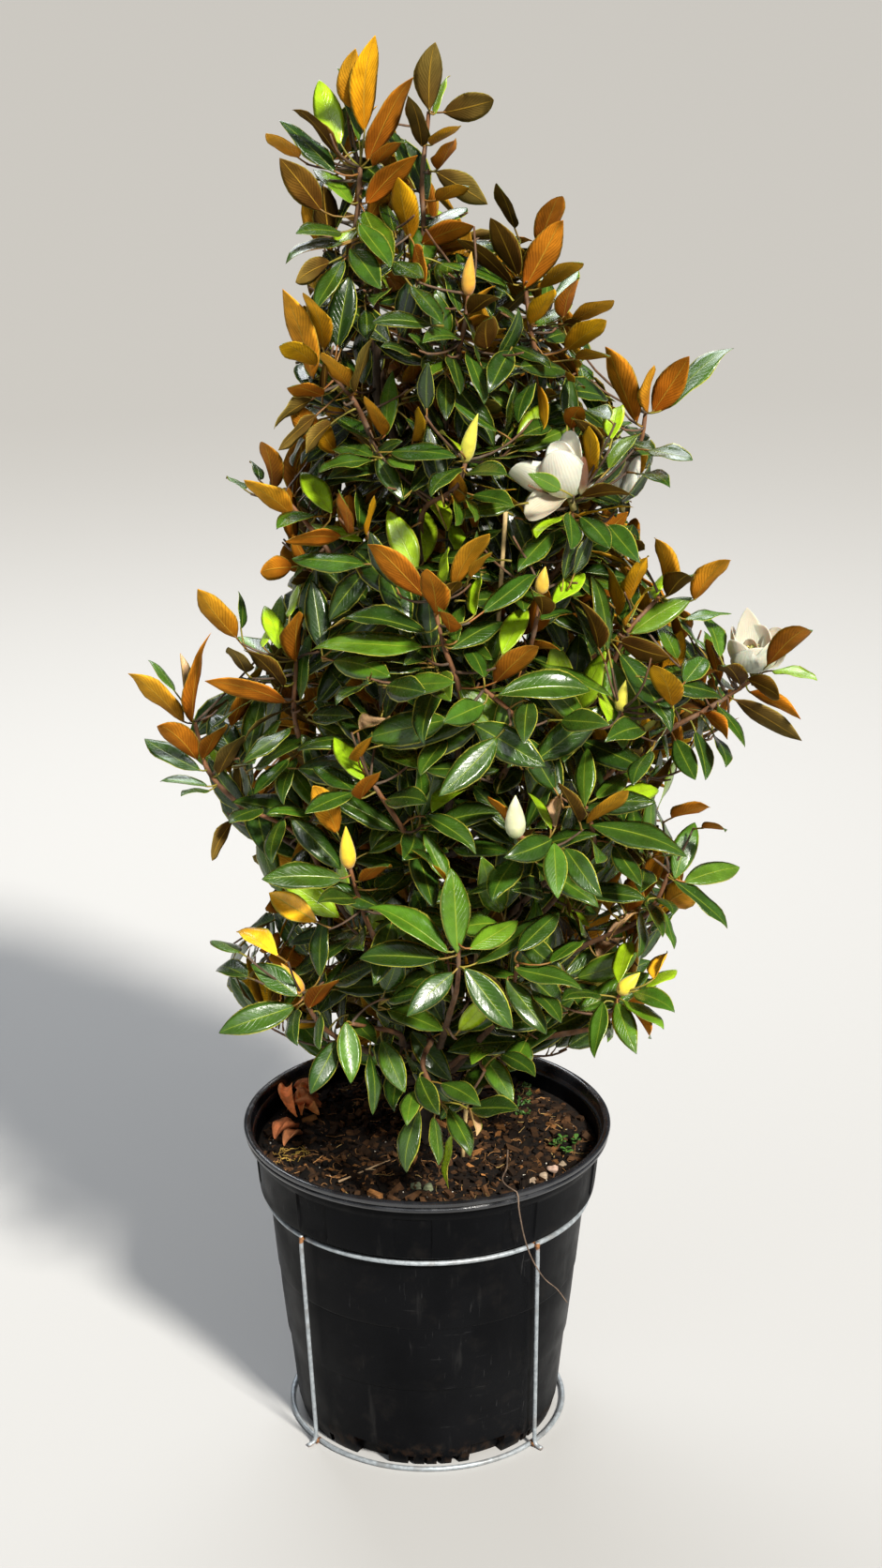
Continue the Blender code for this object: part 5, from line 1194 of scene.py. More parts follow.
def open_flower(name, base, axis, petals, tone=(0.86, 0.83, 0.70), heart=(0.50, 0.33, 0.10)):
    """Petals: (direction in degrees round the axis, length, width, th0, th1, cup, tip curl, offset, roll, shade: a
    colour factor, above 1 painted light, below 1 painted shade).
    """
    bag = Bag()
    axis = Vector(axis).normalized()
    view = (VIEW_POS - Vector(base)).normalized()
    ref = (view - axis * view.dot(axis)).normalized()
    for i, row in enumerate(petals):
        phi, L, W, t0, t1, cup, tc, off, roll, shade = row[:10]
        pw, qw = row[10] if len(row) > 10 else (0.44, 0.44)
        radial = Matrix.Rotation(math.radians(phi), 3, axis) @ ref
        v = petal_points(PETAL, base, axis, radial, L, W, math.radians(t0), math.radians(t1), cup, tipcurl=math.radians(tc),
                         off=off, roll=math.radians(roll), phase=i * 0.37, p=pw, q=qw)
        c = np.array(tone) * np.array(shade)
        bag.add(v, PETAL[3], np.zeros(len(PETAL[3]), int), PETAL_UV, c)
        flower_blocks.append((name, v))
    # the heart: a green cone with curled stigmas over a band of stamens
    cone_pts = [Vector(base) + axis * d for d in (0.004, 0.012, 0.022, 0.031, 0.036)]
    v, f, uv = tube(cone_pts, [0.0065, 0.0085, 0.0075, 0.0050, 0.0015], 14)
    bag.add(v, f, 1, uv, (0.40, 0.42, 0.13))
    for k in range(90):
        h = 0.006 + 0.028 * k / 90
        a = k * 2.39996
        rad = Matrix.Rotation(a, 3, axis) @ ref
        r0 = 0.0075 if h < 0.025 else 0.0050
        p0 = Vector(base) + axis * h + rad * r0
        if k < 46:
            p1 = p0 + rad * 0.006 + axis * 0.005
            pts = [p0, p0.lerp(p1, 0.5) + axis * 0.001, p1]
            col = vary(heart, 0.2)
        else:
            p1 = p0 + rad * 0.003 + axis * 0.004
            pts = [p0, p0.lerp(p1, 0.6), p1 - axis * 0.0015 + rad * 0.001]
            col = vary((0.55, 0.50, 0.16), 0.2)
        v, f, uv = tube(pts, [0.0007, 0.0007, 0.0004], 4)
        bag.add(v, f, 1, uv, col)
    # green-brown stalk under the petals
    v, f, uv = tube([Vector(base) - axis * 0.020, Vector(base) - axis * 0.008, Vector(base) + axis * 0.003], [0.0042, 0.0050, 0.0075],
                    10)
    bag.add(v, f, 1, uv, (0.24, 0.20, 0.07))
    return bag


f1_base = px(608, 528, -0.172)
f1_axis = px(594, 478, -0.176) - f1_base
BROWN = (0.20, 0.095, 0.060)
FL1 = open_flower("flower_1", f1_base, f1_axis, [
    # angle from the viewer's side (to the right), length, width, start, end, cup, curl, offset, roll, shade (colour
    # factor: above 1 painted light, below 1 painted shade)
    # painted light: the rear and left petals lie in shadow, so their colour is raised above the flower's tone
    (172, 0.070, 0.046, 28, -10, 0.60, 8, 0.003, 0, (1.18, 1.18, 1.15)),
    (-150, 0.062, 0.044, 34, -16, 0.60, 0, 0.004, 0, (1.18, 1.17, 1.13)),
    (112, 0.080, 0.042, 26, 4, 0.60, 8, 0.004, -30, (1.25, 1.24, 1.19)),
    (-86, 0.080, 0.064, 62, 30, 0.62, 18, 0.004, -52, (1.24, 1.22, 1.16)),
    # painted shade: the front petal is darkened against the light that falls on it
    (-6, 0.073, 0.066, 52, -22, 0.62, 2, 0.010, 0, (0.93, 0.92, 0.89), (0.50, 0.52)),
    (76, 0.046, 0.036, 50, 4, 0.60, 0, 0.008, 0, (0.98, 0.95, 0.86)),
    (56, 0.052, 0.028, 46, -6, 0.40, -14, 0.018, 10, BROWN),
    # painted shade in the cup of the hanging petal
    (-74, 0.059, 0.050, 90, 106, 0.56, -16, 0.004, 30, (0.82, 0.75, 0.64)),
    (155, 0.056, 0.038, 18, -26, 0.44, 0, 0.001, 0, (1.0, 0.99, 0.94)),
    (-100, 0.052, 0.036, 20, -26, 0.44, 0, 0.001, 0, (1.0, 0.99, 0.94)),
], tone=(0.64, 0.605, 0.52))
f2_base = px(804, 715, -0.080)
f2_axis = px(802, 664, -0.084) - f2_base
FL2 = open_flower("flower_2", f2_base, f2_axis, [
    (-166, 0.084, 0.050, 36, -8, 0.60, 6, 0.003, 0, (0.98, 0.98, 0.97), (0.50, 0.90)),
    (150, 0.062, 0.054, 48, -12, 0.64, 6, 0.004, 0, (1.0, 1.0, 1.0)),
    (-104, 0.068, 0.062, 66, -16, 0.66, 4, 0.004, -14, (1.0, 1.0, 1.0)),
    (100, 0.068, 0.052, 70, 2, 0.60, 8, 0.005, -36, (1.0, 1.0, 0.99), (0.50, 0.34)),
    (58, 0.060, 0.062, 80, -14, 0.56, 8, 0.005, 0, (1.0, 1.0, 0.99)),
    (-50, 0.062, 0.066, 82, -24, 0.54, 6, 0.006, 0, (1.0, 0.99, 0.98)),
    (8, 0.054, 0.074, 84, -20, 0.56, 4, 0.008, 0, (1.0, 1.0, 0.99)),
    (140, 0.046, 0.036, 20, -24, 0.44, 0, 0.001, 0, (1.0, 0.99, 0.94)),
], tone=(0.54, 0.51, 0.415), heart=(0.46, 0.17, 0.10))
f3_base = px(664, 530, -0.050)
f3_axis = px(666, 484, -0.056) - f3_base
FL3 = open_flower("flower_3", f3_base, f3_axis, [
    (180, 0.070, 0.050, 40, -20, 0.50, 8, 0.002, 0, (0.98, 0.98, 0.97)),
    (120, 0.068, 0.048, 44, -16, 0.50, 8, 0.003, 0.0, (1.0, 1.0, 1.0)),
    (-118, 0.068, 0.050, 44, -14, 0.50, 8, 0.003, 0.0, (1.0, 1.0, 1.0)),
    (62, 0.064, 0.048, 50, -16, 0.52, 6, 0.004, 0.0, (1.0, 0.98, 0.96)),
    (-60, 0.062, 0.048, 50, -16, 0.52, 4, 0.004, 0.0, (1.0, 1.0, 0.98)),
    (0, 0.060, 0.048, 52, -18, 0.52, 4, 0.005, 0.0, (1.0, 0.99, 0.97)),
], tone=(0.66, 0.63, 0.55))

# a flower's room, so that no leaf runs through it
for name, v in flower_blocks:
    top = v[:-1].reshape(12, -1, 3)[:, [0, 2, 4, 6, 8]]
    vs = top[::2].reshape(-1, 3)
    fs = []
    for i in range(5):
        for j in range(4):
            a = i * 5 + j
            fs += [(a, a + 5, a + 6), (a, a + 6, a + 1)]
    register(vs, fs)
    if name != "flower_3":
        c, r, d = project(v)
        for cc, rr, dd in zip(c, r, d):
            ci, ri = int(cc / SQ), int(rr / SQ)
            NEAR[ri - 1:ri + 2, ci - 1:ci + 2] = np.minimum(NEAR[ri - 1:ri + 2, ci - 1:ci + 2], dd)

# buds at the ends of some shoots
BUD_TONE = {"E": ((0.62, 0.33, 0.03), (0.42, 0.16, 0.03)), "I": ((0.52, 0.52, 0.06), (0.36, 0.26, 0.05)),
            "W": ((0.66, 0.42, 0.04), (0.50, 0.26, 0.04)), "Z": ((0.60, 0.56, 0.06), (0.42, 0.34, 0.05)),
            "O": ((0.86, 0.60, 0.03), (0.56, 0.26, 0.04)), "R": ((0.66, 0.68, 0.42), (0.30, 0.36, 0.12)),
            "PL": ((0.66, 0.36, 0.03), (0.50, 0.20, 0.03)), "T": ((0.72, 0.60, 0.04), (0.52, 0.34, 0.04))}
for key, (path, z, bud) in SHOOTS.items():
    if not bud:
        continue
    basep = px(*path[0])
    if key in BUD_TONE:
        tone, low = BUD_TONE[key]
    else:
        tone, low = (0.60, 0.56, 0.06), (0.42, 0.34, 0.05)
    tipp = px(bud[0], bud[1], path[0][2])
    add_bud(bags["shoot_" + key], basep - (tipp - basep).normalized() * 0.003, tipp, bud[4] / px_scale(basep) / 2, tone, low)
    ax = (tipp - basep)
    cyl = [basep + ax * t for t in (0.1, 0.5, 0.9)]
    v, f, _ = tube(cyl, [bud[4] / px_scale(basep) / 2 * k for k in (0.9, 1.0, 0.4)], 5)
    register(v, [tuple(int(i) for i in q if i >= 0) for q in f])
    c, r, d = project(v)
    for cc, rr, dd in zip(c, r, d):
        ci, ri = int(cc / SQ), int(rr / SQ)
        NEAR[ri - 1:ri + 2, ci - 1:ci + 2] = np.minimum(NEAR[ri - 1:ri + 2, ci - 1:ci + 2], dd)


# ------------------------------------------------------------------ leaves read from the picture
def nearest_on(name, p, skip=0.22):
    pts, s = stems[name]
    k = int(len(pts) * (skip if name != "main_stem" else 0.0))
    d = np.linalg.norm(pts[k:] - np.array(p)[None], axis=1)
    i = int(np.argmin(d)) + k
    return Vector(pts[i]), float(d[i - k]), i


def picture_depth(name, col, row):
    pts, s = stems[name]
    k = len(pts) // 3 if name != "main_stem" else 0
    c, r, d = project(pts[k:])
    i = int(np.argmin((c - col) ** 2 + (r - row) ** 2))
    return float(pts[k + i][1])


def grow(bag, name, b, t, half, n, code, grid, tries=1, free=False):
    """Find a place for one leaf; a retry moves it a little. Returns base, tip, face direction, half width, shape and
    coarse grid, or None.
    """
    L0 = (t - b).length
    for k in range(tries):
        if k == 0:
            b2, t2, n2, h2 = b, t, n, half
        else:
            push = 0.007 * min(k, 8)
            away = Vector((rnd.uniform(-1, 1), rnd.uniform(-1, 1), rnd.uniform(-0.6, 0.6))) * push * 0.5
            depth = (b - VIEW_POS).normalized() * (rnd.uniform(-1, 1) * push * 1.5)
            t2, b2 = t + away + depth, b + away * 0.2 + depth * 0.4
            n2 = Matrix.Rotation(rnd.uniform(-0.4, 0.4), 3, (t - b).normalized()) @ n
            h2 = half
        look = shape_of(L0)
        if code in "TS":
            look["fold"] = -0.6
        cv = leaf_points(COARSE, b2, t2, n2, h2, **look)
        if not within(cv):
            continue
        if not free and blocked(cv):
            continue
        return b2, t2, n2, h2, look, cv
    return None


def gather():
    """Every stem point that a twig can grow from, and the piece that it belongs to."""
    parts = [(name, pts[(len(pts) // 5 if name != "main_stem" else 0):]) for name, (pts, s) in stems.items()] + twigs
    return np.concatenate([p for _, p in parts]), [name for name, p in parts for _ in range(len(p))]


# leaves that lie across the front of a flower: how far they stand before their stem
FORWARD = {(563, 505): 0.060}
twigs = []
flat_pts, flat_name = gather()

for name in ["main_stem"] + ["shoot_" + k for k in SHOOTS]:
    key = name.replace("shoot_", "")
    text = LEAVES["A" if name == "main_stem" else key] + " " + EXTRA.get(key, "")
    bag = bags[name]
    for code, tc, tr, bc, brow, w in LEAF_RE.findall(text):
        tip, base, w = (int(tc), int(tr)), (int(bc), int(brow)), int(w)
        y = picture_depth(name, *base)
        got = None
        for lean in ((1.0, 0.5, 0.0, -0.7) if tip not in FORWARD else (-0.35, -0.7)):
            b, t, half, n = leaf_from_picture(code, tip, base, w, y - FORWARD.get(tip, 0.010), lean)
            got = grow(bag, name, b, t, half, n, code, FINE, 18) or grow(bag, name, b, t, half, n, code, FINE, 1, free=True)
            if got is not None:
                break
        if got is None:
            print("left out:", key, code, tip, base, [round(x, 3) for x in t])
            continue
        b, t, n, half, look, cv = got
        top, under = leaf_look(code)
        v = leaf_points(FINE, b, t, n, half, **look)
        bag.add(v, FINE[3], FINE[4], FINE_UV, top, under)
        register(cv)
        stamp(v)
        mark(v, 12, 7)
        root, dist, _ = nearest_on(name, b)
        d = (t - b).normalized()
        if dist > 0.06:
            gaps = np.linalg.norm(flat_pts - np.array(b)[None], axis=1)
            k = int(np.argmin(gaps))
            if gaps[k] < dist - 0.02:
                root, dist = Vector(flat_pts[k]), float(gaps[k])
        add_stalk(bag, root, b, d)
        leaf_count["hero"] += 1

# the cane's top shows between the leaves
for k in range(120):
    q = px(539.5, 546, -0.150).lerp(Vector((0.050, -0.060, SOIL_Z + 0.0020)), k / 240)
    c, r, d = project(np.array([tuple(q)]))
    if r[0] < 622:
        ci, ri = int(c[0] / SQ), int(r[0] / SQ)
        NEAR[ri, ci - 1:ci + 2] = np.minimum(NEAR[ri, ci - 1:ci + 2], d[0])

# squares close to leaves that were read: fill stays behind them there
LOCAL = NEAR.copy()
for _ in range(5):
    pad = np.pad(LOCAL, 1, constant_values=1e9)
    LOCAL = np.minimum.reduce([pad[1:-1, 1:-1], pad[:-2, 1:-1], pad[2:, 1:-1], pad[1:-1, :-2], pad[1:-1, 2:]])


# ------------------------------------------------------------------ leaves that fill the crown
def hides(v):
    """True if this leaf would show in front of what the picture shows."""
    c, r, d = project(v)
    ci, ri = np.clip((c / SQ).astype(int), 0, 239), np.clip((r / SQ).astype(int), 0, 419)
    near = NEAR[ri, ci]
    over = (d < near - 0.003) & (near < 1e8)
    if over.sum() > 1:
        return True
    loc = LOCAL[ri, ci]
    gap = (near > 1e8) & (loc < 1e8) & (d < loc + 0.015)
    return gap.sum() > 5


def outside(v):
    c, r, _ = project(v[[1, 4, 7, 10, 12, 5, 3]])
    return sum(not inside_outline(a, b) for a, b in zip(c, r)) > 0


def rosette(name, p, axis, count, young, size, z_mix):
    """A whorl of leaves round the end of a twig."""
    bag = bags[name]
    axis = axis.normalized()
    side = axis.cross(Vector((0.3, 0.2, 0.9))).normalized()
    a0 = rnd.uniform(0, 6.28)
    made = 0
    for k in range(count):
        done = False
        for attempt in range(4):
            f = k / max(count - 1, 1)
            a = a0 + k * 2.39996 + rnd.uniform(-0.3, 0.3) * (1 + attempt)
            tilt = math.radians(28 + 62 * f + rnd.uniform(-14, 14))
            rad = Matrix.Rotation(a, 3, axis) @ side
            d = (axis * math.cos(tilt) + rad * math.sin(tilt)).normalized()
            d = (d + Vector((0, 0, rnd.uniform(-0.18, 0.12)))).normalized()
            L = size * rnd.uniform(0.82, 1.12) * (0.80 + 0.20 * f)
            root = p - axis * (0.004 + 0.030 * f)
            b = root + d * rnd.uniform(0.014, 0.022)
            t = b + d * L
            n = (axis - d * axis.dot(d))
            n = (n.normalized() + Vector((0, 0, 0.25))).normalized()
            half = L * rnd.uniform(0.175, 0.215)
            look = shape_of(L)
            cv = leaf_points(COARSE, b, t, n, half, **look)
            if not within(cv) or outside(cv) or hides(samples(cv)) or blocked(cv):
                continue
            youth = 0.0
            code = "G"
            if young and f < 0.35 and rnd.random() < 0.5:
                code = "L"
            elif rnd.random() < 0.20:
                code = "g"
            top, under = leaf_look(code)
            if code != "L":
                under = vary(UNDER_TONES[rnd.choice(z_mix)], 0.16)
            # painted shade: fill leaves are darkened inside the crown and a little overall, their lower faces less
            painted_shade = inner_shade(t) * 0.88
            top, under = top * painted_shade, under * (0.4 + 0.6 * painted_shade)
            mark(add_leaf(bag, PLAIN, b, t, n, half, top, under, **look), 8, 5)
            register(cv)
            r0, r1 = root, b
            v, fc, uv = tube([r0, r0.lerp(r1, 0.5) + axis * 0.001, r1 + d * 0.003], [0.0016, 0.0012, 0.0010], 4)
            bag.add(v, fc, M_STALK, uv, stalk_tone())
            leaf_count["fill"] += 1
            made += 1
            break
    return made


def row_extent(row):
    """The outline's left and right columns at a row."""
    xs = []
    j = len(OUTLINE) - 1
    for i in range(len(OUTLINE)):
        xi, yi = OUTLINE[i]
        xj, yj = OUTLINE[j]
        if (yi > row) != (yj > row):
            xs.append((xj - xi) * (row - yi) / (yj - yi) + xi)
        j = i
    return (min(xs), max(xs)) if xs else (470, 470)


targets = []


def far_enough(p, gap):
    return all((p - q).length_squared > gap * gap for q in targets)


def twig_to(p, out):
    """The stem point that a twig to this place grows from, the piece it belongs to, and its distance."""
    d = flat_pts - np.array(p)[None]
    dist = np.linalg.norm(d, axis=1)
    i = int(np.argmin(dist + 0.5 * np.clip((flat_pts[:, 2] - p.z), 0, 1)))
    q = Vector(flat_pts[i])
    return flat_name[i], q, float(dist[i])


def add_twig(name, q, p, radial, axis):
    """A thin curved twig from a stem to a whorl, kept behind the leaves that the picture shows."""
    dist = (p - q).length
    for back in (0.0, 0.03, 0.06, 0.09):
        bend = (q + p) / 2 + Vector((0, back, -0.15 * dist)) + radial * 0.015
        pts = [q * (1 - t) ** 2 + bend * 2 * t * (1 - t) + p * t * t for t in np.linspace(0, 1, 7)]
        arr = np.array([tuple(x) for x in pts])
        c, r, d = project(arr)
        near = NEAR[np.clip((r / SQ).astype(int), 0, 419), np.clip((c / SQ).astype(int), 0, 239)]
        if ((d < near - 0.002) & (near < 1e8)).sum() < 2:
            break
    pts[-1] = pts[-1] + axis * 0.004
    add_stem(bags[name], pts, np.linspace(0.0021, 0.0014, 7), 5, np.linspace(0.40, 0.80, 7))
    twigs.append((name, arr[2:]))


# whorls at the ends of the shoots at the back, then through the whole crown
for name, (p, axis) in leads.items():
    if "back" in name:
        targets.append(p)
        rosette(name, p, axis + Vector((0, 0, 0.3)), 11, True, 0.125, "UUOYB")

tries = 0
while tries < 7000 and len(targets) < 400:
    tries += 1
    row = rnd.uniform(60, 1215)
    left, right = row_extent(row)
    mid, half = (left + right) / 2, (right - left) / 2
    u = rnd.uniform(-1, 1)
    col = mid + half * u
    if not inside_outline(col, row):
        continue
    height = (1170 - row) / 790.0
    depth_half = min(0.36, half / 790.0 * 1.02 + 0.02) * (0.92 if row > 900 else 1.0)
    if row > 1120:
        depth_half *= 0.8
    lim = depth_half * math.sqrt(max(1 - u * u, 0.0))
    v = rnd.uniform(-1, 1)
    v = math.copysign(abs(v) ** 0.6, v)
    p = px(col, row, 0.01 + v * lim)
    if p.z < 0.58 or not far_enough(p, 0.078 if p.z < 1.25 else 0.058):
        continue
    name, q, dist = twig_to(p, None)
    if dist > 0.26 or dist < 0.02:
        continue
    c, _ = trunk_at(p.z)
    out = Vector((p.x - c.x, p.y - c.y, 0))
    radial = out.normalized() if out.length > 0.02 else Vector((rnd.uniform(-1, 1), rnd.uniform(-1, 1), 0)).normalized()
    up = 0.55 + 0.9 * max(0.0, (p.z - 0.9))
    axis = ((p - q).normalized() * 0.7 + radial * 0.8 + Vector((0, 0, up))).normalized()
    top_zone = p.z > 1.25
    mix = "UUOOYKB" if top_zone else "UUBKYO"
    size = rnd.uniform(0.095, 0.128) if not top_zone else rnd.uniform(0.080, 0.112)
    made = rosette(name, p, axis, 9 if out.length > 0.12 else 7, rnd.random() < 0.30, size, mix)
    if made < 2:
        if made == 0:
            continue
    targets.append(p)
    add_twig(name, q, p, radial, axis)

# what still lets the background through the crown, from the front
SHAPE = np.zeros((420, 240), bool)
cc, rr = np.meshgrid(np.arange(240) * SQ + 2.0, np.arange(420) * SQ + 2.0)
j = len(OUTLINE) - 1
for i in range(len(OUTLINE)):
    xi, yi = OUTLINE[i]
    xj, yj = OUTLINE[j]
    if yi != yj:
        SHAPE ^= ((yi > rr) != (yj > rr)) & (cc < (xj - xi) * (rr - yi) / (yj - yi) + xi)
    j = i
for _ in range(2):
    SHAPE[1:-1, 1:-1] &= SHAPE[:-2, 1:-1] & SHAPE[2:, 1:-1] & SHAPE[1:-1, :-2] & SHAPE[1:-1, 2:]
SHAPE[285:] = False


def depth_room(col, row):
    """How far the crown reaches to the back at this place of the picture."""
    left, right = row_extent(row)
    mid, half = (left + right) / 2, max((right - left) / 2, 1.0)
    u = min(max((col - mid) / half, -1.0), 1.0)
    return min(0.36, half / 790.0 * 1.02 + 0.02) * math.sqrt(1 - u * u)


print("open squares", int((SHAPE & ~SEEN).sum()), "of", int(SHAPE.sum()))
for turn in range(4):
    flat_pts, flat_name = gather()
    holes = np.argwhere(SHAPE & ~SEEN)
    order = list(range(len(holes)))
    rnd.shuffle(order)
    for k in order:
        i, j = holes[k]
        if SEEN[i, j] or (turn < 2 and rnd.random() < 0.5):
            continue
        col, row = j * SQ + 2, i * SQ + 2
        room = depth_room(col, row)
        p = px(col, row, 0.02 + room * rnd.uniform(-0.25, 0.85))
        if p.z < 0.56:
            continue
        name, q, dist = twig_to(p, None)
        if dist > 0.22:
            continue
        c, _ = trunk_at(p.z)
        out = Vector((p.x - c.x, p.y - c.y, 0))
        radial = out.normalized() if out.length > 0.02 else Vector((rnd.uniform(-1, 1), rnd.uniform(-1, 1), 0)).normalized()
        if turn < 2:
            if not far_enough(p, 0.045) or dist < 0.012:
                continue
            axis = ((p - q).normalized() * 0.5 + radial * 0.6 + Vector((0, -0.4, 0.6))).normalized()
            made = rosette(name, p, axis, 6, rnd.random() < 0.2, rnd.uniform(0.090, 0.120), "UUBKYO")
            if made:
                targets.append(p)
                add_twig(name, q, p, radial, axis)
            continue
        bag = bags[name]
        for attempt in range(5):
            L = rnd.uniform(0.085, 0.120)
            d = (radial * rnd.uniform(0.2, 1.0) + Vector((rnd.uniform(-1, 1), rnd.uniform(-1, 1), rnd.uniform(-0.8, 0.8)))).normalized()
            b = p - d * (L * rnd.uniform(0.35, 0.6))
            t = b + d * L
            view = (VIEW_POS - p).normalized()
            n = view * rnd.uniform(0.3, 1.0) + Vector((rnd.uniform(-0.4, 0.4), rnd.uniform(-0.4, 0.4), rnd.uniform(0.2, 0.9)))
            if rnd.random() < 0.22:
                n = Vector((-n.x, -n.y, abs(n.z)))
            n = n - d * n.dot(d)
            if n.length < 0.15:
                continue
            n.normalize()
            half = L * rnd.uniform(0.18, 0.215)
            look = shape_of(L)
            cv = leaf_points(COARSE, b, t, n, half, **look)
            if not within(cv) or outside(cv) or hides(samples(cv)) or blocked(cv):
                continue
            name, q, dist = twig_to(b, None)
            if dist > 0.11:
                continue
            bag = bags[name]
            top, under = leaf_look("g" if rnd.random() < 0.15 else "G")
            # painted shade: these leaves are darkened inside the crown and a little overall
            top = top * inner_shade(t) * 0.85
            mark(add_leaf(bag, PLAIN, b, t, n, half, top, vary(UNDER_TONES[rnd.choice("UUBKYO")], 0.16), **look), 8, 5)
            register(cv)
            add_stalk(bag, q, b, d, 0.0011)
            leaf_count["fill"] += 1
            break
    print("turn", turn, "open squares", int((SHAPE & ~SEEN).sum()))

print("leaves read", leaf_count["hero"], "fill", leaf_count["fill"], "whorls", len(targets))

total_tris = 0
for name, bag in bags.items():
    ob = bag.make("v_" + name, SHOOT_MATS)
    place(ob, name, slot="leaf" if name != "main_stem" else "bark")
    t = sum(len(p.vertices) - 2 for p in ob.data.polygons)
    total_tris += t
print("triangles in the crown", total_tris)

for name, bag in (("flower_1", FL1), ("flower_2", FL2), ("flower_3", FL3)):
    place(bag.make("v_" + name, ["petal", "stamen"]), name, slot="petal")


# ------------------------------------------------------------------ nursery pot
def dirv(az):
    a = math.radians(az)
    return math.sin(a), -math.cos(a)


NOTCHES = [(-25.0, 0.050, 0.030, 0.88), (27.0, 0.052, 0.030, 0.88), (88.0, 0.054, 0.030, 0.88), (152.0, 0.054, 0.030, 0.88),
           (208.0, 0.054, 0.030, 0.88), (272.0, 0.054, 0.030, 0.88), (-7.2, 0.0075, 0.015, 1.0), (-0.6, 0.0050, 0.013, 1.0), (5.2, 0.0070, 0.015, 1.0),
           (12.6, 0.0120, 0.013, 1.0), (46.5, 0.0060, 0.015, 1.0), (51.5, 0.0060, 0.013, 1.0), (-47.0, 0.0080, 0.015, 1.0)]
PANELS = [(-40.5 + 36 * k) for k in range(10)]


def wrap(a):
    return (a + 180) % 360 - 180


def pot_mesh():
    """The pot turned from its profile, with staves pressed into the collar and notches cut in the foot."""
    edges = set(np.round(np.arange(-180, 180, 1.5), 3).tolist())
    for az, w, h, k in NOTCHES:
        half = math.degrees(w / 2 / BASE_R)
        for e in (-half, half):
            a = wrap(az + e)
            edges = {x for x in edges if abs(wrap(x - a)) > 0.45}
            edges |= {round(wrap(a - 0.12), 3), round(wrap(a + 0.12), 3)}
    for az in PANELS:
        for e in (-6.2, 6.2):
            a = wrap(az + e)
            edges = {x for x in edges if abs(wrap(x - a)) > 0.5}
            edges |= {round(wrap(a - 0.22), 3), round(wrap(a + 0.22), 3)}
    az = np.array(sorted(edges))
    outer = [(0.1822, 0.0), (0.1830, 0.0012), (0.1848, 0.006), (0.1866, 0.013), (0.1869, 0.0145), (0.1872, 0.0155),
             (0.1900, 0.0255), (0.1905, 0.0290), (0.1906, 0.0305), (0.1925, 0.048), (0.1952, 0.075), (0.1985, 0.105),
             (0.2010, 0.1290), (0.2016, 0.1318), (0.2036, 0.1334), (0.2040, 0.1350), (0.2068, 0.160), (0.2100, 0.190),
             (0.2130, 0.222), (0.2137, 0.2352), (0.2154, 0.2370), (0.2158, 0.2388), (0.2182, 0.265), (0.2215, 0.300),
             (0.2248, 0.335), (0.2262, 0.3545), (0.2272, 0.3565), (0.2370, 0.3578), (0.2388, 0.3592), (0.2393, 0.3620),
             (0.2402, 0.3680), (0.2420, 0.3860), (0.2440, 0.4080), (0.2449, 0.4180), (0.2453, 0.4212), (0.2466, 0.4228),
             (0.2474, 0.4280), (0.2482, 0.4345), (0.2500, 0.4362), (0.2552, 0.4370), (0.2572, 0.4380), (0.2580, 0.4400),
             (0.2575, 0.4420), (0.2560, 0.4434), (0.2550, 0.4444), (0.2556, 0.4456), (0.2585, 0.4464), (0.2598, 0.4482),
             (0.2602, 0.4500), (0.2596, 0.4520), (0.2578, 0.4532), (0.2555, 0.4535), (0.2525, 0.4530), (0.2505, 0.4516),
             (0.2496, 0.4490), (0.2488, 0.4440), (0.2478, 0.4398), (0.2455, 0.4380), (0.2442, 0.4340), (0.2436, 0.4290),
             (0.2426, 0.4180), (0.2416, 0.4050)]
    P = np.array(outer)
    n, m = len(az), len(P)
    R = np.repeat(P[:, 0][:, None], n, axis=1)
    Z = np.repeat(P[:, 1][:, None], n, axis=1)
    k_out = 35
    for a in PANELS:
        inside = np.abs(wrap(az - a)) < 6.2
        for i in range(m):
            z = P[i, 1]
            if i <= 35 and 0.3635 < z < 0.4206:
                R[i, inside] -= 0.0024
    for i in range(56, m):
        flute = np.sin(np.radians(az) * 60) ** 8
        R[i] -= 0.0009 * flute * (P[i, 1] < 0.437)
    # uneven plastic: the wall bulges a little
    wob = 0.0007 * np.sin(np.radians(az) * 3 + 0.6) + 0.0004 * np.sin(np.radians(az) * 7 + 2.0)
    body = np.clip((P[:, 1] - 0.03) / 0.1, 0, 1) * np.clip((0.35 - P[:, 1]) / 0.1, 0, 1)
    R += wob[None, :] * body[:, None] * (np.arange(m) < 26)[:, None]
    V = np.stack([R * np.sin(np.radians(az))[None], -R * np.cos(np.radians(az))[None], Z], axis=2)
    cut = np.zeros((m - 1, n), bool)
    for a, w, h, k in NOTCHES:
        half = math.degrees(w / 2 / BASE_R)
        mids = wrap(az + wrap(np.roll(az, -1) - az) / 2 - a)
        for i in range(m - 1):
            if i < 12 and P[i, 1] < h - 0.0008:
                cut[i, np.abs(mids) < half] = True
    verts = V.reshape(-1, 3).tolist()
    faces = []
    idx = lambda i, j: i * n + (j % n)
    for i in range(m - 1):
        for j in range(n):
            if not cut[i, j]:
                faces.append((idx(i, j), idx(i, j + 1), idx(i + 1, j + 1), idx(i + 1, j)))
    # an inner wall behind the notches, the floor and the foot's thickness
    inner_r = lambda i: P[i, 0] - 0.0140
    back = {}

    def inner(i, j):
        j %= n
        if (i, j) not in back:
            a = math.radians(az[j])
            r = inner_r(i)
            back[(i, j)] = len(verts)
            verts.append([r * math.sin(a), -r * math.cos(a), Z[i, j]])
        return back[(i, j)]

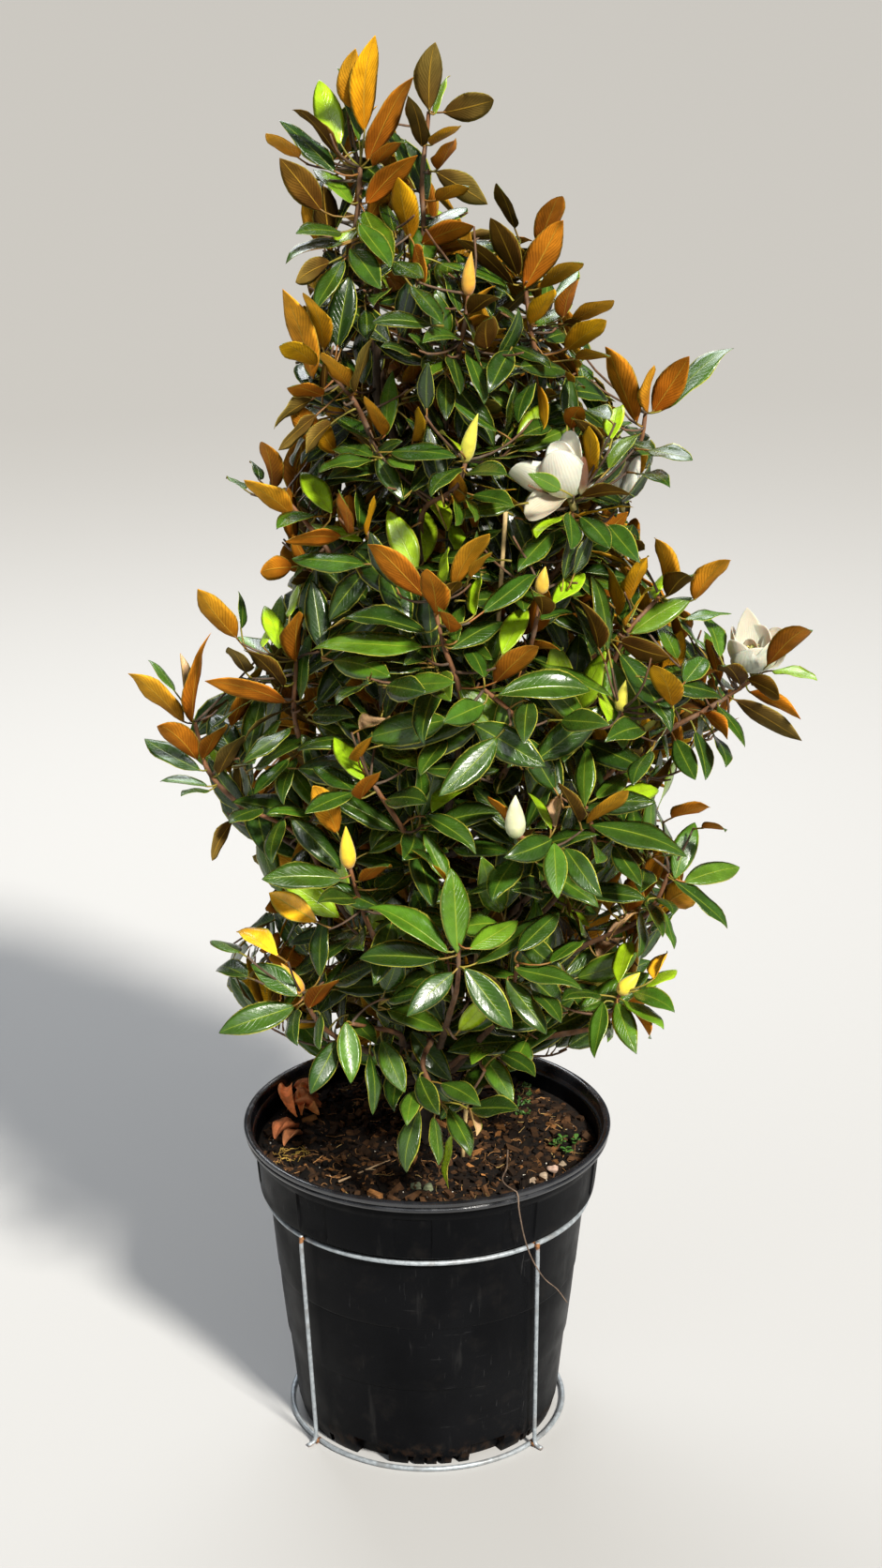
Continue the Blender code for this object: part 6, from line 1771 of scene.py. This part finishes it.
    for i in range(m - 1):
        for j in range(n):
            if not cut[i, j]:
                continue
            faces.append((inner(i, j), inner(i, j + 1), inner(i + 1, j + 1), inner(i + 1, j)))
            if not cut[i, (j - 1) % n]:
                faces.append((idx(i, j), inner(i, j), inner(i + 1, j), idx(i + 1, j)))
            if not cut[i, (j + 1) % n]:
                faces.append((inner(i, j + 1), idx(i, j + 1), idx(i + 1, j + 1), inner(i + 1, j + 1)))
            if i + 1 >= m - 1 or not cut[i + 1, j]:
                faces.append((inner(i + 1, j), inner(i + 1, j + 1), idx(i + 1, j + 1), idx(i + 1, j)))
    # the base
    low = len(verts)
    verts.append([0.0, 0.0, 0.0045])
    ring = []
    for j in range(n):
        a = math.radians(az[j])
        ring.append(len(verts))
        verts.append([0.1600 * math.sin(a), -0.1600 * math.cos(a), 0.0])
    ring2 = []
    for j in range(n):
        a = math.radians(az[j])
        ring2.append(len(verts))
        verts.append([0.1560 * math.sin(a), -0.1560 * math.cos(a), 0.0045])
    for j in range(n):
        j2 = (j + 1) % n
        if cut[0, j]:
            faces.append((ring[j], ring[j2], inner(0, j2), inner(0, j)))
        else:
            faces.append((ring[j], ring[j2], idx(0, j2), idx(0, j)))
        if cut[0, j] != cut[0, (j - 1) % n]:
            faces.append((ring[j], idx(0, j), inner(0, j)))
        faces.append((ring2[j], ring2[j2], ring[j2], ring[j]))
        faces.append((low, ring2[j2], ring2[j]))
    # inside: the wall goes on down behind the mix
    last = m - 1
    hid = []
    for j in range(n):
        a = math.radians(az[j])
        hid.append(len(verts))
        verts.append([0.2330 * math.sin(a), -0.2330 * math.cos(a), 0.385])
    for j in range(n):
        faces.append((idx(last, j), idx(last, j + 1), hid[(j + 1) % n], hid[j]))
    me = bpy.data.meshes.new("v_nursery_pot")
    me.from_pydata(verts, [], faces)
    me.validate()
    me.materials.append(MAT["pot"])
    me.polygons.foreach_set("use_smooth", np.ones(len(me.polygons), bool))
    me.set_sharp_from_angle(angle=math.radians(32))
    ob = bpy.data.objects.new("v_nursery_pot", me)
    scene.collection.objects.link(ob)
    import bmesh
    bm = bmesh.new()
    bm.from_mesh(me)
    bmesh.ops.remove_doubles(bm, verts=bm.verts, dist=0.00002)
    bmesh.ops.recalc_face_normals(bm, faces=bm.faces)
    bm.to_mesh(me)
    bm.free()
    return ob


place(pot_mesh(), "nursery_pot", slot="pot")


# ------------------------------------------------------------------ wire stand
def hoop_piece(name, radius, z, wire, rusts):
    bag = Bag()
    n, sides = 220, 12
    rows, tones = [], []
    for k in range(n):
        a = 2 * math.pi * k / n
        az = math.degrees(a)
        rust = 0.02
        for r_az, r_w in rusts:
            rust = max(rust, 0.85 * math.exp(-(wrap(az - r_az) / r_w) ** 2))
        dz = 0.0006 * math.sin(3 * a + 1.0)
        rr = radius + 0.0005 * math.sin(2 * a + 0.4)
        for j in range(sides):
            b = 2 * math.pi * (j + 0.5) / sides
            r = rr + wire * math.cos(b)
            rows.append((r * math.sin(a), -r * math.cos(a), max(z + wire * math.sin(b) + dz * (z > 0.1), 0.0)))
            tones.append((rust, rust, rust))
    f = []
    for k in range(n):
        k2 = (k + 1) % n
        for j in range(sides):
            j2 = (j + 1) % sides
            f.append((k * sides + j, k2 * sides + j, k2 * sides + j2, k * sides + j2))
    bag.add(rows, f, 0, None, np.array(tones))
    # a pass over the rust spots that adds nothing
    for r_az, r_w in rusts:
        if r_w < 3:
            continue
    return bag


def lump(bag, p, r, tone, squash=(1, 1, 1), seed=0, rings=6, seg=9, m=0):
    """A small uneven ball."""
    v, f = [], []
    r2 = random.Random(seed)
    ph = [r2.uniform(0, 6.28) for _ in range(6)]
    for i in range(1, rings):
        t = math.pi * i / rings
        for j in range(seg):
            a = 2 * math.pi * j / seg
            d = Vector((math.sin(t) * math.cos(a), math.sin(t) * math.sin(a), math.cos(t)))
            k = 1 + 0.16 * math.sin(2.3 * d.x * 2 + ph[0]) + 0.13 * math.sin(3.1 * d.y * 2 + ph[1]) + 0.12 * math.sin(
                2.7 * d.z * 2 + ph[2])
            v.append((p[0] + d.x * r * k * squash[0], p[1] + d.y * r * k * squash[1], p[2] + d.z * r * k * squash[2]))
    top = len(v)
    v.append((p[0], p[1], p[2] + r * squash[2]))
    v.append((p[0], p[1], p[2] - r * squash[2]))
    for i in range(rings - 2):
        for j in range(seg):
            j2 = (j + 1) % seg
            f.append((i * seg + j, (i + 1) * seg + j, (i + 1) * seg + j2, i * seg + j2))
    for j in range(seg):
        j2 = (j + 1) % seg
        f.append((top, j, j2, -1))
        f.append((top + 1, (rings - 2) * seg + j2, (rings - 2) * seg + j, -1))
    bag.add(v, f, m, None, tone)


leg_top = [a for a, b in LEG_AZ]
leg_low = [b for a, b in LEG_AZ]
bag = hoop_piece("v_stand_top_hoop", TOP_HOOP_R, TOP_HOOP_Z, HOOP_WIRE, [(a, 1.1) for a in leg_top] + [(200, 1.2)])
place(bag.make("v_stand_top_hoop", ["wire"]), "stand_top_hoop", slot="wire")
bag = hoop_piece("v_stand_bottom_hoop", BOTTOM_HOOP_R, HOOP_WIRE, HOOP_WIRE, [(a, 1.3) for a in leg_low] + [(160, 1.6)])
place(bag.make("v_stand_bottom_hoop", ["wire"]), "stand_bottom_hoop", slot="wire")

LEG_STEP = HOOP_WIRE + LEG_WIRE + 0.0004
for i, (az, foot_az) in enumerate(LEG_AZ):
    a, b = math.radians(az), math.radians(foot_az)
    out = Vector((math.sin(a), -math.cos(a), 0))
    foot = Vector((math.sin(b), -math.cos(b), 0))
    path = [out * (TOP_HOOP_R + LEG_STEP) + Vector((0, 0, TOP_HOOP_Z + 0.006)),
            out * (TOP_HOOP_R + LEG_STEP) + Vector((0, 0, TOP_HOOP_Z - 0.012)),
            foot * (BOTTOM_HOOP_R + LEG_STEP) + Vector((0, 0, 0.030)),
            foot * (BOTTOM_HOOP_R + LEG_STEP + 0.0002) + Vector((0, 0, 0.009)),
            foot * (BOTTOM_HOOP_R + LEG_STEP + 0.0045) + Vector((0, 0, LEG_WIRE + 0.0002)),
            foot * (BOTTOM_HOOP_R + LEG_STEP + 0.0140) + Vector((0, 0, LEG_WIRE))]
    pts = []
    for p, q in zip(path, path[1:]):
        steps = max(2, int((q - p).length / 0.006))
        pts += [p.lerp(q, k / steps) for k in range(steps)]
    pts.append(path[-1])
    sm = [pts[0]] + [(pts[k - 1] + pts[k] * 2 + pts[k + 1]) / 4 for k in range(1, len(pts) - 1)] + [pts[-1]]
    v, f, uv = tube(sm, [LEG_WIRE] * len(sm), 10)
    v[:, 2] = np.maximum(v[:, 2], 0.0)
    bag = Bag()
    zz = v[:, 2]
    rust = np.maximum(0.9 * np.exp(-((zz - TOP_HOOP_Z) / 0.007) ** 2), 0.50 * np.exp(-(zz / 0.006) ** 2))
    rust = np.maximum(rust, 0.05)
    bag.add(v, f, 0, uv, np.repeat(rust[:, None], 3, axis=1))
    lump(bag, out * (TOP_HOOP_R + LEG_STEP * 0.75) + Vector((0, 0, TOP_HOOP_Z + 0.0005)), 0.0042, (0.9, 0.9, 0.9),
         (1, 1, 0.9), i + 3)
    lump(bag, foot * (BOTTOM_HOOP_R + LEG_STEP * 0.75) + Vector((0, 0, HOOP_WIRE + 0.0009)), 0.0042, (0.9, 0.9, 0.9),
         (1, 1, 0.85), i + 13)
    place(bag.make("v_stand_leg_%d" % (i + 1), ["wire"]), "stand_leg_%d" % (i + 1), slot="wire")


# ------------------------------------------------------------------ potting mix
def soil_top(x, y):
    r = math.hypot(x, y)
    if r < 0.05:
        return SOIL_Z + SOIL_MOUND
    if r < 0.15:
        return SOIL_Z + SOIL_MOUND + (0.004 - SOIL_MOUND) * (r - 0.05) / 0.10
    return SOIL_Z + 0.004 * (1 - (r - 0.15) / 0.091)


def soil_px(col, row):
    y = -0.2
    for _ in range(30):
        p = px(col, row, y)
        y += (p.z - soil_top(p.x, p.y)) * 2.0
    p = px(col, row, y)
    return Vector((p.x, p.y, soil_top(p.x, p.y)))


def lumpy(x, y):
    return (0.0022 * math.sin(31 * x + 1.3) * math.sin(27 * y + 0.4) + 0.0015 * math.sin(83 * x - 0.7 + 20 * y)
            + 0.0013 * math.sin(97 * y + 2.1 - 31 * x) + 0.0008 * math.sin(211 * x + 1) * math.sin(199 * y + 2))


bag = Bag()
rings, seg = 74, 200
v, f = [], []
for i in range(rings + 1):
    r = 0.2412 * i / rings
    for j in range(seg):
        a = 2 * math.pi * j / seg
        x, y = r * math.sin(a), -r * math.cos(a)
        edge = min(1.0, (0.2412 - r) / 0.01)
        v.append((x, y, soil_top(x, y) - 0.0015 + lumpy(x, y) * edge + rng.normal(0, 0.0006) * edge))
for i in range(rings):
    for j in range(seg):
        j2 = (j + 1) % seg
        f.append((i * seg + j, i * seg + j2, (i + 1) * seg + j2, (i + 1) * seg + j))
low = len(v)
for j in range(seg):
    a = 2 * math.pi * j / seg
    v.append((0.236 * math.sin(a), -0.236 * math.cos(a), 0.385))
for j in range(seg):
    j2 = (j + 1) % seg
    f.append((rings * seg + j, rings * seg + j2, low + j2, low + j))
bag.add(v, f, 0, None, (0.1, 0.06, 0.03))

# bark chips and fibres
CHIP_TONES = [(0.020, 0.011, 0.006), (0.034, 0.018, 0.009), (0.060, 0.030, 0.013), (0.11, 0.052, 0.020), (0.16, 0.075, 0.030),
              (0.012, 0.008, 0.005), (0.24, 0.105, 0.032)]
for k in range(2600):
    r = 0.236 * math.sqrt(rng.random())
    a = rng.uniform(0, 2 * math.pi)
    x, y = r * math.sin(a), -r * math.cos(a)
    size = rng.uniform(0.0022, 0.0065) * (0.6 + 0.8 * rng.random() ** 2)
    h = soil_top(x, y) + lumpy(x, y) - 0.0006
    long_, wide, tall = size * rng.uniform(0.8, 1.7), size * rng.uniform(0.35, 0.8), size * rng.uniform(0.22, 0.5)
    if r + long_ > 0.238:
        continue
    yaw, pitch = rng.uniform(0, 2 * math.pi), rng.normal(0, 0.35)
    M = np.array(Matrix.Rotation(yaw, 3, "Z") @ Matrix.Rotation(pitch, 3, "Y") @ Matrix.Rotation(rng.normal(0, 0.3), 3, "X"))
    cube = np.array([(sx, sy, sz) for sz in (-1, 1) for sy in (-1, 1) for sx in (-1, 1)], float)
    cube *= np.array([long_, wide, tall]) * (1 + rng.uniform(-0.28, 0.28, (8, 3)))
    p = cube @ M.T + np.array([x, y, h + tall * 0.7])
    q = [(0, 2, 3, 1), (4, 5, 7, 6), (0, 1, 5, 4), (2, 6, 7, 3), (0, 4, 6, 2), (1, 3, 7, 5)]
    t = CHIP_TONES[int(rng.integers(0, 6)) if rng.random() < 0.95 else 6]
    bag.add(p, q, 1, None, np.array(t) * rng.uniform(0.20, 0.60) * (1.0 if t[0] < 0.2 else 2.1))
for k in range(260):
    r = 0.225 * math.sqrt(rng.random())
    a = rng.uniform(0, 2 * math.pi)
    p0 = Vector((r * math.sin(a), -r * math.cos(a), 0))
    d = Vector((rng.normal(), rng.normal(), 0)).normalized()
    L = rng.uniform(0.008, 0.030)
    pts = []
    turn = rng.normal(0, 0.9)
    for i in range(5):
        q = p0 + d * (L * i / 4)
        d = Matrix.Rotation(turn / 4, 3, "Z") @ d
        if math.hypot(q.x, q.y) > 0.236:
            break
        pts.append(Vector((q.x, q.y, soil_top(q.x, q.y) + lumpy(q.x, q.y) + 0.0022 + 0.0012 * math.sin(i * 1.7 + k))))
    if len(pts) < 3:
        continue
    v, f, uv = tube(pts, [0.00035 + 0.0004 * rng.random()] * len(pts), 4)
    t = (0.30, 0.15, 0.055) if k % 5 else (0.42, 0.28, 0.10)
    bag.add(v, f, 1, uv, np.array(t) * rng.uniform(0.5, 1.2))
# yellow fibrous roots at the left
for k in range(16):
    s = soil_px(296 + 20 * rng.random(), 1227 + 12 * rng.random())
    d = Vector((rng.normal(), rng.normal() * 0.6, 0)).normalized()
    pts = []
    for i in range(6):
        q = s + d * (0.004 * i)
        d = Matrix.Rotation(rng.normal(0, 0.5), 3, "Z") @ d
        if math.hypot(q.x, q.y) > 0.235:
            break
        pts.append(Vector((q.x, q.y, soil_top(q.x, q.y) + 0.0035 + 0.0012 * math.sin(i + k))))
    if len(pts) > 2:
        v, f, uv = tube(pts, [0.0005] * len(pts), 4)
        bag.add(v, f, 1, uv, vary((0.42, 0.27, 0.06), 0.2))
# white specks
for k in range(120):
    r = 0.23 * math.sqrt(rng.random())
    a = rng.uniform(0, 2 * math.pi)
    x, y = r * math.sin(a), -r * math.cos(a)
    lump(bag, (x, y, soil_top(x, y) + lumpy(x, y) + 0.0008), rng.uniform(0.0006, 0.0013), (0.45, 0.42, 0.36), seed=k, rings=4, seg=5,
         m=1)
place(bag.make("v_potting_mix", ["soil", "chip"], sharp=40), "potting_mix", slot="soil")

# pebbles
bag = Bag()
for k, (c, r, s) in enumerate([(567, 1262, 0.0058), (580, 1257, 0.0060), (590, 1250, 0.0068), (600, 1244, 0.0052)]):
    p = soil_px(c, r)
    lump(bag, p + Vector((0, 0, s * 0.75)), s, vary((0.36, 0.27, 0.19), 0.15), (1.15, 0.9, 0.75), seed=k, rings=9, seg=14)
place(bag.make("v_tan_stones", ["stone"]), "tan_stones", slot="stone")
bag = Bag()
for k, (c, r, s) in enumerate([(444, 1268, 0.0062), (457, 1270, 0.0066)]):
    p = soil_px(c, r)
    lump(bag, p + Vector((0, 0, s * 0.75)), s, vary((0.13, 0.15, 0.09), 0.1), (1.2, 0.95, 0.75), seed=k + 20, rings=9, seg=14)
place(bag.make("v_mossy_stones", ["stone"]), "mossy_stones", slot="moss")


# dry curled leaves
def dry_leaf(bag, tip, base, n, half, tone, fold=-1.1, arch=0.16, seed=0):
    v = leaf_points(FINE, base, tip, n, half, arch=arch, fold=fold, wave=0.25, phase=seed * 0.3, twist=0.5, bend=0.05, thick=0.0010)
    bag.add(v, FINE[3], FINE[4] * 0, FINE_UV, tone)


up = Vector((0, 0, 1))
bag = Bag()
b, t = soil_px(346, 1186) + Vector((0, 0, 0.006)), soil_px(306, 1190) + Vector((0, 0, 0.010))
dry_leaf(bag, t, b, up, 0.016, (0.66, 0.235, 0.085), seed=1)
b, t = soil_px(340, 1176) + Vector((0, 0, 0.009)), soil_px(312, 1172) + Vector((0, 0, 0.018))
dry_leaf(bag, t, b, (up + Vector((0, -0.6, 0))).normalized(), 0.013, (0.58, 0.20, 0.075), seed=2)
for k, (tc, tr, bc, br, h, w) in enumerate([(307, 1171, 317, 1199, 0.012, 0.011), (330, 1172, 322, 1196, 0.010, 0.010),
                                            (341, 1196, 322, 1188, 0.007, 0.009)]):
    b, t = soil_px(bc, br) + Vector((0, 0, h)), soil_px(tc, tr) + Vector((0, 0, h + 0.004))
    dry_leaf(bag, t, b, (up + Vector((0.2 * k - 0.2, -0.5, 0))).normalized(), w, (0.95 - 0.10 * k, 0.30, 0.085), seed=5 + k)
place(bag.make("v_dead_leaf_1", ["dead"]), "dead_leaf_1", slot="dead")
bag = Bag()
b, t = soil_px(318, 1206) + Vector((0, 0, 0.006)), soil_px(293, 1220) + Vector((0, 0, 0.008))
dry_leaf(bag, t, b, up, 0.013, (0.62, 0.20, 0.075), seed=3)
b, t = soil_px(322, 1212) + Vector((0, 0, 0.004)), soil_px(303, 1226) + Vector((0, 0, 0.006))
dry_leaf(bag, t, b, up, 0.009, (0.52, 0.20, 0.08), seed=4)
place(bag.make("v_dead_leaf_2", ["dead"]), "dead_leaf_2", slot="dead")

# forked dry twig
bag = Bag()
tw = [soil_px(c, r) + Vector((0, 0, 0.0042)) for c, r in [(361, 1263), (378, 1256), (396, 1248), (416, 1240)]]
pts = smooth_path(tw, 14)
v, f, uv = tube(pts, np.linspace(0.0016, 0.0009, 14) * (1 + 0.15 * np.sin(np.arange(14) * 2.1)), 7)
bag.add(v, f, 0, uv, (0.40, 0.27, 0.15))
p = Vector(pts[6])
v, f, uv = tube([p, p + Vector((0.008, 0.004, 0.0015)), p + Vector((0.018, 0.004, 0.001))], [0.0011, 0.0009, 0.0005], 6)
bag.add(v, f, 0, uv, (0.38, 0.26, 0.14))
place(bag.make("v_dry_twig", ["dead"]), "dry_twig", slot="dry")

# weed seedlings
bag = Bag()


def seedling(p, h, seed):
    r2 = random.Random(seed)
    v, f, uv = tube([p, p + Vector((0.001, 0, h * 0.5)), p + Vector((0.0015, 0.0005, h))], [0.0008, 0.0007, 0.0005], 5)
    bag.add(v, f, 0, uv, (0.12, 0.20, 0.03))
    for k in range(6):
        a = k * 2.4 + seed
        q = p + Vector((0.0012, 0, h * (0.35 + 0.12 * k)))
        d = Vector((math.cos(a), math.sin(a), 0.35)).normalized()
        L = r2.uniform(0.007, 0.012)
        vv = leaf_points(PLAIN, q, q + d * L, up, L * 0.36, arch=0.08, fold=-0.2, wave=0.1, thick=0.0004)
        bag.add(vv, PLAIN[3], PLAIN[4] * 0, PLAIN_UV, vary((0.045, 0.13, 0.020), 0.30))


for k, (c, r) in enumerate([(603, 1232), (592, 1226), (613, 1222), (598, 1222)]):
    seedling(soil_px(c, r), 0.012 + 0.003 * (k % 2), k)
# mossy patch at the back of the mix
for k in range(150):
    c, r = 551 + 15 * rng.random(), 1157 + 33 * rng.random()
    p = soil_px(c, r)
    d = Vector((rng.normal(), rng.normal(), 1.5)).normalized()
    L = rng.uniform(0.003, 0.007)
    vv = leaf_points(PLAIN, p, p + d * L, Vector((0.2, -1, 0.3)), L * 0.3, thick=0.0003)
    bag.add(vv, PLAIN[3], PLAIN[4] * 0, PLAIN_UV, vary((0.05, 0.13, 0.018), 0.3))
place(bag.make("v_weed_sprout", ["weed"]), "weed_sprout", slot="moss")

# dry stem over the rim
over = [soil_px(542, 1225) + Vector((0, 0, 0.004)), soil_px(541, 1250) + Vector((0, 0, 0.012)),
        px_round(548, 1271, 0.2540), px_round(550.5, 1280, 0.2585), px_round(553.5, 1289, 0.2645), px_round(561, 1325, 0.2620),
        px_round(570.5, 1348, 0.2570), px_round(584, 1366.5, 0.2560), px_round(592.6, 1373, 0.2580),
        px_round(605, 1389, 0.2600)]
for p in over:
    r = math.hypot(p.x, p.y)
    if 0.245 < r < 0.2625 and p.z > 0.440:
        p.z = max(p.z, RIM_Z + 0.0022)
bag = Bag()
pts = smooth_path(over, 60)
v, f, uv = tube(pts, np.linspace(0.0013, 0.0008, 60), 6)
bag.add(v, f, 0, uv, (0.150, 0.105, 0.075))
place(bag.make("v_dry_stem", ["dead"]), "dry_stem", slot="dry")

# cane stake
bag = Bag()
c0, c1 = Vector((0.050, -0.060, SOIL_Z + 0.0020)), px(539.5, 546, -0.150)
n = 46
rr = [0.0029 * (1 + (0.16 if k % 9 == 4 else 0.0)) for k in range(n)]
v, f, uv = tube([c0.lerp(c1, k / (n - 1)) for k in range(n)], rr, 10)
bag.add(v, f, 0, uv, (0.66, 0.48, 0.22))
place(bag.make("v_cane_stake", ["cane"]), "cane_stake", slot="cane")

# the rolled rim is rubbed smoother than the wall
pot_me = bpy.data.objects["v_nursery_pot"].data
pot_me.materials.append(pot_mat("nursery_pot_rim", rim=True))
for poly in pot_me.polygons:
    c = poly.center
    if c.z > 0.4345 and math.hypot(c.x, c.y) > 0.243:
        poly.material_index = len(pot_me.materials) - 1

# ------------------------------------------------------------------ floor and light
floor_me = bpy.data.meshes.new("floor")
ring = [(90.0 * math.cos(math.pi * k / 24), 90.0 * math.sin(math.pi * k / 24), -0.0006) for k in range(48)]
floor_me.from_pydata([(0.0, 0.0, -0.0006)] + ring, [], [(0, k + 1, (k + 1) % 48 + 1) for k in range(48)])
F = floor_me.polygons
floor_me.polygons.foreach_set("use_smooth", np.ones(len(F), bool))
fm = Net("studio_floor")
fm.done(Base_Color=(0.45, 0.45, 0.445), Roughness=0.75, Specular_IOR_Level=0.2)
floor_me.materials.append(fm.mat)
floor = bpy.data.objects.new("floor", floor_me)
scene.collection.objects.link(floor)


def area(name, loc, aim, size, power, color=(1, 1, 1)):
    L = bpy.data.lights.new(name, "AREA")
    L.shape = "RECTANGLE"
    L.size, L.size_y = size
    L.energy = power
    L.color = color
    o = bpy.data.objects.new(name, L)
    o.location = loc
    o.rotation_euler = (Vector(aim) - Vector(loc)).to_track_quat("-Z", "Y").to_euler()
    scene.collection.objects.link(o)
    return o


sun = bpy.data.lights.new("key", "SUN")
sun.energy = 6.3
sun.angle = math.radians(8.0)
sun.color = (1.0, 0.955, 0.88)
so = bpy.data.objects.new("key", sun)
so.location = (2.3, -2.6, 4.2)
so.rotation_euler = Vector((-1.75, 2.9, -2.95)).to_track_quat("-Z", "Y").to_euler()
scene.collection.objects.link(so)
area("fill", (-3.2, -2.6, 2.2), (0, 0, 1.0), (3.0, 3.0), 24, (0.92, 0.96, 1.0))
area("top", (0.3, -3.3, 4.9), (0, 0, 1.0), (4.0, 1.6), 50, (0.93, 0.96, 1.0))
area("back", (-0.6, 3.4, 4.4), (0, 0, 1.2), (3.2, 2.4), 190, (0.93, 0.96, 1.0))

world = bpy.data.worlds.new("studio")
scene.world = world
world.use_nodes = True
world.node_tree.nodes["Background"].inputs["Color"].default_value = (0.93, 0.95, 1.0, 1.0)
world.node_tree.nodes["Background"].inputs["Strength"].default_value = 0.10

scene.view_settings.view_transform = "Standard"
scene.view_settings.look = "None"
scene.view_settings.exposure = 0.0
